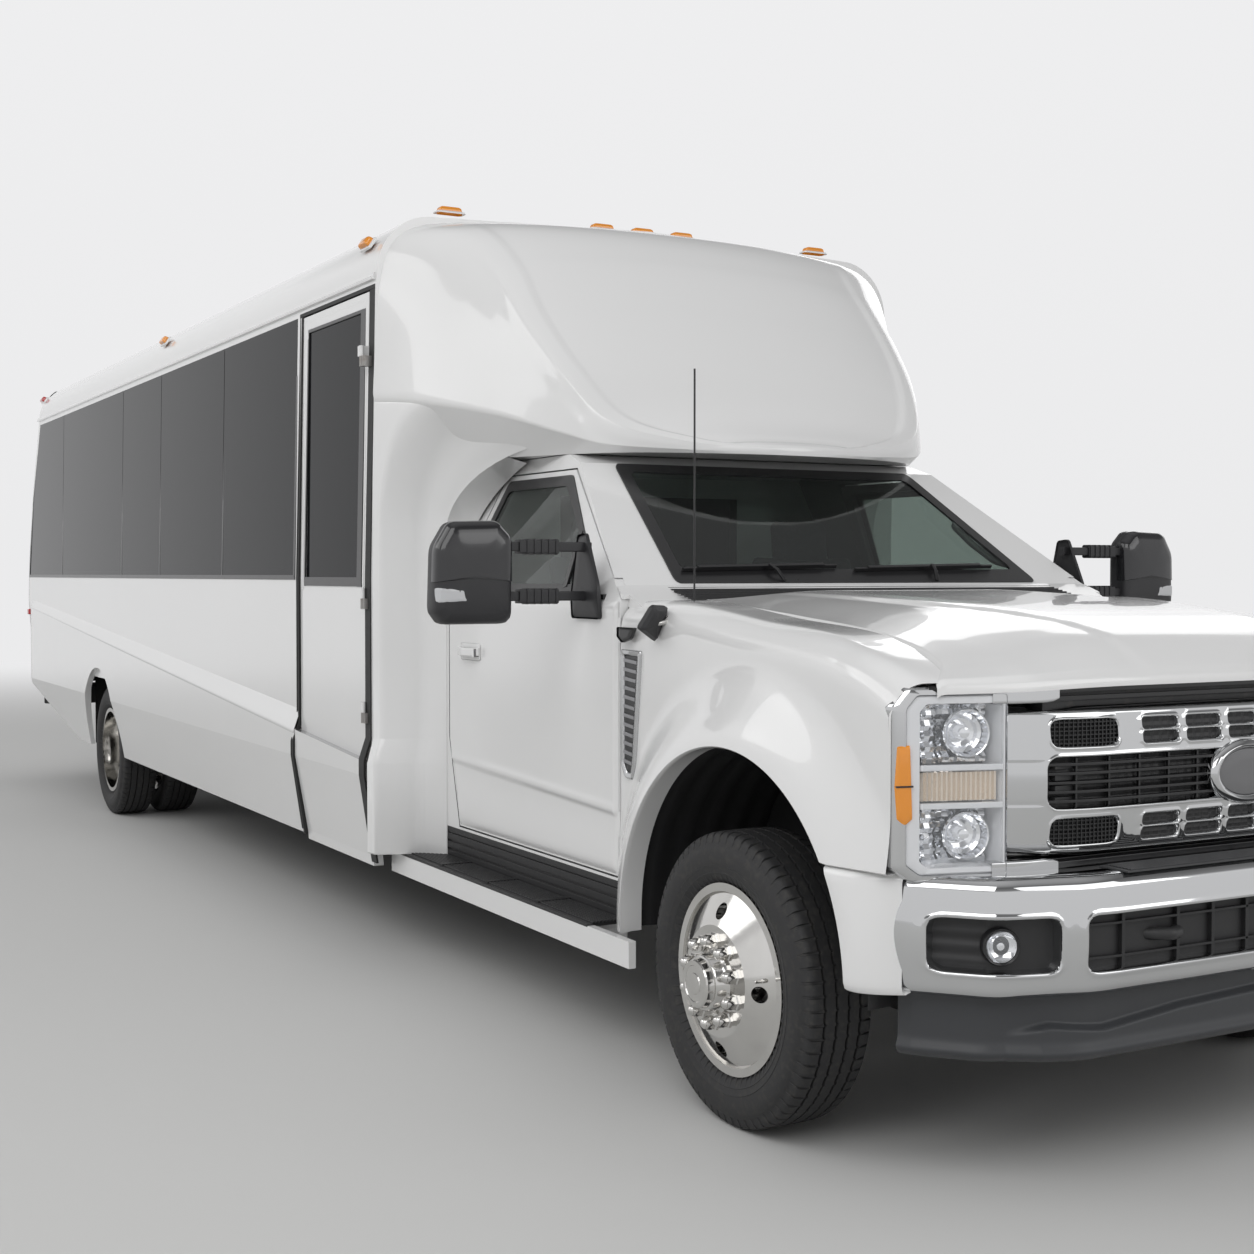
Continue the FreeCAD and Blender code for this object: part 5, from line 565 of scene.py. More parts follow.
PANE_JOINTS = (8.33, 6.51, 5.58, 4.33)
REAR_KNEE = 2.07
TRIM_WIDTH, TRIM_THICK, LOW_TRIM_RISE, HIGH_TRIM_RISE = 0.022, 0.007, 0.020, 0.026
JOINT_WIDTH, JOINT_THICK = 0.016, 0.003
band_foot, band_head = glass_low[2], glass_high[2]
trims = []
for height, rise in ((band_foot, LOW_TRIM_RISE), (band_head, HIGH_TRIM_RISE)):
    line = [(x, wall_half(height), height) for x in (rear_of(glass_points, height), glass_high[0])]
    trims.append(swept(line, bar(TRIM_THICK, rise)))
for behind in PANE_JOINTS:
    line = [(AXLE - behind, wall_half(z), z) for z in (band_foot, band_head)]
    trims.append(swept(line, bar(JOINT_WIDTH, JOINT_THICK), up=(0, 1, 0)))
front_edge = [(glass_high[0], wall_half(z), z) for z in (band_foot - 0.01, band_head + HIGH_TRIM_RISE / 2)]
rear_edge = [(rear_of(glass_points, z), wall_half(z), z) for z in (band_foot, REAR_KNEE, band_head)]
trims += [swept(line, bar(TRIM_WIDTH, TRIM_THICK), up=(0, 1, 0)) for line in (front_edge, rear_edge)]
mesh_piece("band_trims", both(trims), trim_black, "chassis")

RAIL_FRONT, RAIL_REAR = BODY_FRONT - 0.02, AXLE - 9.28
rail = [(x, wall_half(CANTRAIL) + 0.004, CANTRAIL + 0.004) for x in np.linspace(RAIL_REAR, RAIL_FRONT, 20)]
lip = [(0.0, -0.014), (0.012, -0.014), (0.014, -0.006), (0.008, 0.0), (0.006, 0.012), (-0.004, 0.014)]
mesh_piece("drip_rail", both([swept(rail, [(-x, y) for x, y in lip])]), white_paint, "chassis")

# Belt ledges: pressed white strips that slope out from the wall to the proud lower panels. They fall
# towards the front in a straight line and are widest there.
PANEL_REAR = -5.020
LEDGE_LOW = (1.275, 0.793)
LEDGE_RISE = (0.043, 0.086)
LEDGE_SECTION = [(-0.004, 1.10), (0.0005, 1.02), (0.0030, 0.94), (0.0268, 0.10), (0.0298, 0.0),
                 (0.0306, -0.10), (0.0300, -0.22), (0.0280, -0.26)]
ENTRY_GAP = 0.882


def ledge(front, side):
    """A grid from the rear to the front: foot and rise go by straight lines, and the section says how
    proud the ledge is at each share of the rise."""
    x = np.linspace(PANEL_REAR, front, 40)[:, None]
    low = np.interp(x, (PANEL_REAR, BODY_FRONT), LEDGE_LOW)
    rise = np.interp(x, (PANEL_REAR, BODY_FRONT), LEDGE_RISE)
    out, share = np.array(LEDGE_SECTION).T
    y = side * (BODY_HALF + out) + 0 * x
    return np.stack([x + 0 * out, y, low + rise * share], -1), False, False


mesh_piece("belt_ledges", [ledge(BODY_FRONT - ENTRY_GAP, -1), ledge(BODY_FRONT, 1)], white_paint, "chassis",
           crease=50)


# Entry door: its glass has a black band along the foot and the front edge; rubber seals run round the
# doorway, and a wide rubber strip closes the gap to the corner post.
# Columns: height, half width of the skin.
DOOR_SKIN = [(0.38, 1.199), (0.74, 1.254), (0.80, 1.254), (0.884, 1.226), (1.5, 1.225), (2.65, 1.198)]


def skin_half(height):
    """Half width of the door's skin: wall above the ledge, then proud, then drawn in to the sill."""
    return np.interp(height, *np.array(DOOR_SKIN).T)


def upright(behind, low, high, section, proud=0.0, side=-1):
    """A strip that follows the door's skin from one height to another."""
    z = np.unique(np.concatenate([[low, high], np.clip([0.74, 0.80, 0.884, 1.5], low, high)]))
    path = np.stack([np.full_like(z, AXLE - behind), side * (skin_half(z) + proud), z], 1)
    return swept(path, section, up=(0, side, 0))


door_glass_low, door_glass_high = corners_of("entry_glass")
glass_rear, glass_front = AXLE - door_glass_low[0], AXLE - door_glass_high[0]
glass_foot, glass_head = door_glass_low[2], door_glass_high[2]
strips = [upright(glass_front, glass_foot - 0.035, glass_head + 0.012, bar(0.052, 0.008), 0.001),
          upright(glass_rear, glass_foot - 0.035, glass_head + 0.012, bar(0.014, 0.006), 0.001)]
for height, rise in ((glass_foot - 0.016, 0.036), (glass_head + 0.006, 0.014)):
    line = [(AXLE - behind, -skin_half(height) - 0.001, height) for behind in (glass_rear, glass_front)]
    strips.append(swept(line, bar(0.008, rise)))
mesh_piece("entry_glass_trim", strips, trim_black, "entry_door")
FRAME_TOP, FRAME_ENDS = 2.575, (3.090, 2.352)
frame_bars = [upright(behind, glass_foot - 0.05, FRAME_TOP, bar(0.010, 0.007), 0.001)
              for behind in FRAME_ENDS]
line = [(AXLE - behind, -skin_half(FRAME_TOP) - 0.001, FRAME_TOP) for behind in FRAME_ENDS]
frame_bars.append(swept(line, bar(0.007, 0.010)))
mesh_piece("entry_frame", frame_bars, white_paint, "entry_door")
DOOR_TOP, DOOR_FOOT = 2.608, 0.40
seals = [upright(3.131, DOOR_FOOT, DOOR_TOP, bar(0.014, 0.016), 0.001),
         upright(3.163, DOOR_FOOT + 0.02, DOOR_TOP, bar(0.010, 0.008), 0.001),
         upright(2.296, DOOR_FOOT, DOOR_TOP, bar(0.056, 0.008), 0.001)]
line = [(AXLE - behind, -skin_half(DOOR_TOP + 0.006) - 0.001, DOOR_TOP + 0.006) for behind in (3.165, 2.27)]
seals.append(swept(line, bar(0.012, 0.016)))
mesh_piece("entry_seals", seals, seal_rubber, "chassis")


# Over-cab nose and corner posts: one glass-fibre moulding bonded to the coach's front, with a raised
# border round its face, a cove below that runs down into the posts, and the posts' proud feet.
NOSE_TIP = 1.186
CAB_ROOF = 1.940
# Columns: behind the axle, underside's inner edge, then half width and height of the lower edge, of
# the side's upper edge and of the face's edge, and the height of the crown.
NOSE = np.array([
    (1.192, 0.110, 0.116, 1.9500, 0.116, 1.9578, 0.112, 1.9657, 1.9727),
    (1.260, 0.420, 0.442, 1.9549, 0.442, 1.9697, 0.436, 1.9905, 2.0300),
    (1.380, 0.660, 0.702, 1.9747, 0.702, 2.0202, 0.690, 2.0796, 2.1500),
    (1.500, 0.740, 0.812, 2.0202, 0.802, 2.1202, 0.780, 2.2400, 2.3202),
    (1.700, 0.840, 0.945, 2.0905, 0.905, 2.2796, 0.838, 2.4697, 2.5597),
    (1.900, 0.930, 1.075, 2.1400, 0.990, 2.4500, 0.845, 2.6905, 2.7736),
    (2.100, 1.000, 1.165, 2.1697, 1.105, 2.6000, 0.895, 2.8459, 2.9150),
    (2.250, 1.030, 1.222, 2.1796, 1.198, 2.6597, 0.960, 2.8805, 2.9290),
])


def smooth_columns(table, at):
    """Each column as a smooth curve through its values, by cubic pieces with the mean slope at each."""
    x, values = table[:, 0], table[:, 1:]
    slope = np.gradient(values, x, axis=0)
    place = np.clip(np.searchsorted(x, at) - 1, 0, len(x) - 2)
    width = (x[place + 1] - x[place])[:, None]
    t = (at[:, None] - x[place][:, None]) / width
    first = (1 + 2 * t) * (1 - t) ** 2 * values[place] + t * (1 - t) ** 2 * width * slope[place]
    return first + t * t * (3 - 2 * t) * values[place + 1] + t * t * (t - 1) * width * slope[place + 1]


def step_up(value, low, high):
    """0 below low, 1 above high and a smooth S between."""
    t = np.clip((value - low) / (high - low), 0, 1)
    return t * t * (3 - 2 * t)


BORDER_WIDTH, BORDER_RISE, BORDER_EDGE = 0.060, 0.007, 0.022
root = np.linspace(math.sqrt(NOSE[0, 0] - NOSE_TIP), math.sqrt(NOSE[-1, 0] - NOSE_TIP), 130)
stations = NOSE_TIP + root ** 2
table = np.column_stack([np.sqrt(NOSE[:, 0] - NOSE_TIP), NOSE[:, 1:]])
inner, low_half, low, side_half, side, top_half, top, crown = smooth_columns(table, root).T
foot = np.full_like(inner, CAB_ROOF + 0.002)
rounded = 0.42 * step_up(stations, 1.75, 2.25)
shoulder_half = (side_half + top_half) / 2 + rounded * (side_half - top_half) / 2
shoulder_top = (side + top) / 2 + rounded * (top - side) / 2
half = [(inner, foot), (0.85 * low_half + 0.15 * inner, 0.85 * low + 0.15 * foot), (low_half, low),
        (0.85 * low_half + 0.15 * side_half, 0.85 * low + 0.15 * side), (side_half, side),
        (shoulder_half, shoulder_top), (top_half, top),
        (0.45 * top_half, 0.35 * top + 0.65 * crown)]
left = np.stack([np.stack(point, -1) for point in half], 1)
right = left[:, ::-1] * (-1, 1)
section = cut_corners(np.concatenate([left, right], 1), 4, closed=False)
grid = np.concatenate([np.broadcast_to(AXLE - stations[:, None, None], (*section.shape[:2], 1)), section], 2)
along_rows, along_columns = np.gradient(grid, axis=0), np.gradient(grid, axis=1)
normal = np.cross(along_rows, along_columns)
normal /= np.maximum(np.linalg.norm(normal, axis=2, keepdims=True), 1e-9)
normal *= np.sign(np.sum(normal * (grid - (AXLE - 2.2, 0, 2.2)), axis=2, keepdims=True))
to_edge = top_half[:, None] - abs(grid[..., 1])
to_lip = (root - root[0])[:, None] * 0.55
from_border = np.minimum(to_edge, to_lip)
on_face = step_up(grid[..., 2] - top[:, None], -0.12, -0.02) * step_up(stations, 2.25, 2.0)[:, None]
raised = (1 - step_up(from_border, BORDER_WIDTH, BORDER_WIDTH + BORDER_EDGE)) * on_face
grid = grid + normal * (BORDER_RISE * (raised - 1) * on_face)[..., None]
tip = np.broadcast_to(grid[0].mean(0), grid[:1].shape)
nose_patches = [(np.concatenate([tip, grid]), False, True)]

POST_PLAN = np.array([(2.250, 1.225), (2.204, 1.217), (2.140, 1.064), (2.060, 1.004)])
POST_FOOT, FOOT_TOP, LEDGE_TOP = 0.446, 0.798, 0.884
FOOT_PROUD = 0.029
COVE_FROM = 1.66
post_plan = np.concatenate([POST_PLAN[:1], soft(POST_PLAN, 0.05, 4, closed=False), POST_PLAN[-1:]])
post_out = np.interp(post_plan[:, 1:], (1.004, 1.06, 1.2), (0, 0.6, 1)) * (-0.25, 1.0)


def post_rows(heights, proud):
    """The plan at each height, moved out by how proud the post is there."""
    rows = post_plan + post_out * np.asarray(proud)[:, None, None]
    z = np.broadcast_to(np.asarray(heights)[:, None, None], (*rows.shape[:2], 1))
    return np.concatenate([AXLE - rows[..., :1], rows[..., 1:], z], 2)


lower_z = [POST_FOOT, POST_FOOT, POST_FOOT + 0.006, FOOT_TOP - 0.006, FOOT_TOP, LEDGE_TOP, LEDGE_TOP + 0.004]
lower_proud = [-0.02, FOOT_PROUD - 0.006, FOOT_PROUD, FOOT_PROUD, FOOT_PROUD - 0.002, 0.002, 0.0]
column_grid = post_rows(lower_z + [1.2, 1.43, COVE_FROM], lower_proud + [0, 0, 0])
EDGE_FROM, EDGE_TO = 2.250, 1.440
edge_at = EDGE_FROM + (EDGE_TO - EDGE_FROM) * np.linspace(0, 1, len(post_plan)) ** 1.15
edge_values = smooth_columns(table, np.sqrt(edge_at - NOSE_TIP))
edge = np.column_stack([AXLE - edge_at, edge_values[:, 1] - 0.012, edge_values[:, 2] - 0.004])
turn = np.linspace(0, np.pi / 2, 18)[:, None, None]
share = np.concatenate([1 - np.cos(turn), 1 - np.cos(turn), np.sin(turn)], 2)
cove = column_grid[-1] + (edge - column_grid[-1]) * share
post_grid = np.concatenate([column_grid, cove[1:]])
tuck = post_grid[:, -1:].copy()
tuck[..., 1] = np.where(tuck[..., 2] < CAB_ROOF, np.minimum(tuck[..., 1], np.interp(
    tuck[..., 2], (1.43, 1.94), (1.0, 0.775))), tuck[..., 1])
post_grid = np.concatenate([post_grid, tuck], 1)
nose_patches += both([(post_grid, False, False)])
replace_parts(mesh_piece("nose_moulding", nose_patches, white_paint, "chassis", crease=40),
            "front_cap")

# Hood: one pressed panel with a raised middle and rolled edges, hinged at its rear corners. Its front
# edge runs level over the grille and out over the headlamps.
# Columns: along the panel, half width, height of the side edge, height of the crown.
HOOD = np.array([
    (0.00, 0.795, 1.4350, 1.4620), (0.36, 0.797, 1.3960, 1.4370), (0.72, 0.806, 1.3440, 1.4020),
    (0.83, 0.830, 1.3160, 1.3800), (0.91, 0.872, 1.2900, 1.3480), (0.97, 0.925, 1.2700, 1.2980),
    (1.00, 0.945, 1.2590, 1.2680),
])
HOOD_REAR, HOOD_FRONT, HOOD_SHEET = -0.540, 0.832, 0.020
HOOD_GAP = 0.007
LAMP_SLOPE, LAMP_TURN = 0.298, 0.690
DOME_HALF_REAR, DOME_HALF_FRONT, DOME_RISE = 0.52, 0.34, 0.008


def front_line(y):
    """How far ahead the front edge lies: level over the grille, then back along the headlamp's face."""
    past = np.maximum(abs(y) - LAMP_TURN, 0)
    return HOOD_FRONT - LAMP_SLOPE * (np.sqrt(past ** 2 + 0.03 ** 2) - 0.03)


along = np.unique(np.concatenate([np.linspace(0, 0.9, 70), np.linspace(0.9, 1, 24)]))
hood_half, edge_height, crown_height = smooth_columns(HOOD, along).T
over = np.unique(np.concatenate([np.linspace(-1, 1, 91), [-0.99, -0.975, 0.975, 0.99]]))
y = hood_half[:, None] * over
bow = 1 - step_up(abs(over), 0.40, 1.06)
z = edge_height[:, None] + (crown_height - edge_height)[:, None] * bow
dome_half = np.interp(along, (0, 1), (DOME_HALF_REAR, DOME_HALF_FRONT))[:, None]
z += DOME_RISE * (1 - step_up(abs(y), dome_half - 0.028, dome_half)) * np.sin(np.pi * along)[:, None] ** 0.5
z -= 0.012 * (step_up(abs(over), 0.982, 1.01) + step_up(along, 0.985, 1.005)[:, None])
x = AXLE + HOOD_REAR + along[:, None] * (front_line(y) - HOOD_REAR)
upper = np.stack([x, y, z], -1)
lower = upper - (0, 0, HOOD_SHEET)
shell = np.concatenate([upper, lower[:, ::-1]], 1)
shell = np.concatenate([np.concatenate([lower[:1], lower[:1, ::-1]], 1), shell,
                        np.concatenate([lower[-1:], lower[-1:, ::-1]], 1)])
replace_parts(mesh_piece("hood_panel", [(shell, False, True)], white_paint, "hood", crease=50),
            "hood")

# Front wings: a steel panel with a rounded shoulder and a broad rolled flare, screwed to a black
# moulded wheel housing that wraps over the tyre. Ahead of the wheel it stops on the bumper's end.
# Columns: ahead of the axle, half width of the side, height of the shoulder.
WING = np.array([(-0.688, 1.000, 1.430), (-0.540, 1.000, 1.4350), (0.000, 1.012, 1.3900),
                 (0.460, 1.036, 1.3440), (0.600, 1.045, 1.3100), (0.700, 1.047, 1.2560)])
ARCH_AHEAD, ARCH_HEIGHT, ARCH_RADIUS = 0.050, 0.490, 0.560
FLARE_OUT, FLARE_REACH = 1.105, 0.235
WING_FOOT, BUMPER_TOP = 0.446, 0.806
SHOULDER_RADIUS = 0.085
swing = np.linspace(0, np.pi, 74)
ahead = np.unique(np.round(np.concatenate([
    np.linspace(WING[0, 0], ARCH_AHEAD - ARCH_RADIUS, 14), ARCH_AHEAD - ARCH_RADIUS * np.cos(swing),
    np.linspace(ARCH_AHEAD + ARCH_RADIUS, WING[-1, 0], 8)]), 5))
side_half, shoulder = smooth_columns(WING, ahead).T
over_arch = np.clip(ARCH_RADIUS ** 2 - (ahead - ARCH_AHEAD) ** 2, 0, None)
foot = np.where(over_arch > 1e-6, ARCH_HEIGHT + np.sqrt(over_arch), WING_FOOT)
foot[ahead > ARCH_AHEAD] = np.maximum(foot[ahead > ARCH_AHEAD], BUMPER_TOP)
spread = np.interp(ahead, HOOD_REAR + HOOD[:, 0] * (0.765 - HOOD_REAR), HOOD[:, 1])
inner_edge = spread + HOOD_GAP
inner_edge[ahead < HOOD_REAR] = 0.90
bend = np.linspace(0, np.pi / 2, 12)
top_line = np.linspace(0, 1, 5)[:-1]
round_line = side_half - SHOULDER_RADIUS
wing_y = np.concatenate([inner_edge[:, None] + (round_line - inner_edge)[:, None] * top_line,
                         round_line[:, None] + SHOULDER_RADIUS * np.sin(bend)], 1)
wing_z = np.concatenate([np.broadcast_to(shoulder[:, None], (len(ahead), 4)),
                         shoulder[:, None] - SHOULDER_RADIUS * (1 - np.cos(bend))], 1)
down = np.linspace(0, 1, 34)[1:]
side_top = shoulder - SHOULDER_RADIUS
wing_y = np.concatenate([wing_y, np.broadcast_to(side_half[:, None], (len(ahead), 33))], 1)
wing_z = np.concatenate([wing_z, side_top[:, None] + (foot - side_top)[:, None] * down], 1)
from_arch = np.hypot(ahead[:, None] - ARCH_AHEAD, np.maximum(wing_z - ARCH_HEIGHT, 0)) - ARCH_RADIUS
flare = 1 - step_up(from_arch, -0.02, FLARE_REACH)
weight = np.concatenate([np.zeros((len(ahead), 4)), np.broadcast_to(np.sin(bend), (len(ahead), 12)),
                         np.ones((len(ahead), 33))], 1)
wing_y = wing_y + (FLARE_OUT - side_half)[:, None] * flare * weight
lamp_reach = front_line(wing_y) - WING[-1, 0] - 0.014
wing_x = ahead[:, None] + step_up(ahead, 0.56, WING[-1, 0])[:, None] * np.clip(lamp_reach, 0.0, 0.06)
lips = [np.stack([wing_x[:, -1], wing_y[:, -1] - back, foot - drop], -1)
        for back, drop in ((0.006, 0.004), (0.016, 0.004), (0.040, 0.0), (0.075, 0.0))]
grid = np.concatenate([np.stack([wing_x, wing_y, wing_z], -1), np.stack(lips, 1)], 1) + (AXLE, 0, 0)
grid = np.concatenate([grid[:, :1] - (0, 0, 0.018), grid], 1)
front_return = np.stack([grid[-1], grid[-1] - (0.004, 0.004, 0.002), grid[-1] - (0.03, 0.006, 0.004)])
rear_turn = np.stack([grid[0], grid[0] - (0, 0.03, 0)])
wing_patches = both([(grid, False, False), (front_return, False, False), (rear_turn, False, False)])
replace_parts(mesh_piece("wing_panels", wing_patches, white_paint, "chassis", crease=42),
            "front_wings")
seam_along = np.linspace(0.0, 0.995, 60)
seam_half = smooth_columns(HOOD, seam_along)
seam_x = AXLE + HOOD_REAR + seam_along * (front_line(seam_half[:, 0]) - HOOD_REAR)
seam = np.stack([seam_x, -(seam_half[:, 0] + 0.004), seam_half[:, 1] - 0.022], 1)
mesh_piece("hood_seals", both([swept(seam, bar(0.030, 0.010))]), seal_rubber, "chassis")
LINER_INNER, LINER_OUTER = 0.610, 1.035
swing = np.linspace(-0.06, np.pi + 0.06, 60)
across = np.linspace(LINER_INNER, LINER_OUTER, 22)
ripple = 0.004 * np.cos(across * 2 * np.pi / 0.085)
radius = ARCH_RADIUS + 0.008 + ripple
liner = np.stack([AXLE + ARCH_AHEAD - radius[None] * np.cos(swing)[:, None],
                  np.broadcast_to(across, (60, 22)), ARCH_HEIGHT + radius[None] * np.sin(swing)[:, None]], -1)
hub = np.array([AXLE + ARCH_AHEAD, LINER_INNER, ARCH_HEIGHT])
inner_wall = np.concatenate([liner[:, :1], hub + (liner[:, :1] - hub) * 0.62], 1)
housing = both([(liner, False, False), (inner_wall, False, False)])
mesh_piece("wheel_housings", housing, moulded_black, "chassis")

# Wing vent: a chrome-plated surround clipped in behind each front wheel, with plain ribs on black inside
# and a short black grip above it.
def rim(outer, inner, rows, place):
    """A ring between two outlines: each row's share of the way to the inner one, and its level."""
    outer, inner = np.asarray(outer, float), np.asarray(inner, float)
    return np.stack([place(outer + (inner - outer) * share, level) for share, level in rows]), False, True


def plate(line, place, level, edge=0.004, back=0.03):
    """A closed panel with a rounded edge over an outline."""
    line = np.asarray(line, float)
    middle = line.mean(0)
    reach = np.linalg.norm(line - middle, axis=1).min()
    rows = [(0.0, level), (0.5, level), (1 - edge / reach, level),
            (1 - 0.3 * edge / reach, level - 0.3 * edge), (1.0, level - edge), (1.0, level - back)]
    return np.stack([place(middle + (line - middle) * share, height) for share, height in rows]), False, True


def flank_place(line, level, side=-1):
    """Points (behind the axle, height) laid on the cab's side and lifted off it."""
    line = np.asarray(line, float)
    return np.stack([AXLE - line[..., 0], side * (1.0 + level) + 0 * line[..., 0], line[..., 1]], -1)


def side_plate(outline, half, depth, edge=0.003, side=-1):
    """A closed panel on the vehicle's side, whose back is at the half width."""
    return plate(outline, lambda line, level: flank_place(line, half - 1.0 + level, side), depth, edge, 0.0)


VENT_OUTLINE = soft([(0.553, 1.282), (0.680, 1.284), (0.680, 0.930), (0.652, 0.888), (0.604, 0.886),
                     (0.590, 0.93)], 0.02)
VENT_INNER = soft([(0.575, 1.264), (0.662, 1.266), (0.662, 0.938), (0.642, 0.908), (0.618, 0.906),
                   (0.609, 0.94)], 0.012)
VENT_ROWS = [(0.0, -0.004), (0.0, 0.004), (0.18, 0.0085), (0.75, 0.0085), (1.0, 0.004), (1.0, -0.002)]
satin_chrome = grained(finish("satin_chrome", (0.55, 0.555, 0.56), 0.16, metallic=1.0), 0.02, 0.00005, 0.05)
mesh_piece("vent_frames", both([rim(VENT_OUTLINE, VENT_INNER, VENT_ROWS, flank_place)]), satin_chrome,
           "chassis", crease=45)
ribs = []
for height in np.linspace(0.935, 1.245, 12):
    near = np.interp(height, (0.93, 1.26), (0.612, 0.578))
    rib = [(AXLE - near, -1.003, height), (AXLE - 0.660, -1.003, height + 0.006)]
    ribs.append(swept(rib, bar(0.008, 0.011)))
vent_grey = finish("vent_grey", (0.34, 0.34, 0.35), 0.3, metallic=0.8)
mesh_piece("vent_ribs", both(ribs), vent_grey, "chassis")
grip = soft([(0.560, 1.352), (0.672, 1.352), (0.672, 1.322), (0.640, 1.304), (0.585, 1.318)], 0.014)
grips = [side_plate(grip, 0.999, 0.026, 0.010), side_plate(VENT_INNER, 0.999, 0.0025, 0.001)]
mesh_piece("vent_grips", both(grips), trim_black, "chassis")

# Windscreen: a black border printed and bonded round the glass, two wipers of pressed steel and rubber at
# rest on its foot, and the black slats of the cowl that clips in below.
SCREEN_BASE, SCREEN_TOP = np.array((-0.760, 1.480)), np.array((-1.390, 1.905))
SCREEN_SLOPE = (SCREEN_TOP[0] - SCREEN_BASE[0]) / (SCREEN_TOP[1] - SCREEN_BASE[1])
SCREEN_NORMAL = np.array((1.0, 0.0, -SCREEN_SLOPE)) / math.hypot(1.0, SCREEN_SLOPE)


def on_screen(line, lift):
    """Points (half width, height) laid on the windscreen's plane and lifted off it."""
    line = np.asarray(line, float)
    x = AXLE + SCREEN_BASE[0] + (line[:, 1] - SCREEN_BASE[1]) * SCREEN_SLOPE
    return np.stack([x, line[:, 0], line[:, 1]], 1) + lift * SCREEN_NORMAL


outer_line = soft([(-0.757, 1.484), (0.757, 1.484), (0.648, 1.902), (-0.648, 1.902)], 0.05)
inner_screen = soft([(-0.702, 1.528), (0.702, 1.528), (0.608, 1.872), (-0.608, 1.872)], 0.05)
band = np.stack([on_screen(outer_line, -0.004), on_screen(outer_line, 0.0045),
                 on_screen(inner_screen, 0.0045), on_screen(inner_screen, -0.002)])
mesh_piece("screen_border", [(band, False, True)], trim_black, "chassis")
# Each wiper: the blade's right end, its left end and the arm's pivot, as half width and height.
WIPERS = [((-0.705, 1.520), (-0.085, 1.532), (-0.34, 1.486)),
          ((-0.02, 1.520), (0.60, 1.532), (0.30, 1.486))]
wiper_patches = []
for start, end, pivot in WIPERS:
    blade = np.linspace(start, end, 12)
    wiper_patches.append(swept(on_screen(blade, 0.012), bar(0.008, 0.013), up=SCREEN_NORMAL))
    wiper_patches.append(swept(on_screen(blade[1:-1], 0.021), bar(0.013, 0.005), up=SCREEN_NORMAL))
    arm = np.array([pivot, np.array(pivot) * 0.45 + np.array(blade[6]) * 0.55, blade[6]])
    arm_line = on_screen(arm, 0.026)
    arm_line[0] = on_screen([pivot], 0.008)[0]
    wiper_patches.append(swept(arm_line, bar(0.013, 0.007), up=SCREEN_NORMAL))
mesh_piece("wipers", wiper_patches, trim_black, "chassis")
COWL_HALF = 0.80
slats = [swept([(AXLE - behind, -COWL_HALF, z), (AXLE - behind, COWL_HALF, z)], bar(0.010, 0.006))
         for behind, z in zip(np.linspace(0.575, 0.745, 9), np.linspace(1.430, 1.470, 9))]
mesh_piece("cowl_slats", slats, moulded_black, "chassis")


# Cab doors: pressed skins with a crease that falls towards the front and a hollow below it, a rubber trim
# and a black bar round each window, and a pull handle in a shallow cup.
def greenhouse(height):
    """Half width of the cab's side above the belt: it leans in to the roof by a straight line."""
    return 1.0 - 0.24 * np.clip((height - 1.43) / 0.51, 0, 1)


def on_door(line, lift, side):
    """Points (behind the axle, height) laid on the leaning upper half of the door and lifted off it."""
    line = np.asarray(line, float)
    return np.stack([AXLE - line[:, 0], side * (greenhouse(line[:, 1]) + lift), line[:, 1]], 1)


DOOR_FRONT, DOOR_LOW, DOOR_HIGH = 0.701, 0.582, 1.430
DOOR_REAR = [(0.575, 1.935), (0.900, 2.030), (1.440, 2.030)]
CREASE_FRONT, CREASE_REAR, CREASE_DROP = 0.782, 0.830, 0.028
SKIN_BASE, SKIN_RISE, SKIN_EDGE = 0.0012, 0.0095, 0.022


def door_skin(side):
    """The panel's height over the door is times a smooth edge, and falls to a quarter below the crease."""
    z = np.unique(np.concatenate([np.linspace(DOOR_LOW, DOOR_HIGH, 60), np.linspace(0.74, 0.85, 40)]))
    share = np.concatenate([np.linspace(0, 0.02, 6), np.linspace(0.02, 0.98, 60), np.linspace(0.98, 1, 6)])
    rear = np.interp(z, *np.array(DOOR_REAR).T)[:, None]
    behind = DOOR_FRONT + (rear - DOOR_FRONT) * share
    border = np.minimum(np.minimum(behind - DOOR_FRONT, rear - behind),
                        np.minimum(z - DOOR_LOW, DOOR_HIGH - z)[:, None])
    crease = np.interp(behind, (DOOR_FRONT, 2.03), (CREASE_FRONT, CREASE_REAR))
    below = crease - z[:, None]
    hollow = 0.80 * step_up(below, 0.0, CREASE_DROP) * (1 - 0.85 * step_up(below, 0.05, 0.20))
    ridge = 0.25 * np.exp(-(below / 0.02) ** 2)
    level = SKIN_BASE + SKIN_RISE * step_up(border, 0.0, SKIN_EDGE) * (1 + ridge - hollow)
    line = np.stack([behind, np.broadcast_to(z[:, None], behind.shape)], -1)
    return flank_place(line, level, side), False, False


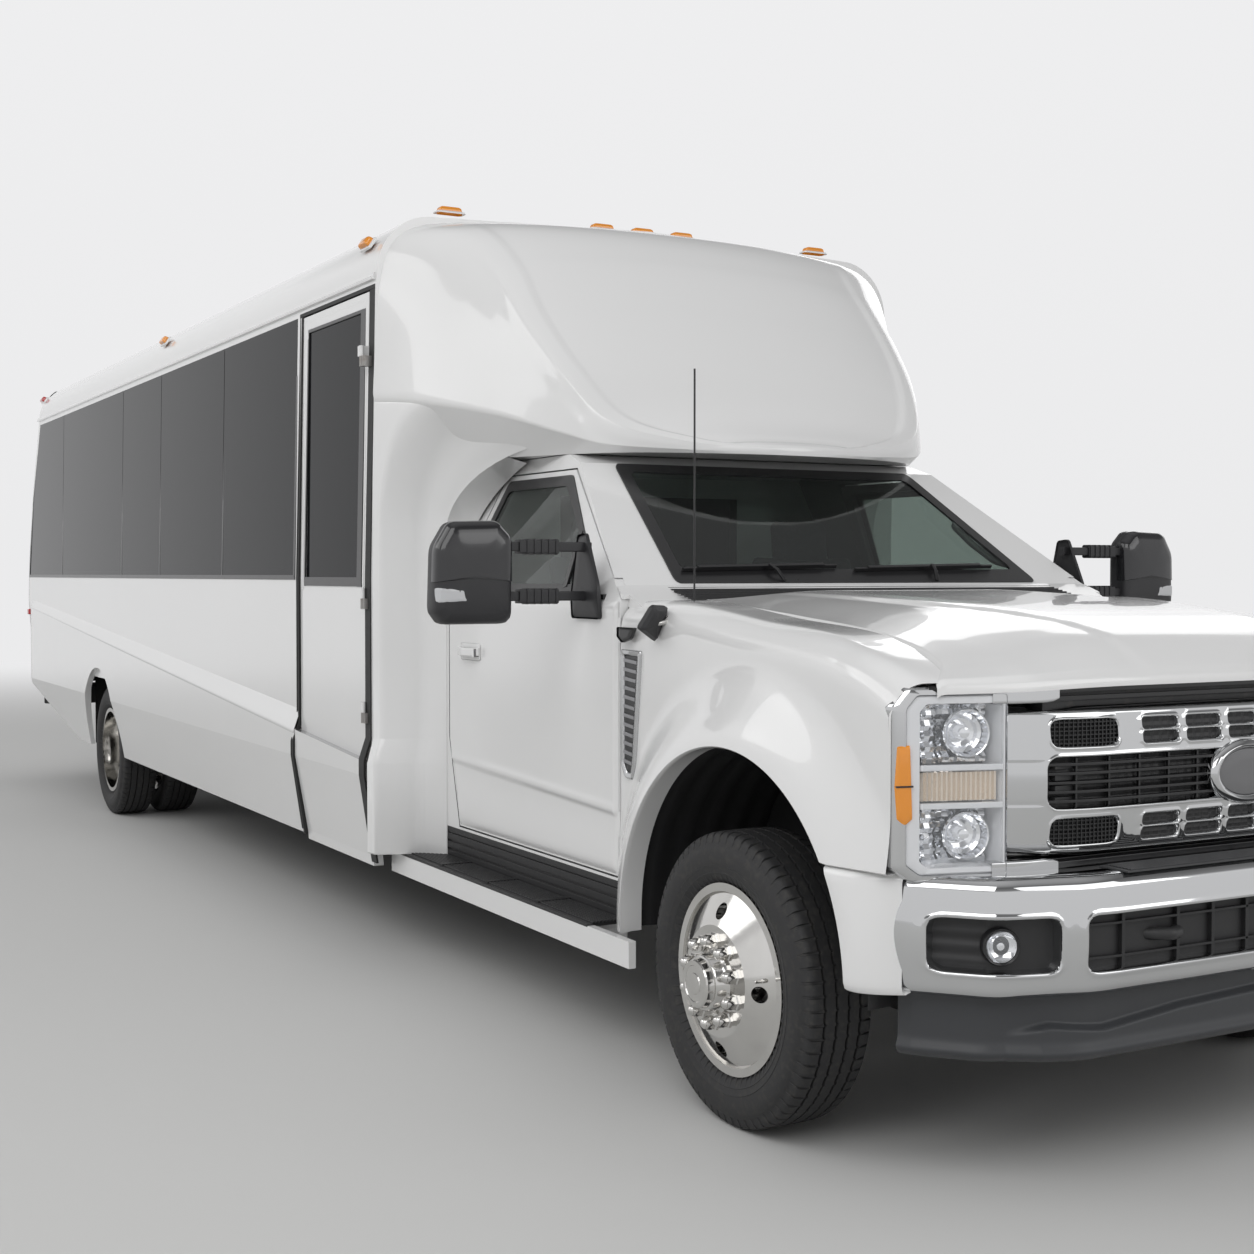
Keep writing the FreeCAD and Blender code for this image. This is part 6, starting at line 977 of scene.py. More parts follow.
DOOR_GLASS = np.array([(0.880, 1.466), (1.408, 1.838), (1.905, 1.838), (1.965, 1.466)])
glass_centre = DOOR_GLASS.mean(0)
TRIM_OUTER = soft(glass_centre + (DOOR_GLASS - glass_centre) * (1.05, 1.13), 0.04)
TRIM_INNER = soft(glass_centre + (DOOR_GLASS - glass_centre) * (0.955, 0.92), 0.04)
SILL_HEIGHT = 1.443
PULL_FROM, PULL_LONG, PULL_HEIGHT, PULL_BASE, PULL_BOW = 1.735, 0.15, 1.232, 0.012, 0.030
PULL_CUP = soft([(1.725, 1.262), (1.895, 1.262), (1.895, 1.200), (1.725, 1.200)], 0.025)
for key, side in SIDES:
    mesh_piece("cab_door_skin_" + key, [door_skin(side)], white_paint, "cab_door_" + key,
               crease=60)
for key, side in SIDES:
    band = np.stack([on_door(TRIM_OUTER, -0.002, side), on_door(TRIM_OUTER, 0.004, side),
                     on_door(TRIM_INNER, 0.004, side), on_door(TRIM_INNER, -0.004, side)])
    divider = swept(on_door([(1.105, 1.47), (1.155, 1.655)], 0.002, side), bar(0.030, 0.006), up=(0, side, 0))
    sill = swept(on_door([(0.80, SILL_HEIGHT), (1.985, SILL_HEIGHT)], 0.003, side), bar(0.012, 0.016))
    mesh_piece("door_window_trim_" + key, [(band, False, True), divider, sill], trim_black, "cab_door_" + key)
    pull = [(AXLE - PULL_FROM - t * PULL_LONG,
             side * (1.0 + PULL_BOW * math.sin(math.pi * t) ** 0.5 + PULL_BASE), PULL_HEIGHT)
            for t in np.linspace(0, 1, 14)]
    cup = side_plate(PULL_CUP, 1.0, 0.0145, 0.003, side)
    mesh_piece("door_pull_" + key, [swept(pull, bar(0.016, 0.028)), cup], white_paint, "cab_door_" + key)

# Towing mirrors: a tall housing of grained black plastic on two ribbed telescoping arms from a sail-shaped
# foot on the door, with a plane glass behind and a clear lamp let into its outer front edge.
MIRROR_FRONT = 0.850
MIRROR_IN, MIRROR_OUT, MIRROR_LOW, MIRROR_HIGH = 1.285, 1.545, 1.360, 1.680
HEAD_RINGS = [(0.0, 0.076), (0.86, 0.076), (0.885, 0.090), (0.955, 0.090), (0.992, 0.082), (1.0, 0.070),
              (1.0, 0.046), (0.985, 0.026), (0.945, 0.012), (0.88, 0.004), (0.76, -0.001),
              (0.45, -0.005), (0.0, -0.006)]
head_line = soft([(MIRROR_IN, MIRROR_LOW + 0.02), (MIRROR_IN + 0.02, MIRROR_LOW),
                  (MIRROR_OUT - 0.03, MIRROR_LOW), (MIRROR_OUT, MIRROR_LOW + 0.04),
                  (MIRROR_OUT - 0.006, MIRROR_HIGH - 0.085), (MIRROR_OUT - 0.055, MIRROR_HIGH - 0.005),
                  (MIRROR_IN + 0.05, MIRROR_HIGH), (MIRROR_IN, MIRROR_HIGH - 0.05)], 0.05, 4)
head_centre = head_line.mean(0)
LENS_SEAM = MIRROR_LOW + 0.130
ARM_HEIGHTS, ARM_BACK, ARM_REACH = (1.445, 1.600), 0.045, (1.0, 1.15, MIRROR_IN + 0.03)
SLEEVE_REACH, SLEEVE_RIBS, RIB_WIDE = (1.12, 1.16, 1.24, 1.255), (1.125, 1.15, 1.175, 1.2, 1.225), 0.006


def head_grid(side, rings, line, centre):
    """Rings of the line, each drawn to the centre by its size and set back by its depth."""
    grid = [np.stack([np.full(len(line), AXLE - MIRROR_FRONT - back),
                      side * (centre[0] + (line[:, 0] - centre[0]) * size),
                      centre[1] + (line[:, 1] - centre[1]) * size], 1) for size, back in rings]
    return np.stack(grid), False, True


def mirror_place(line, level, side):
    """Points (half width, height) on the front of the housing, which turns back at its outer edge."""
    back = np.interp(line[..., 0], (1.44, 1.50, 1.529, 1.538, 1.543), (-0.002, 0.0, 0.005, 0.014, 0.030))
    return np.stack([AXLE - MIRROR_FRONT - back + level, side * line[..., 0], line[..., 1]], -1)


mirror_plastic = grained(finish("mirror_plastic", (0.022, 0.022, 0.024), 0.42), 0.0010, 0.00018, 0.06)
mirror_gloss = grained(finish("mirror_gloss", (0.018, 0.018, 0.020), 0.16, coat=0.4), 0.02, 0.00003, 0.03)
silvered = finish("silvered_glass", (0.80, 0.82, 0.84), 0.02, metallic=1.0)
clear_lens = finish("clear_lens", (0.85, 0.86, 0.88), 0.06, coat=0.5, Transmission_Weight=0.35, IOR=1.5)
CAP_RINGS = [(0.998, 0.052), (1.002, 0.048), (0.998, 0.024), (0.957, 0.009), (0.89, 0.001), (0.76, -0.004),
             (0.45, -0.008), (0.0, -0.009)]
GLASS_RINGS = [(0.0, 0.0775), (0.84, 0.0775), (0.845, 0.0745)]
SAIL = soft([(0.790, 1.372), (0.978, 1.372), (0.985, 1.44), (0.935, 1.640), (0.880, 1.645),
             (0.800, 1.475)], 0.03)
MIRROR_LENS = soft([(1.443, 1.431), (1.541, 1.427), (1.541, 1.473), (1.448, 1.468)], 0.014)
cap_line = np.stack([head_line[:, 0], np.maximum(head_line[:, 1], LENS_SEAM)], 1)
cap_centre = (head_centre[0], LENS_SEAM + 0.02)
arm_x = AXLE - MIRROR_FRONT - ARM_BACK
for key, side in SIDES:
    parts = [head_grid(side, HEAD_RINGS, head_line, head_centre)]
    for height in ARM_HEIGHTS:
        parts.append(swept([(arm_x, side * y, height) for y in ARM_REACH], bar(0.026, 0.030)))
        parts.append(swept([(arm_x, side * y, height) for y in SLEEVE_REACH], bar(0.038, 0.044)))
        parts += [swept([(arm_x, side * y, height) for y in (rib, rib + RIB_WIDE)], bar(0.044, 0.050))
                  for rib in SLEEVE_RIBS]
    parts.append(side_plate(SAIL, 0.985, 0.040, 0.012, side))
    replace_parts(mesh_piece("mirror_body_" + key, parts, mirror_plastic, "cab_door_" + key,
                           crease=40), "mirror_" + key)
    mesh_piece("mirror_cap_" + key, [head_grid(side, CAP_RINGS, cap_line, cap_centre)], mirror_gloss,
               "cab_door_" + key, crease=40)
    mesh_piece("mirror_glass_" + key, [head_grid(side, GLASS_RINGS, head_line, head_centre)], silvered,
               "cab_door_" + key)
    lens = plate(MIRROR_LENS, lambda line, level: mirror_place(line, level, side), 0.004, 0.005, 0.012)
    mesh_piece("mirror_lamp_" + key, [lens], clear_lens, "cab_door_" + key)

# Look-down mirror: a small black wedge of moulded plastic at the right front corner of the cowl, clamped
# to a chrome rod whose foot is screwed to the wing.
LOOK_BEHIND, LOOK_HEIGHT, LOOK_FOOT = 0.430, 1.402, -0.960
LOOK_ROWS = [(0.0, 0.013), (0.9, 0.013), (1.0, 0.008), (1.0, -0.004), (0.8, -0.014), (0.0, -0.02)]
wedge_line = soft([(-0.052, -0.050), (0.050, -0.035), (0.040, 0.045), (-0.030, 0.060)], 0.02)
look_centre = np.array((AXLE - LOOK_BEHIND, -1.035, LOOK_HEIGHT - 0.030))
look_across, look_up = np.array((0.45, -0.85, 0.25)), np.array((0.25, 0.38, 0.89))
look_across /= np.linalg.norm(look_across)
look_up -= look_across * np.dot(look_up, look_across)
look_up /= np.linalg.norm(look_up)
look_out = np.cross(look_across, look_up)
wedge_face = wedge_line[:, :1] * look_across + wedge_line[:, 1:] * look_up
wedge_grid = np.stack([look_centre + size * wedge_face + out * look_out for size, out in LOOK_ROWS])
mesh_piece("look_down_mirror", [(wedge_grid, False, True)], mirror_plastic, "chassis")
rod = [look_centre - 0.01 * look_out, look_centre + (0.01, 0.035, 0.0),
       (AXLE - LOOK_BEHIND, LOOK_FOOT - 0.005, LOOK_HEIGHT)]
foot_disc = turned([(0.0, 0.006), (0.016, 0.006), (0.020, 0.0), (0.02, -0.008)],
                   (AXLE - LOOK_BEHIND, LOOK_FOOT, LOOK_HEIGHT), (0, -0.3, 0.95), turns=24)
mesh_piece("look_down_foot", [swept(rod, round_bar(0.008)), foot_disc], polished, "chassis")


# Headlamps: a chrome-plated bezel whose two arms clasp the grille, two facetted bowls with a ribbed
# indicator between them, white light guides, an amber side lamp and a clear moulded cover.
LAMP_FACE, LAMP_INNER = 0.805, 0.772
LAMP_LOW, LAMP_HIGH = 0.783, 1.247
LENS_INNER, LENS_OUTER, LENS_LOW, LENS_HIGH = 0.776, 0.974, 0.818, 1.204
chrome = grained(finish("chrome", (0.60, 0.605, 0.61), 0.05, metallic=1.0), 0.03, 0.00003, 0.025)
amber_lens = finish("amber_lens", (0.85, 0.30, 0.02), 0.10, coat=0.8)
guide_white = finish("guide_white", (0.74, 0.75, 0.77), 0.22, coat=0.5)
lamp_cover = finish("lamp_cover", (0.85, 0.88, 0.92), 0.03, coat=1.0, Alpha=0.16)
bowl_silver = grained(finish("bowl_silver", (0.85, 0.86, 0.88), 0.08, metallic=1.0), 0.01, 0.0001, 0.03)


def lamp_place(line, level, side=-1):
    """Points (half width, height) laid on the lamp's slanted face and lifted off it."""
    line = np.asarray(line, float)
    x = AXLE + LAMP_FACE - LAMP_SLOPE * (line[..., 0] - LAMP_INNER) + level
    return np.stack([x, side * line[..., 0], line[..., 1]], -1)


def oblong(low_y, high_y, low_z, high_z, reach=0.012):
    """A rectangle (half width, height) with rounded corners."""
    return soft([(low_y, low_z), (high_y, low_z), (high_y, high_z), (low_y, high_z)], reach, 3)


OUTER_BEZEL = soft([(0.766, LAMP_LOW), (1.000, LAMP_LOW), (1.046, LAMP_LOW + 0.035),
                    (1.047, LAMP_HIGH - 0.045), (1.012, LAMP_HIGH), (0.766, LAMP_HIGH)], 0.018)
INNER_BEZEL = soft([(LENS_INNER, LENS_LOW), (0.955, LENS_LOW), (LENS_OUTER, LENS_LOW + 0.015),
                    (LENS_OUTER, LENS_HIGH - 0.015), (0.958, LENS_HIGH), (LENS_INNER, LENS_HIGH)], 0.014)
# Each rim row: share of the way from the outer to the inner outline, and level over the lamp's face.
BEZEL_ROWS = [(0.30, -0.08), (0.02, -0.030), (0.0, -0.012), (0.05, -0.002), (0.16, 0.004), (0.42, 0.006),
              (0.50, -0.004)]
GUIDE_ROWS = [(0.46, -0.014), (0.50, -0.001), (0.60, 0.002), (0.92, 0.001), (1.0, -0.010), (1.0, -0.075)]
ARMS = ((LAMP_HIGH - 0.022, 0.042), (LAMP_LOW + 0.022, 0.040))
ARM_ACROSS, ARM_SINK = (0.80, 0.74, 0.70, 0.66, 0.635, 0.618), 0.0245
ARM_TAPER = np.array([1, 1, 1, 1, 1, 0.9, 0.62, 0.62])[:, None]
BOWL_AREAS = ((1.062, LENS_HIGH), (LENS_LOW, 0.956))
BOWL_FOCUS, BOWL_DEEP, BOWL_REACH, BOWL_RADIUS = 0.835, -0.075, 0.15, 0.056
BOWL = [(0.060, 0.040), (0.058, 0.046), (0.055, 0.044), (0.048, 0.018), (0.034, 0.006), (0.018, 0.0),
        (0.016, 0.020), (0.013, 0.030), (0.0, 0.034)]
LAMP_OUT = (0.958, -0.286, 0)
FACETS_ACROSS, FACETS_UP, INDICATOR_RIBS = 15, 12, 33
INDICATOR_ROWS = ((0.970, 0.02), (0.974, 0.0), (1.042, 0.0), (1.046, 0.02))
GUIDE_HEIGHTS = (1.054, 0.963)
SIDE_LAMP = soft([(1.000, 0.935), (1.018, 0.920), (1.036, 0.935), (1.040, 1.012), (1.036, 1.108),
                  (1.006, 1.110)], 0.006)
chromes = [rim(OUTER_BEZEL, INNER_BEZEL, BEZEL_ROWS, lamp_place)]
for arm_z, arm_rise in ARMS:
    arm = [(AXLE + front_line(y) - ARM_SINK, -y, arm_z) for y in ARM_ACROSS]
    grid, rows, columns = swept(arm, bar(0.036, arm_rise, 0.35, 3))
    grid[..., 2] = arm_z + (grid[..., 2] - arm_z) * ARM_TAPER
    chromes.append((grid, rows, columns))
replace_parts(mesh_piece("headlamp_bezels", both(chromes), chrome, "chassis", crease=40), "headlamps")
guides = [rim(OUTER_BEZEL, INNER_BEZEL, GUIDE_ROWS, lamp_place)]
guides += [swept(lamp_place([(y, height) for y in (0.775, 0.875, 0.976)], -0.006), bar(0.016, 0.014))
           for height in GUIDE_HEIGHTS]
mesh_piece("headlamp_guides", both(guides), guide_white, "chassis", crease=40)
bowls = []
for low_z, high_z in BOWL_AREAS:
    across, up = np.meshgrid(np.linspace(LENS_INNER + 0.006, LENS_OUTER - 0.006, FACETS_ACROSS),
                             np.linspace(low_z, high_z, FACETS_UP))
    focus = np.array((BOWL_FOCUS, (low_z + high_z) / 2))
    away = np.hypot(across - focus[0], up - focus[1])
    step = 0.007 * (np.arange(FACETS_UP) % 2)[:, None] + 0.006 * ((np.arange(FACETS_ACROSS) // 2) % 2)
    level = BOWL_DEEP + 0.055 * np.clip(away / BOWL_REACH, 0, 1) ** 2 + np.where(away > BOWL_RADIUS, step, 0)
    bowls.append((lamp_place(np.stack([across, up], -1), level), False, False))
    bowls.append(turned(BOWL, lamp_place(focus, BOWL_DEEP + 0.003), LAMP_OUT, turns=28))
mesh_piece("headlamp_bowls", both(bowls), bowl_silver, "chassis", crease=12)
across = np.linspace(LENS_INNER + 0.004, LENS_OUTER - 0.004, INDICATOR_RIBS)
level = -0.020 + 0.010 * (np.arange(INDICATOR_RIBS) % 2)
ribbed = np.stack([lamp_place(np.stack([across, np.full(INDICATOR_RIBS, height)], -1), level - sink)
                   for height, sink in INDICATOR_ROWS])
indicator_lens = finish("indicator_lens", (0.82, 0.72, 0.60), 0.10, metallic=0.75, coat=0.8)
mesh_piece("headlamp_indicators", both([(ribbed, False, False)]), indicator_lens, "chassis",
           crease=12)
side_lamp = plate(SIDE_LAMP, lamp_place, 0.009, 0.004)
mesh_piece("headlamp_side_lamps", both([side_lamp]), amber_lens, "chassis")
amber_joint = swept(lamp_place([(1.0, 1.013), (1.041, 1.013)], 0.008), bar(0.006, 0.004))
mesh_piece("headlamp_joints", both([amber_joint]), trim_black, "chassis")
cover = plate(INNER_BEZEL, lamp_place, 0.004, 0.006, 0.010)
mesh_piece("headlamp_covers", both([cover]), lamp_cover, "chassis")

# Grille: one chrome-plated moulding in front of black mesh, with two rows of openings, a wide middle
# opening crossed by black bars, and a bare oval on its middle.
GRILLE_FLAT, GRILLE_END = 0.600, 0.758
GRILLE_LOW, GRILLE_HIGH, GRILLE_MIDDLE = 0.822, 1.190, 1.0055
GRILLE_FACE = 0.848
OPENING_DEPTH, OPENING_SOFT = 0.034, 0.007
GRILLE_ROWS = ((1.0945, 1.1575), (0.8535, 0.9165))
SLOTS = ((-0.352, -0.228), (-0.202, -0.078), (-0.052, 0.052), (0.078, 0.202), (0.228, 0.352))
WEB_HALF = 0.004
# Each opening: its two ends across, its lowest and highest level, and its corners' radius.
openings = [(-0.640, 0.640, GRILLE_MIDDLE - 0.062, GRILLE_MIDDLE + 0.062, 0.030)]
for low_z, high_z in GRILLE_ROWS:
    openings += [(near, far, low_z, high_z, 0.022) for near, far in ((-0.628, -0.432), (0.432, 0.628))]
    web_z = (low_z + high_z) / 2
    for near, far in SLOTS:
        openings.append((near, far, web_z + WEB_HALF, high_z - 0.001, 0.009))
        openings.append((near, far, low_z + 0.001, web_z - WEB_HALF, 0.009))


def lines_round(edges, low, high, reach, plain):
    """Even stations between low and high, and close ones at each edge."""
    near = [np.array(edges) + offset * reach for offset in (-1, -0.6, -0.3, 0, 0.3, 0.6, 1)]
    stations = np.concatenate([np.linspace(low, high, plain)] + near)
    stations = np.unique(np.round(np.clip(stations, low, high), 4))
    return stations[np.concatenate([[True], np.diff(stations) > 0.0008])]


def within(y, z, box):
    """Distance inside a box with rounded corners; it is negative outside."""
    low_y, high_y, low_z, high_z, corner = box
    dy = abs(y - (low_y + high_y) / 2) - (high_y - low_y) / 2 + corner
    dz = abs(z - (low_z + high_z) / 2) - (high_z - low_z) / 2 + corner
    return corner - np.hypot(np.maximum(dy, 0), np.maximum(dz, 0)) - np.minimum(np.maximum(dy, dz), 0)


def grille_face(y):
    """The plate's face: flat in the middle, swept back towards the lamps."""
    past = np.maximum(abs(y) - GRILLE_FLAT + 0.12, 0)
    return AXLE + GRILLE_FACE - 1.05 * past ** 2 - 0.012 * (y / GRILLE_END) ** 2


edges_y = sorted({edge for box in openings for edge in box[:2]})
edges_z = sorted({edge for box in openings for edge in box[2:4]})
across, up = np.meshgrid(lines_round(edges_y, -GRILLE_END, GRILLE_END, 0.006, 110),
                         lines_round(edges_z, GRILLE_LOW, GRILLE_HIGH, 0.006, 60), indexing="ij")
inside = np.max([within(across, up, box) for box in openings], axis=0)
sunk = step_up(inside, -0.002, OPENING_SOFT)
lip = 0.0025 * np.exp(-((inside + 0.005) / 0.003) ** 2)
outer = within(across, up, (-GRILLE_END, GRILLE_END, GRILLE_LOW, GRILLE_HIGH, 0.03))
rolled = 1 - step_up(outer, -0.001, 0.012)
groove = 0.0025 * np.exp(-((abs(up - GRILLE_MIDDLE) - 0.052) / 0.0022) ** 2) * (abs(across) > 0.655)
bow = 0.55 * (up - GRILLE_MIDDLE) ** 2
face = grille_face(across) - bow + lip - OPENING_DEPTH * sunk - 0.024 * rolled - groove
relief = np.stack([face, across, up], -1)
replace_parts(mesh_piece("grille_plate", [(relief, False, False)], chrome, "chassis", crease=60),
            "grille")
MESH_HALF, MESH_DEEP, MESH_STEP = 0.650, 0.022, 0.004
across, up = np.meshgrid(np.linspace(-MESH_HALF, MESH_HALF, 90),
                         np.linspace(GRILLE_LOW + 0.01, GRILLE_HIGH - 0.01, 40))
backing = np.stack([grille_face(across) - MESH_DEEP, across, up], -1)
backing[1::2, ::2, 0] -= MESH_STEP
mesh_piece("grille_mesh", [(backing, False, False)], moulded_black, "chassis", crease=15)


def level_bar(near, far, height, sink, count, section):
    """A bar that follows the grille's face from one place across to another, sunk behind it."""
    line = np.linspace(near, far, count)
    return swept(np.stack([grille_face(line) - sink, -line, np.full(count, height)], 1), section)


def post_bar(across_at, low_z, high_z, sink, section):
    """A bar that stands upright behind the grille's face."""
    face_at = grille_face(across_at) - sink
    return swept([(face_at, -across_at, low_z), (face_at, -across_at, high_z)], section, up=(1, 0, 0))


grille_bars = []
for low_z, high_z in GRILLE_ROWS:
    grille_bars += [level_bar(0.436, 0.626, height, 0.016, 5, bar(0.006, 0.003))
                    for height in np.linspace(low_z + 0.006, high_z - 0.006, 6)]
    grille_bars += [post_bar(y, low_z, high_z, 0.015, bar(0.003, 0.006))
                    for y in np.linspace(0.445, 0.617, 15)]
grille_bars += [level_bar(0, 0.637, height, 0.010, 9, bar(0.016, 0.007))
                for height in np.linspace(GRILLE_MIDDLE - 0.045, GRILLE_MIDDLE + 0.045, 5)]
grille_bars += [post_bar(y, GRILLE_MIDDLE - 0.06, GRILLE_MIDDLE + 0.06, 0.014, bar(0.006, 0.008))
                for y in (0.16, 0.26, 0.36, 0.46, 0.56)]
mesh_piece("grille_bars", both(grille_bars), trim_black, "chassis")
# Each shroud bar: its height, how far it lies behind the front line, and its rise.
SHROUD = ((1.232, 0.035, 0.014), (1.210, 0.045, 0.012), (0.806, 0.02, 0.016), (0.812, 0.05, 0.010))
across = np.linspace(0, 0.70, 12)
shroud = [swept(np.stack([AXLE + front_line(across) - back, -across, np.full(12, height)], 1),
                bar(0.02, rise)) for height, back, rise in SHROUD]
mesh_piece("grille_shroud", both(shroud), trim_black, "chassis")
turn = np.linspace(0, 2 * np.pi, 72, endpoint=False)
OVAL = np.stack([0.135 * np.cos(turn), GRILLE_MIDDLE + 0.083 * np.sin(turn)], 1)
INNER_OVAL = np.stack([0.104 * np.cos(turn), GRILLE_MIDDLE + 0.060 * np.sin(turn)], 1)


def badge_place(line, level):
    """Points (across, height) in front of the middle of the grille."""
    line = np.asarray(line, float)
    return np.stack([np.full(line.shape[:-1], AXLE + GRILLE_FACE) + level, line[..., 0], line[..., 1]], -1)


RING_ROWS = [(0.0, -0.02), (0.0, 0.008), (0.15, 0.016), (0.5, 0.021), (0.85, 0.017), (1.0, 0.009)]
ring = rim(OVAL, INNER_OVAL, RING_ROWS, badge_place)
mesh_piece("badge_ring", [ring], chrome, "chassis", crease=50)
badge_grey = grained(finish("badge_grey", (0.16, 0.16, 0.165), 0.3, coat=0.3), 0.002, 0.00005, 0.04)
oval_face = plate(INNER_OVAL, badge_place, 0.012, 0.003)
mesh_piece("badge_face", [oval_face], badge_grey, "chassis")

# Bumper: a pressed and chromed steel beam with white moulded ends, black trays in its openings, fog
# lamps, two forged tow hooks and a ribbed tread pad on its top.
BUMPER_PLAN = [(0.957, -0.10), (0.957, 0.30), (0.953, 0.60), (0.877, 0.855), (0.725, 0.988), (0.692, 1.008)]
BUMPER_LOW, BUMPER_HIGH = 0.510, 0.800
BEAM_ROUND, BEAM_BULGE, BEAM_SINK = 0.03, 0.020, 0.075
FOG_BOX, MIDDLE_BOX = (0.705, 0.962, 0.577, 0.706, 0.028), (-0.640, 0.640, 0.572, 0.708, 0.030)


def outward_of(plan):
    """The plan's unit normals, which point away from the vehicle."""
    way = np.gradient(plan, axis=0)
    way /= np.linalg.norm(way, axis=1, keepdims=True)
    return np.stack([way[:, 1], -way[:, 0]], 1)


plan = soft(BUMPER_PLAN, 0.11, 4, closed=False)
plan = plan[plan[:, 1] >= 0]
length = np.concatenate([[0], np.cumsum(np.linalg.norm(np.diff(plan, axis=0), axis=1))])
box_stations = np.interp([MIDDLE_BOX[1], *FOG_BOX[:2]], plan[:, 1], length)
stations = lines_round(box_stations, 0, length[-1], 0.006, 120)
plan = np.stack([np.interp(stations, length, plan[:, 0]), np.interp(stations, length, plan[:, 1])], 1)
outward = outward_of(plan)
face_z = lines_round([*FOG_BOX[2:4], *MIDDLE_BOX[2:4]], BUMPER_LOW + BEAM_ROUND, BUMPER_HIGH - BEAM_ROUND,
                     0.006, 40)
corner_turn = np.linspace(0, np.pi / 2, 8)
low_rows = [(BUMPER_LOW + BEAM_ROUND * (1 - math.cos(t)), BEAM_ROUND * (math.sin(t) - 1))
            for t in corner_turn[:-1]]
high_rows = [(BUMPER_HIGH - BEAM_ROUND * (1 - math.sin(t)), BEAM_ROUND * (math.cos(t) - 1))
             for t in corner_turn[1:]]
rows = [(BUMPER_LOW + 0.004, -0.075)] + low_rows + [(height, 0.0) for height in face_z] + high_rows
rows += [(BUMPER_HIGH + 0.001, -0.06), (BUMPER_HIGH - 0.002, -0.125)]
row_z, row_out = np.array(rows).T
bulge = BEAM_BULGE * np.sin(np.pi * np.clip((row_z - BUMPER_LOW) / (BUMPER_HIGH - BUMPER_LOW), 0, 1))
plan_y = plan[:, 1][:, None] + 0 * row_z
inside = np.maximum(within(plan_y, row_z[None], FOG_BOX), within(plan_y, row_z[None], MIDDLE_BOX))
front_rows = (row_out > -0.001)[None]
sunk = step_up(inside, -0.001, 0.009) * front_rows
lip = 0.003 * np.exp(-((inside + 0.007) / 0.004) ** 2) * front_rows
out = (row_out + bulge)[None] + lip - BEAM_SINK * sunk
beam = np.stack([AXLE + plan[:, :1] + outward[:, :1] * out, -(plan[:, 1:] + outward[:, 1:] * out),
                 np.broadcast_to(row_z, out.shape)], -1)
end_out = (row_out + bulge)[None] - 0.045
end_cap = np.stack([beam[-1], np.stack([AXLE + plan[-1, 0] + outward[-1, 0] * end_out[0],
                    -(plan[-1, 1] + outward[-1, 1] * end_out[0]), row_z], -1)])
beam_patches = both([(beam, False, False), (end_cap, False, False)])
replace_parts(mesh_piece("bumper_beam", beam_patches, chrome, "chassis", crease=55), "front_bumper")


def bumper_place(line, level):
    """Points (half width, height) on the bumper's face, moved out by the level."""
    line = np.asarray(line, float)
    station = np.interp(line[..., 0], plan[:, 1], stations)
    out = level + 0.018
    x, y = [np.interp(station, stations, plan[:, k]) + np.interp(station, stations, outward[:, k]) * out
            for k in (0, 1)]
    return np.stack([AXLE + x, -y, line[..., 1]], -1)


trays = []
for low_y, high_y, low_z, high_z in ((0.695, 0.972, 0.569, 0.714), (0.0, 0.655, 0.562, 0.716)):
    y, z = np.linspace(low_y, high_y, 60), np.linspace(low_z, high_z, 26)
    across, up = np.meshgrid(y, z, indexing="ij")
    level = -0.040 - 0.004 * (np.sin((up - low_z) * 2 * np.pi / 0.036) > 0) * (across > 0.87)
    trays.append((bumper_place(np.stack([across, up], -1), level), False, False))
for y_at in (0.10, 0.22, 0.34, 0.52):
    line = [bumper_place([y_at, height], -0.038) for height in (0.57, 0.64, 0.712)]
    trays.append(swept(line, bar(0.010, 0.022), up=(1, 0, 0)))
for height in (0.600, 0.680):
    line = [bumper_place([y_at, height], -0.037) for y_at in np.linspace(0.02, 0.63, 8)]
    trays.append(swept(line, bar(0.020, 0.006)))
mesh_piece("bumper_trays", both(trays), moulded_black, "chassis")
FOG_PLACE, FOG_HEIGHT = 0.842, 0.6385
fog_at = bumper_place([FOG_PLACE, FOG_HEIGHT], -0.046)
fog_out = (0.93, -0.37, 0)
FOG_RING = [(0.046, 0.0), (0.046, 0.018), (0.043, 0.024), (0.039, 0.022), (0.038, 0.010)]
FOG_BOWL = [(0.038, 0.020), (0.030, 0.010), (0.018, 0.004), (0.010, 0.003), (0.009, 0.016), (0.0, 0.018)]
FOG_LENS = [(0.0385, 0.018), (0.036, 0.026), (0.026, 0.0315), (0.013, 0.034), (0.0, 0.035)]
ring, bowl, lens = [both([turned(outline, fog_at, fog_out, turns=40)])
                    for outline in (FOG_RING, FOG_BOWL, FOG_LENS)]
mesh_piece("fog_lamp_rings", ring, trim_black, "chassis")
mesh_piece("fog_lamp_bowls", bowl, bowl_silver, "chassis", crease=25)
mesh_piece("fog_lamp_lenses", lens, lamp_cover, "chassis")
# The hook's bend, as ahead of its foot, across and height.
HOOK_FOOT, HOOK_RADIUS = AXLE + 0.901, 0.016
HOOK = np.array([(0, -0.475, 0.640), (0.012, -0.440, 0.640), (0.040, -0.415, 0.641), (0.062, -0.380, 0.641),
                 (0.050, -0.345, 0.640), (0.010, -0.335, 0.640)])
hook = swept(soft(HOOK + (HOOK_FOOT, 0, 0), 0.02, 3, closed=False), round_bar(HOOK_RADIUS))
mesh_piece("tow_hooks", both([hook]), chassis_black, "chassis")


def crossbar(ahead_by, half, height, section):
    """A straight bar across the vehicle."""
    return swept([(AXLE + ahead_by, -half, height), (AXLE + ahead_by, half, height)], section)


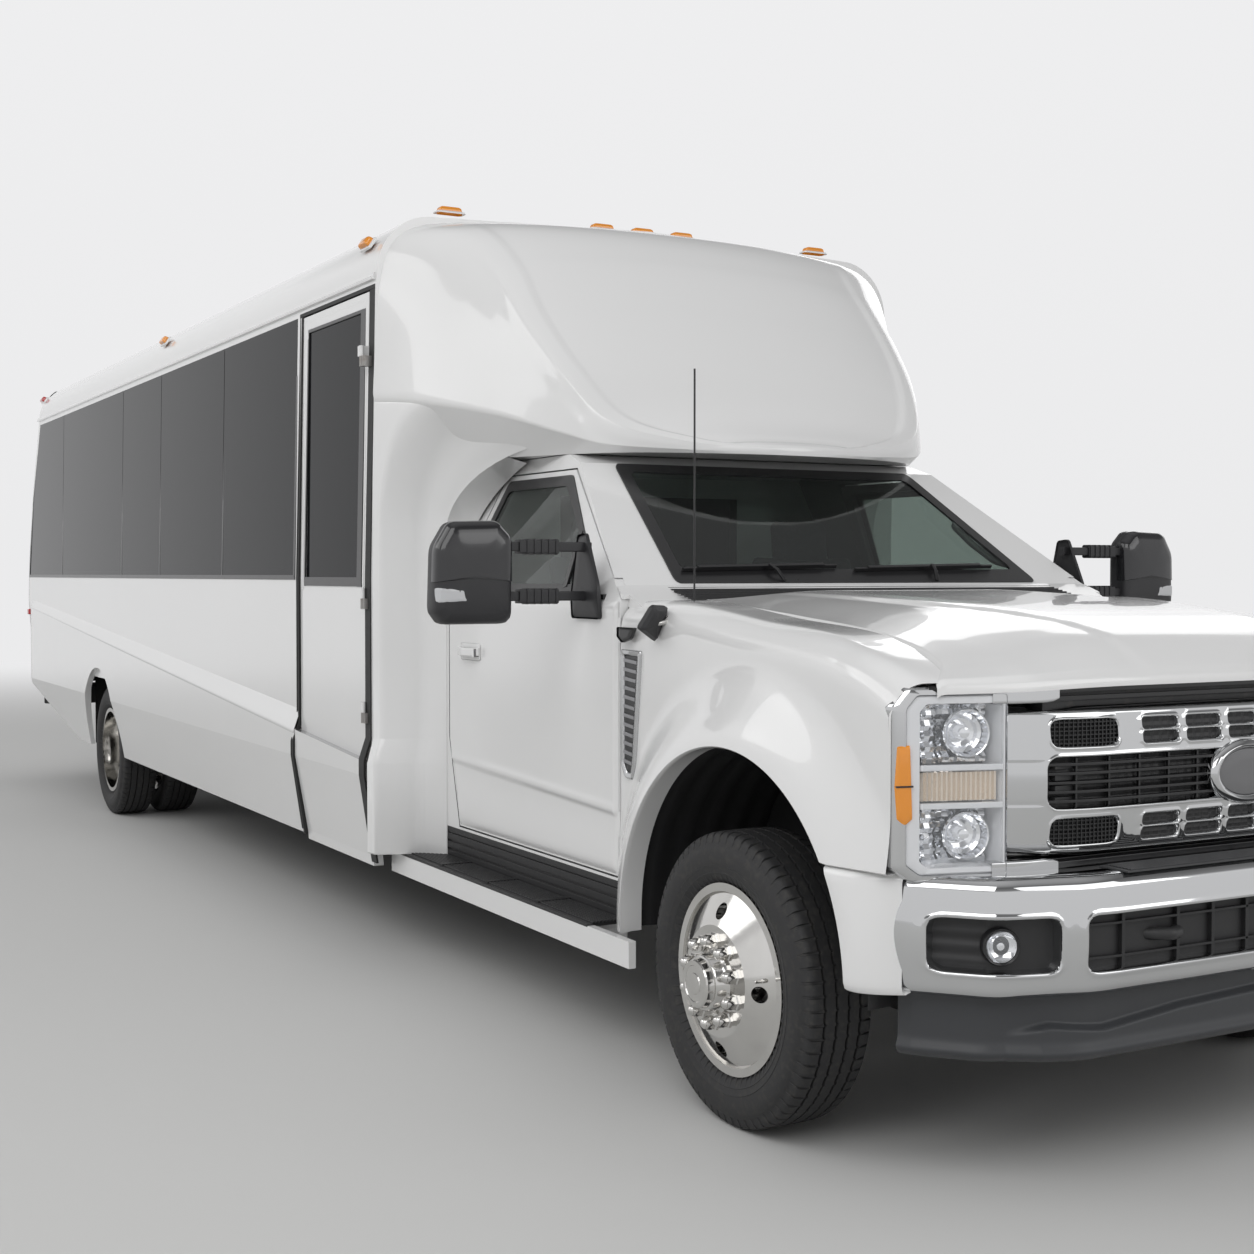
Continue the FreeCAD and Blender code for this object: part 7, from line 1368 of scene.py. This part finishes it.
pad_ribs = [crossbar(ahead_by, 0.50, BUMPER_HIGH + 0.0035, bar(0.007, 0.005))
            for ahead_by in np.linspace(0.868, 0.944, 8)]
pad_ribs.append(crossbar(0.906, 0.515, BUMPER_HIGH + 0.001, bar(0.096, 0.004)))
tread_grey = grained(finish("tread_grey", (0.055, 0.056, 0.058), 0.55), 0.001, 0.0002, 0.08)
mesh_piece("bumper_tread", pad_ribs, tread_grey, "chassis")
end_z = np.concatenate([[BUMPER_LOW + 0.010, BUMPER_LOW, BUMPER_LOW + 0.006],
                        np.linspace(BUMPER_LOW + 0.02, 0.780, 16), [0.794, 0.800, 0.798]])
end_in = np.concatenate([[0.04, 0.012, 0.004], np.zeros(16), [0.004, 0.012, 0.03]])
arch_edge = ARCH_AHEAD + np.sqrt(ARCH_RADIUS ** 2 - (end_z - ARCH_HEIGHT).clip(0) ** 2)
share = np.linspace(0, 1, 14)
end_x = arch_edge[:, None] + (0.716 - arch_edge)[:, None] * share
end_y = FLARE_OUT - 0.004 - (FLARE_OUT - 1.012) * share ** 2.1 - end_in[:, None]
end_grid = np.stack([AXLE + end_x, -end_y, np.broadcast_to(end_z[:, None], end_x.shape)], -1)
end_lip = np.stack([end_grid[:, 0] + (0.002, back, 0) for back in (0.070, 0.035, 0.006)], 1)
end_cap = np.concatenate([end_lip, end_grid], 1)
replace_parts(mesh_piece("bumper_end_caps", both([(end_cap, False, False)]), white_paint, "chassis",
                       crease=45), "bumper_ends")

# Air dam: a flexible black-grey moulding clipped on below the bumper, with a step along its face and a
# lower lip that swells out.
dam_plastic = grained(finish("dam_plastic", (0.040, 0.042, 0.046), 0.45), 0.0012, 0.0002, 0.08)
DAM_LOW, DAM_HIGH = 0.350, 0.516
DAM_PLAN = [(0.920, -0.1), (0.920, 0.35), (0.918, 0.62), (0.832, 0.850), (0.700, 0.965), (0.660, 0.985)]
dam_plan = soft(DAM_PLAN, 0.09, 4, closed=False)
dam_plan = dam_plan[dam_plan[:, 1] >= 0]
dam_out = outward_of(dam_plan)
z = np.concatenate([[DAM_LOW + 0.006], np.linspace(DAM_LOW, DAM_HIGH, 60)])
half = dam_plan[:, 1][:, None]
crest = np.interp(half, (0.0, 0.30, 0.55, 0.70, 1.0), (0.462, 0.450, 0.425, 0.440, 0.380))
swell = 0.022 * (1 - step_up(z[None], crest - 0.012, crest + 0.006))
swell = swell * np.interp(half, (0.0, 0.72, 0.80), (1, 1, 0))
lower_lip = 0.012 * np.exp(-((z[None] - DAM_LOW - 0.022) / 0.016) ** 2)
out = -0.018 + swell + lower_lip - 0.012 * np.exp(-(z[None] - DAM_LOW) / 0.006)
out[:, 0] = -0.045
dam = np.stack([AXLE + dam_plan[:, :1] + dam_out[:, :1] * out, -(dam_plan[:, 1:] + dam_out[:, 1:] * out),
                np.broadcast_to(z, out.shape)], -1)
end_turn = np.stack([dam[-1], dam[-1] + (-0.02, 0.03, 0)])
dam_patches = both([(dam, False, False), (end_turn, False, False)])
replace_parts(mesh_piece("air_dam_lip", dam_patches, dam_plastic, "chassis", crease=50),
            "air_dam")

# Cab steps: a ribbed tread of black plastic pressed on the running board, with three crossbars, and a
# ribbed black riser behind it.
STEP_TOP, STEP_REAR, STEP_FRONT = 0.440, 2.215, 0.665


def along_step(half, height, section):
    """A straight bar along the right running board."""
    return swept([(AXLE - STEP_REAR, -half, height), (AXLE - STEP_FRONT, -half, height)], section)


tread = [along_step(half, STEP_TOP + 0.007, bar(0.008, 0.008)) for half in np.linspace(1.008, 1.108, 9)]
tread.append(along_step(1.060, STEP_TOP + 0.001, bar(0.142, 0.010)))
tread += [swept([(AXLE - behind, -half, STEP_TOP + 0.009) for half in (0.998, 1.116)], bar(0.030, 0.009))
          for behind in (1.05, 1.45, 1.85)]
tread += [along_step(0.994, height, bar(0.010, 0.024)) for height in (0.458, 0.490, 0.522, 0.550)]
tread.append(along_step(0.990, 0.500, bar(0.006, 0.120)))
mesh_piece("cab_step_treads", both(tread), moulded_black, "chassis")

# Inside: a glued grey vinyl floor, a grained dashboard moulding with the steering wheel, and a grab handle
# screwed to the left windscreen post.
floor_vinyl = grained(finish("floor_vinyl", (0.10, 0.10, 0.105), 0.5), 0.003, 0.0003, 0.1,
                      other=(0.16, 0.16, 0.16), cover=0.55)
trim_plastic = grained(finish("trim_plastic", (0.045, 0.045, 0.05), 0.6), 0.0015, 0.0003, 0.08)
dress(floor_vinyl, "floor", "entry_steps")
dress(trim_plastic, "dashboard")
handle = [(AXLE - 0.90, 0.742, 1.545), (AXLE - 0.93, 0.700, 1.560), (AXLE - 1.02, 0.668, 1.625),
          (AXLE - 1.10, 0.652, 1.690), (AXLE - 1.13, 0.690, 1.712)]
handle_grey = finish("handle_grey", (0.30, 0.30, 0.31), 0.5)
mesh_piece("grab_handle", [swept(soft(handle, 0.03, 3, closed=False), round_bar(0.013, 12))], handle_grey,
           "chassis")

# Seats: steel legs and frames with foam cushions under woven covers, two to a bench, seven benches on
# each side of the aisle, and two single seats in the cab.
seat_cloth = grained(finish("seat_cloth", (0.055, 0.057, 0.066), 0.85), 0.0016, 0.0005, 0.06,
                     other=(0.085, 0.088, 0.10), cover=0.5, stretch=(1, 1, 2.5))
seat_steel = grained(finish("seat_steel", (0.06, 0.06, 0.062), 0.4, metallic=0.5), 0.004, 0.0002, 0.08)
SEAT_DEPTH, CUSHION_THICK, BACK_THICK, BACK_LEAN = 0.47, 0.12, 0.09, 0.12
PAD_ROWS = [(0.0, 1.0), (0.25, 0.99), (0.5, 0.95), (0.72, 0.86), (0.86, 0.72), (0.95, 0.52), (1.0, 0.22),
            (1.008, 0.10), (1.012, 0.06), (1.0, -0.02), (0.99, -0.25), (0.94, -0.45), (0.8, -0.55),
            (0.5, -0.6), (0.0, -0.62)]
CHANNELS, CHANNEL_DEPTH = 3, 0.006


def pad(centre, across, up, width, length, thick):
    """A stuffed form: rings of a rounded rectangle whose sides are drawn in between the corners.

    The rings rise to a crown; sewn channels press the crown in by depth * exp(-(d / 8 mm)^2), where d is
    the distance from the nearest seam, and a welt runs round the widest ring.
    """
    across, up = np.asarray(across, float), np.asarray(up, float)
    out = np.cross(across, up)
    line = soft(np.array([(-1, -1), (1, -1), (1, 1), (-1, 1)]) * (width / 2, length / 2), 0.075, 2)
    part = line / (width / 2, length / 2)
    line = line * (1 - 0.035 * (1 - part[:, ::-1] ** 2).clip(0))
    rows = []
    for share, rise in PAD_ROWS:
        ring = line * share
        seam = (ring[:, 0] / width + 0.5) * CHANNELS
        apart = abs(seam - np.round(seam)) * width / CHANNELS
        press = CHANNEL_DEPTH * np.exp(-(apart / 0.008) ** 2) * (share < 0.9) * (rise > 0)
        level = thick / 2 * rise - press
        rows.append(np.asarray(centre) + ring[:, :1] * across + ring[:, 1:] * up + level[:, None] * out)
    return np.stack(rows), False, True


lean = np.array((-BACK_LEAN, 0.0, 1.0)) / math.hypot(BACK_LEAN, 1.0)


def stuffed(name, form):
    """One cushion, back or headrest of foam under cloth."""
    mesh_piece(name, [form], seat_cloth, "chassis", crease=80)


def seat(name, front, side_at, width, floor_at, cushion_top, back_top):
    """A cushion and a back as two stuffed pieces; front is ahead of the axle, heights are over the floor."""
    base = (AXLE + front - SEAT_DEPTH / 2, side_at, floor_at + cushion_top - 0.5 * CUSHION_THICK)
    rise = back_top - cushion_top + 0.02
    foot = np.array((AXLE + front - SEAT_DEPTH - 0.01, side_at, floor_at + cushion_top - 0.02))
    back = foot + lean * rise / 2
    stuffed(name + "_cushion", pad(base, (0, -1, 0), (1, 0, 0), width, SEAT_DEPTH, CUSHION_THICK))
    stuffed(name + "_back", pad(back, (0, 1, 0), lean, width, rise, BACK_THICK))


BENCH_FLOOR, BENCH_TOP, BENCH_BACK = 0.920, 0.440, 1.120
BENCH_ROWS, FIRST_ROW, ROW_PITCH = 7, -3.6, 0.78
BENCH_MIDDLE, SEAT_OFFSET, SEAT_WIDTH = 0.705, 0.215, 0.425
BENCH_RAIL, LEG_AT, LEG_BEHIND, LEG_BAR = (0.30, 1.11), 0.46, (0.09, 0.39), bar(0.035, 0.030)
BACK_POSTS, BACK_POST_LONG = (0.32, BENCH_MIDDLE, 1.09), 0.62
under = BENCH_FLOOR + BENCH_TOP - CUSHION_THICK
legs = []
for row in range(BENCH_ROWS):
    front = FIRST_ROW - ROW_PITCH * row
    for key, side in SIDES:
        for place, offset in (("aisle", -SEAT_OFFSET), ("wall", SEAT_OFFSET)):
            seat("seat_%d_%s_%s" % (row + 1, key, place), front, side * (BENCH_MIDDLE + offset), SEAT_WIDTH,
                 BENCH_FLOOR, BENCH_TOP, BENCH_BACK)
        for behind in LEG_BEHIND:
            leg = [(AXLE + front - behind, side * LEG_AT, z) for z in (BENCH_FLOOR, under)]
            legs.append(swept([(leg[0][0], side * y, under) for y in BENCH_RAIL], LEG_BAR))
            legs.append(swept(leg, LEG_BAR, up=(0, 1, 0)))
        runner = [(AXLE + front - behind, side * LEG_AT, BENCH_FLOOR + 0.012) for behind in (0.02, 0.46)]
        legs.append(swept(runner, bar(0.06, 0.024)))
        for post_y in BACK_POSTS:
            post = np.array((AXLE + front - SEAT_DEPTH - 0.055, side * post_y, under))
            legs.append(swept([post, post + lean * BACK_POST_LONG], bar(0.022, 0.022), up=(0, 1, 0)))
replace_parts(mesh_piece("seat_frames", legs, seat_steel, "chassis"), "passenger_seats")
CAB_FLOOR, CAB_SEAT_TOP, CAB_SEAT_BACK = 0.860, 0.330, 0.880
CAB_SEAT_FRONT, CAB_SEAT_AT, CAB_SEAT_WIDTH = -1.28, 0.45, 0.48
PEDESTAL_BEHIND, PEDESTAL_TOP = 1.515, CAB_FLOOR + CAB_SEAT_TOP - 0.11
pedestals = []
for key, side in (("driver", 1), ("guest", -1)):
    seat("seat_cab_" + key, CAB_SEAT_FRONT, side * CAB_SEAT_AT, CAB_SEAT_WIDTH, CAB_FLOOR, CAB_SEAT_TOP,
         CAB_SEAT_BACK - 0.16)
    rest_at = np.array((AXLE + CAB_SEAT_FRONT - SEAT_DEPTH - 0.08, side * CAB_SEAT_AT,
                        CAB_FLOOR + CAB_SEAT_BACK - 0.10))
    stuffed("seat_cab_%s_headrest" % key, pad(rest_at, (0, 1, 0), lean, 0.26, 0.17, 0.09))
    for offset in (-0.05, 0.05):
        rod_foot = rest_at + (0, offset, -0.16)
        pedestals.append(swept([rod_foot, rod_foot + lean * 0.12], round_bar(0.006, 8), up=(0, 1, 0)))
    pedestal = [(AXLE - PEDESTAL_BEHIND, side * CAB_SEAT_AT, z) for z in (CAB_FLOOR, PEDESTAL_TOP)]
    pedestals.append(swept(pedestal, bar(0.34, 0.32), up=(0, 1, 0)))
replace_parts(mesh_piece("cab_seat_frames", pedestals, seat_steel, "chassis"), "cab_seats")

# Roof and side lamps: moulded amber and red lenses on small white bases, screwed to the roof's front
# edge, the cantrails and the sides.
MARKER_BEHIND, MARKERS_ACROSS = 2.330, (-0.87, -0.19, 0.0, 0.19, 0.87)
# Each cantrail lamp: behind the axle, half width, and whether its lens is amber.
CANTRAIL_LAMPS = ((2.42, 1.172, True), (5.60, 1.172, True), (9.26, 1.160, False))
CANTRAIL_LAMP_HEIGHT = 2.795


def dome(centre, along, out, length, width, height, flat=0.55):
    """A lens: rings of a rounded oblong that shrink as they rise over its base."""
    along, out = np.asarray(along, float), np.asarray(out, float)
    across = np.cross(out, along)
    line = soft(np.array([(-1, -1), (1, -1), (1, 1), (-1, 1)]) * (length / 2, width / 2), 0.45 * width, 3)
    rows = [(1.0, -0.12), (1.0, 0.30), (0.97, 0.60), (0.90, 0.82), (0.76, 0.95), (flat, 1.0), (0.0, 1.0)]
    face = line[:, :1] * along + line[:, 1:] * across
    grid = np.stack([np.asarray(centre) + share * face + rise * height * out for share, rise in rows])
    return grid, False, True


red_lens = finish("red_lens", (0.50, 0.012, 0.012), 0.12, coat=0.8)
markers_at = [(AXLE - MARKER_BEHIND, across_at, ROOF_HEIGHT + 0.001) for across_at in MARKERS_ACROSS]
roof_lamps = [dome(place, (0, 1, 0), (0, 0, 1), 0.098, 0.038, 0.026) for place in markers_at]
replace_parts(mesh_piece("roof_markers", roof_lamps, amber_lens, "chassis"), "marker_lamps")
bases = [dome(place, (0, 1, 0), (0, 0, 1), 0.124, 0.050, 0.008, 0.8) for place in markers_at]
amber_side, red_side = [], []
for behind, half, amber in CANTRAIL_LAMPS:
    place = (AXLE - behind, -half, CANTRAIL_LAMP_HEIGHT)
    lens = dome(place, (1, 0, 0), (0, -0.85, 0.53), 0.095, 0.038, 0.030)
    (amber_side if amber else red_side).append(lens)
    for side in (-1, 1):
        base_at = (AXLE - behind, side * half, CANTRAIL_LAMP_HEIGHT)
        bases.append(dome(base_at, (1, 0, 0), (0, side * 0.85, 0.53), 0.120, 0.052, 0.010, 0.8))
amber_side.append(dome((AXLE - 6.06, -1.2275, 1.020), (1, 0, 0), (0, -1, 0), 0.085, 0.042, 0.014))
red_side.append(dome((AXLE - 9.60, -1.2275, 1.230), (1, 0, 0), (0, -1, 0), 0.070, 0.042, 0.014))
mesh_piece("side_lamps_amber", both(amber_side), amber_lens, "chassis")
mesh_piece("side_lamps_red", both(red_side), red_lens, "chassis")
mesh_piece("lamp_bases", bases, white_paint, "chassis")

# Rear: a glass-fibre cap with rounded corners that leans in above and below its knuckle, a bonded window
# in a rubber trim, lens stacks in black surrounds, a high stop lamp and a black step bumper.
# Columns: height, how far back the middle lies, half width of the wall beside it.
REAR = np.array([(0.700, -5.120, 1.222), (1.000, -5.236, 1.225), (1.270, -5.340, 1.225),
                 (1.320, -5.352, 1.225), (1.380, -5.348, 1.225), (2.020, -5.208, 1.214),
                 (2.130, -5.170, 1.211), (2.600, -4.949, 1.199), (2.700, -4.906, 1.194),
                 (2.800, -4.870, 1.156), (2.870, -4.845, 1.064), (2.900, -4.834, 0.930)])
CORNER, CORNER_SHIFT = 0.125, 0.100
REAR_CROWN, REAR_LIMIT = 0.008, -5.3595
rear_z = np.unique(np.concatenate([np.linspace(0.700, 1.25, 24), np.linspace(1.25, 1.42, 22),
                                   np.linspace(1.42, 1.98, 14), np.linspace(1.98, 2.20, 16),
                                   np.linspace(2.20, 2.900, 30)]))
back_x, wall_y = smooth_columns(REAR, rear_z).T
wall_y = wall_y + 0.0008
turn = np.linspace(0, np.pi / 2, 14)
flat = np.linspace(-1, 1, 41)[1:-1]
corner_y, corner_x = 1 - np.sin(turn), 1 - np.cos(turn)
corners_right = np.stack([CORNER * corner_x - wall_y[:, None], back_x[:, None] + CORNER_SHIFT * corner_y], 2)
middle_y = (wall_y[:, None] - CORNER) * flat
middle = np.stack([middle_y, np.broadcast_to(back_x[:, None], middle_y.shape)], 2)
plan = np.concatenate([corners_right, middle, corners_right[:, ::-1] * (-1, 1)], 1)
bend_in = REAR_CROWN * (1 - (plan[..., 0] / wall_y[:, None]) ** 2)
rear_grid = np.stack([np.maximum(plan[..., 1] - bend_in, REAR_LIMIT), plan[..., 0],
                      np.broadcast_to(rear_z[:, None], plan.shape[:2])], -1)
first_rows = np.stack([rear_grid[0] + (0.06, 0, 0.0), rear_grid[0] + (0.012, 0, -0.004)])
last_rows = np.stack([rear_grid[-1] + (0.012, 0, 0.001), rear_grid[-1] + (0.06, 0, -0.012)])
rear_form = np.concatenate([first_rows, rear_grid, last_rows])
mesh_piece("rear_cap", [(rear_form, False, False)], white_paint, "chassis", crease=60)


def rear_at(y, z):
    """How far back the cap's surface lies at a place across and a height."""
    return np.maximum(np.interp(z, rear_z, back_x) - REAR_CROWN * (1 - (y / 1.2) ** 2), REAR_LIMIT)


def rear_place(line, level, side=1):
    """Points (half width, height) laid on the rear cap and lifted off it."""
    line = np.asarray(line, float)
    return np.stack([rear_at(line[..., 0], line[..., 1]) - level, side * line[..., 0], line[..., 1]], -1)


WINDOW = soft([(-0.62, 1.45), (0.62, 1.45), (0.62, 1.99), (-0.62, 1.99)], 0.06)
WINDOW_TRIM = soft([(-0.650, 1.422), (0.650, 1.422), (0.650, 2.018), (-0.650, 2.018)], 0.075)
WINDOW_ROWS = [(0.0, -0.004), (0.0, 0.005), (0.2, 0.008), (0.8, 0.008), (1.0, 0.004), (1.0, -0.004)]
across, up = np.meshgrid(np.linspace(-0.60, 0.60, 21), np.linspace(1.47, 1.97, 11))
pane = np.stack([rear_at(across, up) - 0.003, across, up], -1)
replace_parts(mesh_piece("rear_pane", [(pane, False, False), plate(WINDOW, rear_place, 0.0020, 0.002, 0.004)],
                       dark_glass, "chassis"), "rear_glass")
mesh_piece("rear_window_trim", [rim(WINDOW_TRIM, WINDOW, WINDOW_ROWS, rear_place)], seal_rubber, "chassis",
           crease=50)
# Each stack's lenses by height: the red ones, and the clear one between them.
RED_LENSES, CLEAR_LENSES = ((1.130, 1.216), (0.924, 1.024)), ((1.030, 1.124),)


def stack_lenses(heights):
    """Raised oblong lenses of the right lamp stack and their mirror images."""
    return both([plate(oblong(0.897, 1.023, low_z, high_z, 0.014), rear_place, 0.018, 0.007, 0.010)
                 for low_z, high_z in heights])


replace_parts(mesh_piece("tail_lenses", stack_lenses(RED_LENSES), red_lens, "chassis"),
            "tail_lamps")
surround = plate(oblong(0.885, 1.035, 0.912, 1.228, 0.025), rear_place, 0.010, 0.004, 0.020)
mesh_piece("tail_surrounds", both([surround]), trim_black, "chassis")
mesh_piece("reversing_lenses", stack_lenses(CLEAR_LENSES), clear_lens, "chassis")
stop_lamp = plate(oblong(-0.18, 0.18, 2.56, 2.60, 0.014), rear_place, 0.016, 0.006, 0.02)
mesh_piece("high_stop_lamp", [stop_lamp], red_lens, "chassis")
PLATE_ROWS = [(0.0, -0.003), (0.0, 0.004), (0.6, 0.007), (1.0, 0.003), (1.0, -0.004)]
plate_rim = rim(oblong(-0.20, 0.20, 0.80, 0.97, 0.02), oblong(-0.17, 0.17, 0.82, 0.95, 0.015), PLATE_ROWS,
                rear_place)
mesh_piece("plate_frame", [plate_rim], trim_black, "chassis")
REAR_BEAM = [(-0.115, -0.065), (-0.105, -0.070), (0.105, -0.070), (0.115, -0.062), (0.115, 0.060),
             (0.108, 0.068), (-0.108, 0.068), (-0.115, 0.060)]
REAR_BEAM_PLAN = [(-5.000, -1.055, 0.610), (-5.065, -1.020, 0.610), (-5.065, 1.020, 0.610),
                  (-5.000, 1.055, 0.610)]
STEP_BEHIND, STEP_HALF, STEP_RIBS_TOP = 9.445, 0.90, 0.682
rear_steps = [swept(soft(REAR_BEAM_PLAN, 0.05, 3, closed=False), soft(REAR_BEAM, 0.012, 2))]
rear_steps += [crossbar(offset - STEP_BEHIND, STEP_HALF, STEP_RIBS_TOP, bar(0.010, 0.006))
               for offset in np.linspace(-0.075, 0.075, 7)]
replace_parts(mesh_piece("rear_step_bumper", rear_steps, moulded_black, "chassis", crease=45),
            "rear_bumper")

# Panel ends: short fairings of white sheet that bring the proud lower panels back to the wall ahead of the
# rear corner.
end_z = np.array([0.700, 0.740, 0.860, 1.000, 1.150, 1.275, 1.290, 1.316])
end_half = np.array([1.2470, 1.2545, 1.2545, 1.2545, 1.2545, 1.2550, 1.2450, 1.2270])
fall = np.linspace(0, 1, 12)
end_y = 1.2235 + (end_half - 1.2235)[:, None] * (1 - step_up(fall, 0.0, 1.0))
end_x = np.broadcast_to(PANEL_REAR + 0.004 - 0.082 * fall, end_y.shape)
end_grid = np.stack([end_x, end_y, np.broadcast_to(end_z[:, None], end_y.shape)], -1)
mesh_piece("panel_ends", both([(end_grid, False, False)]), white_paint, "chassis")
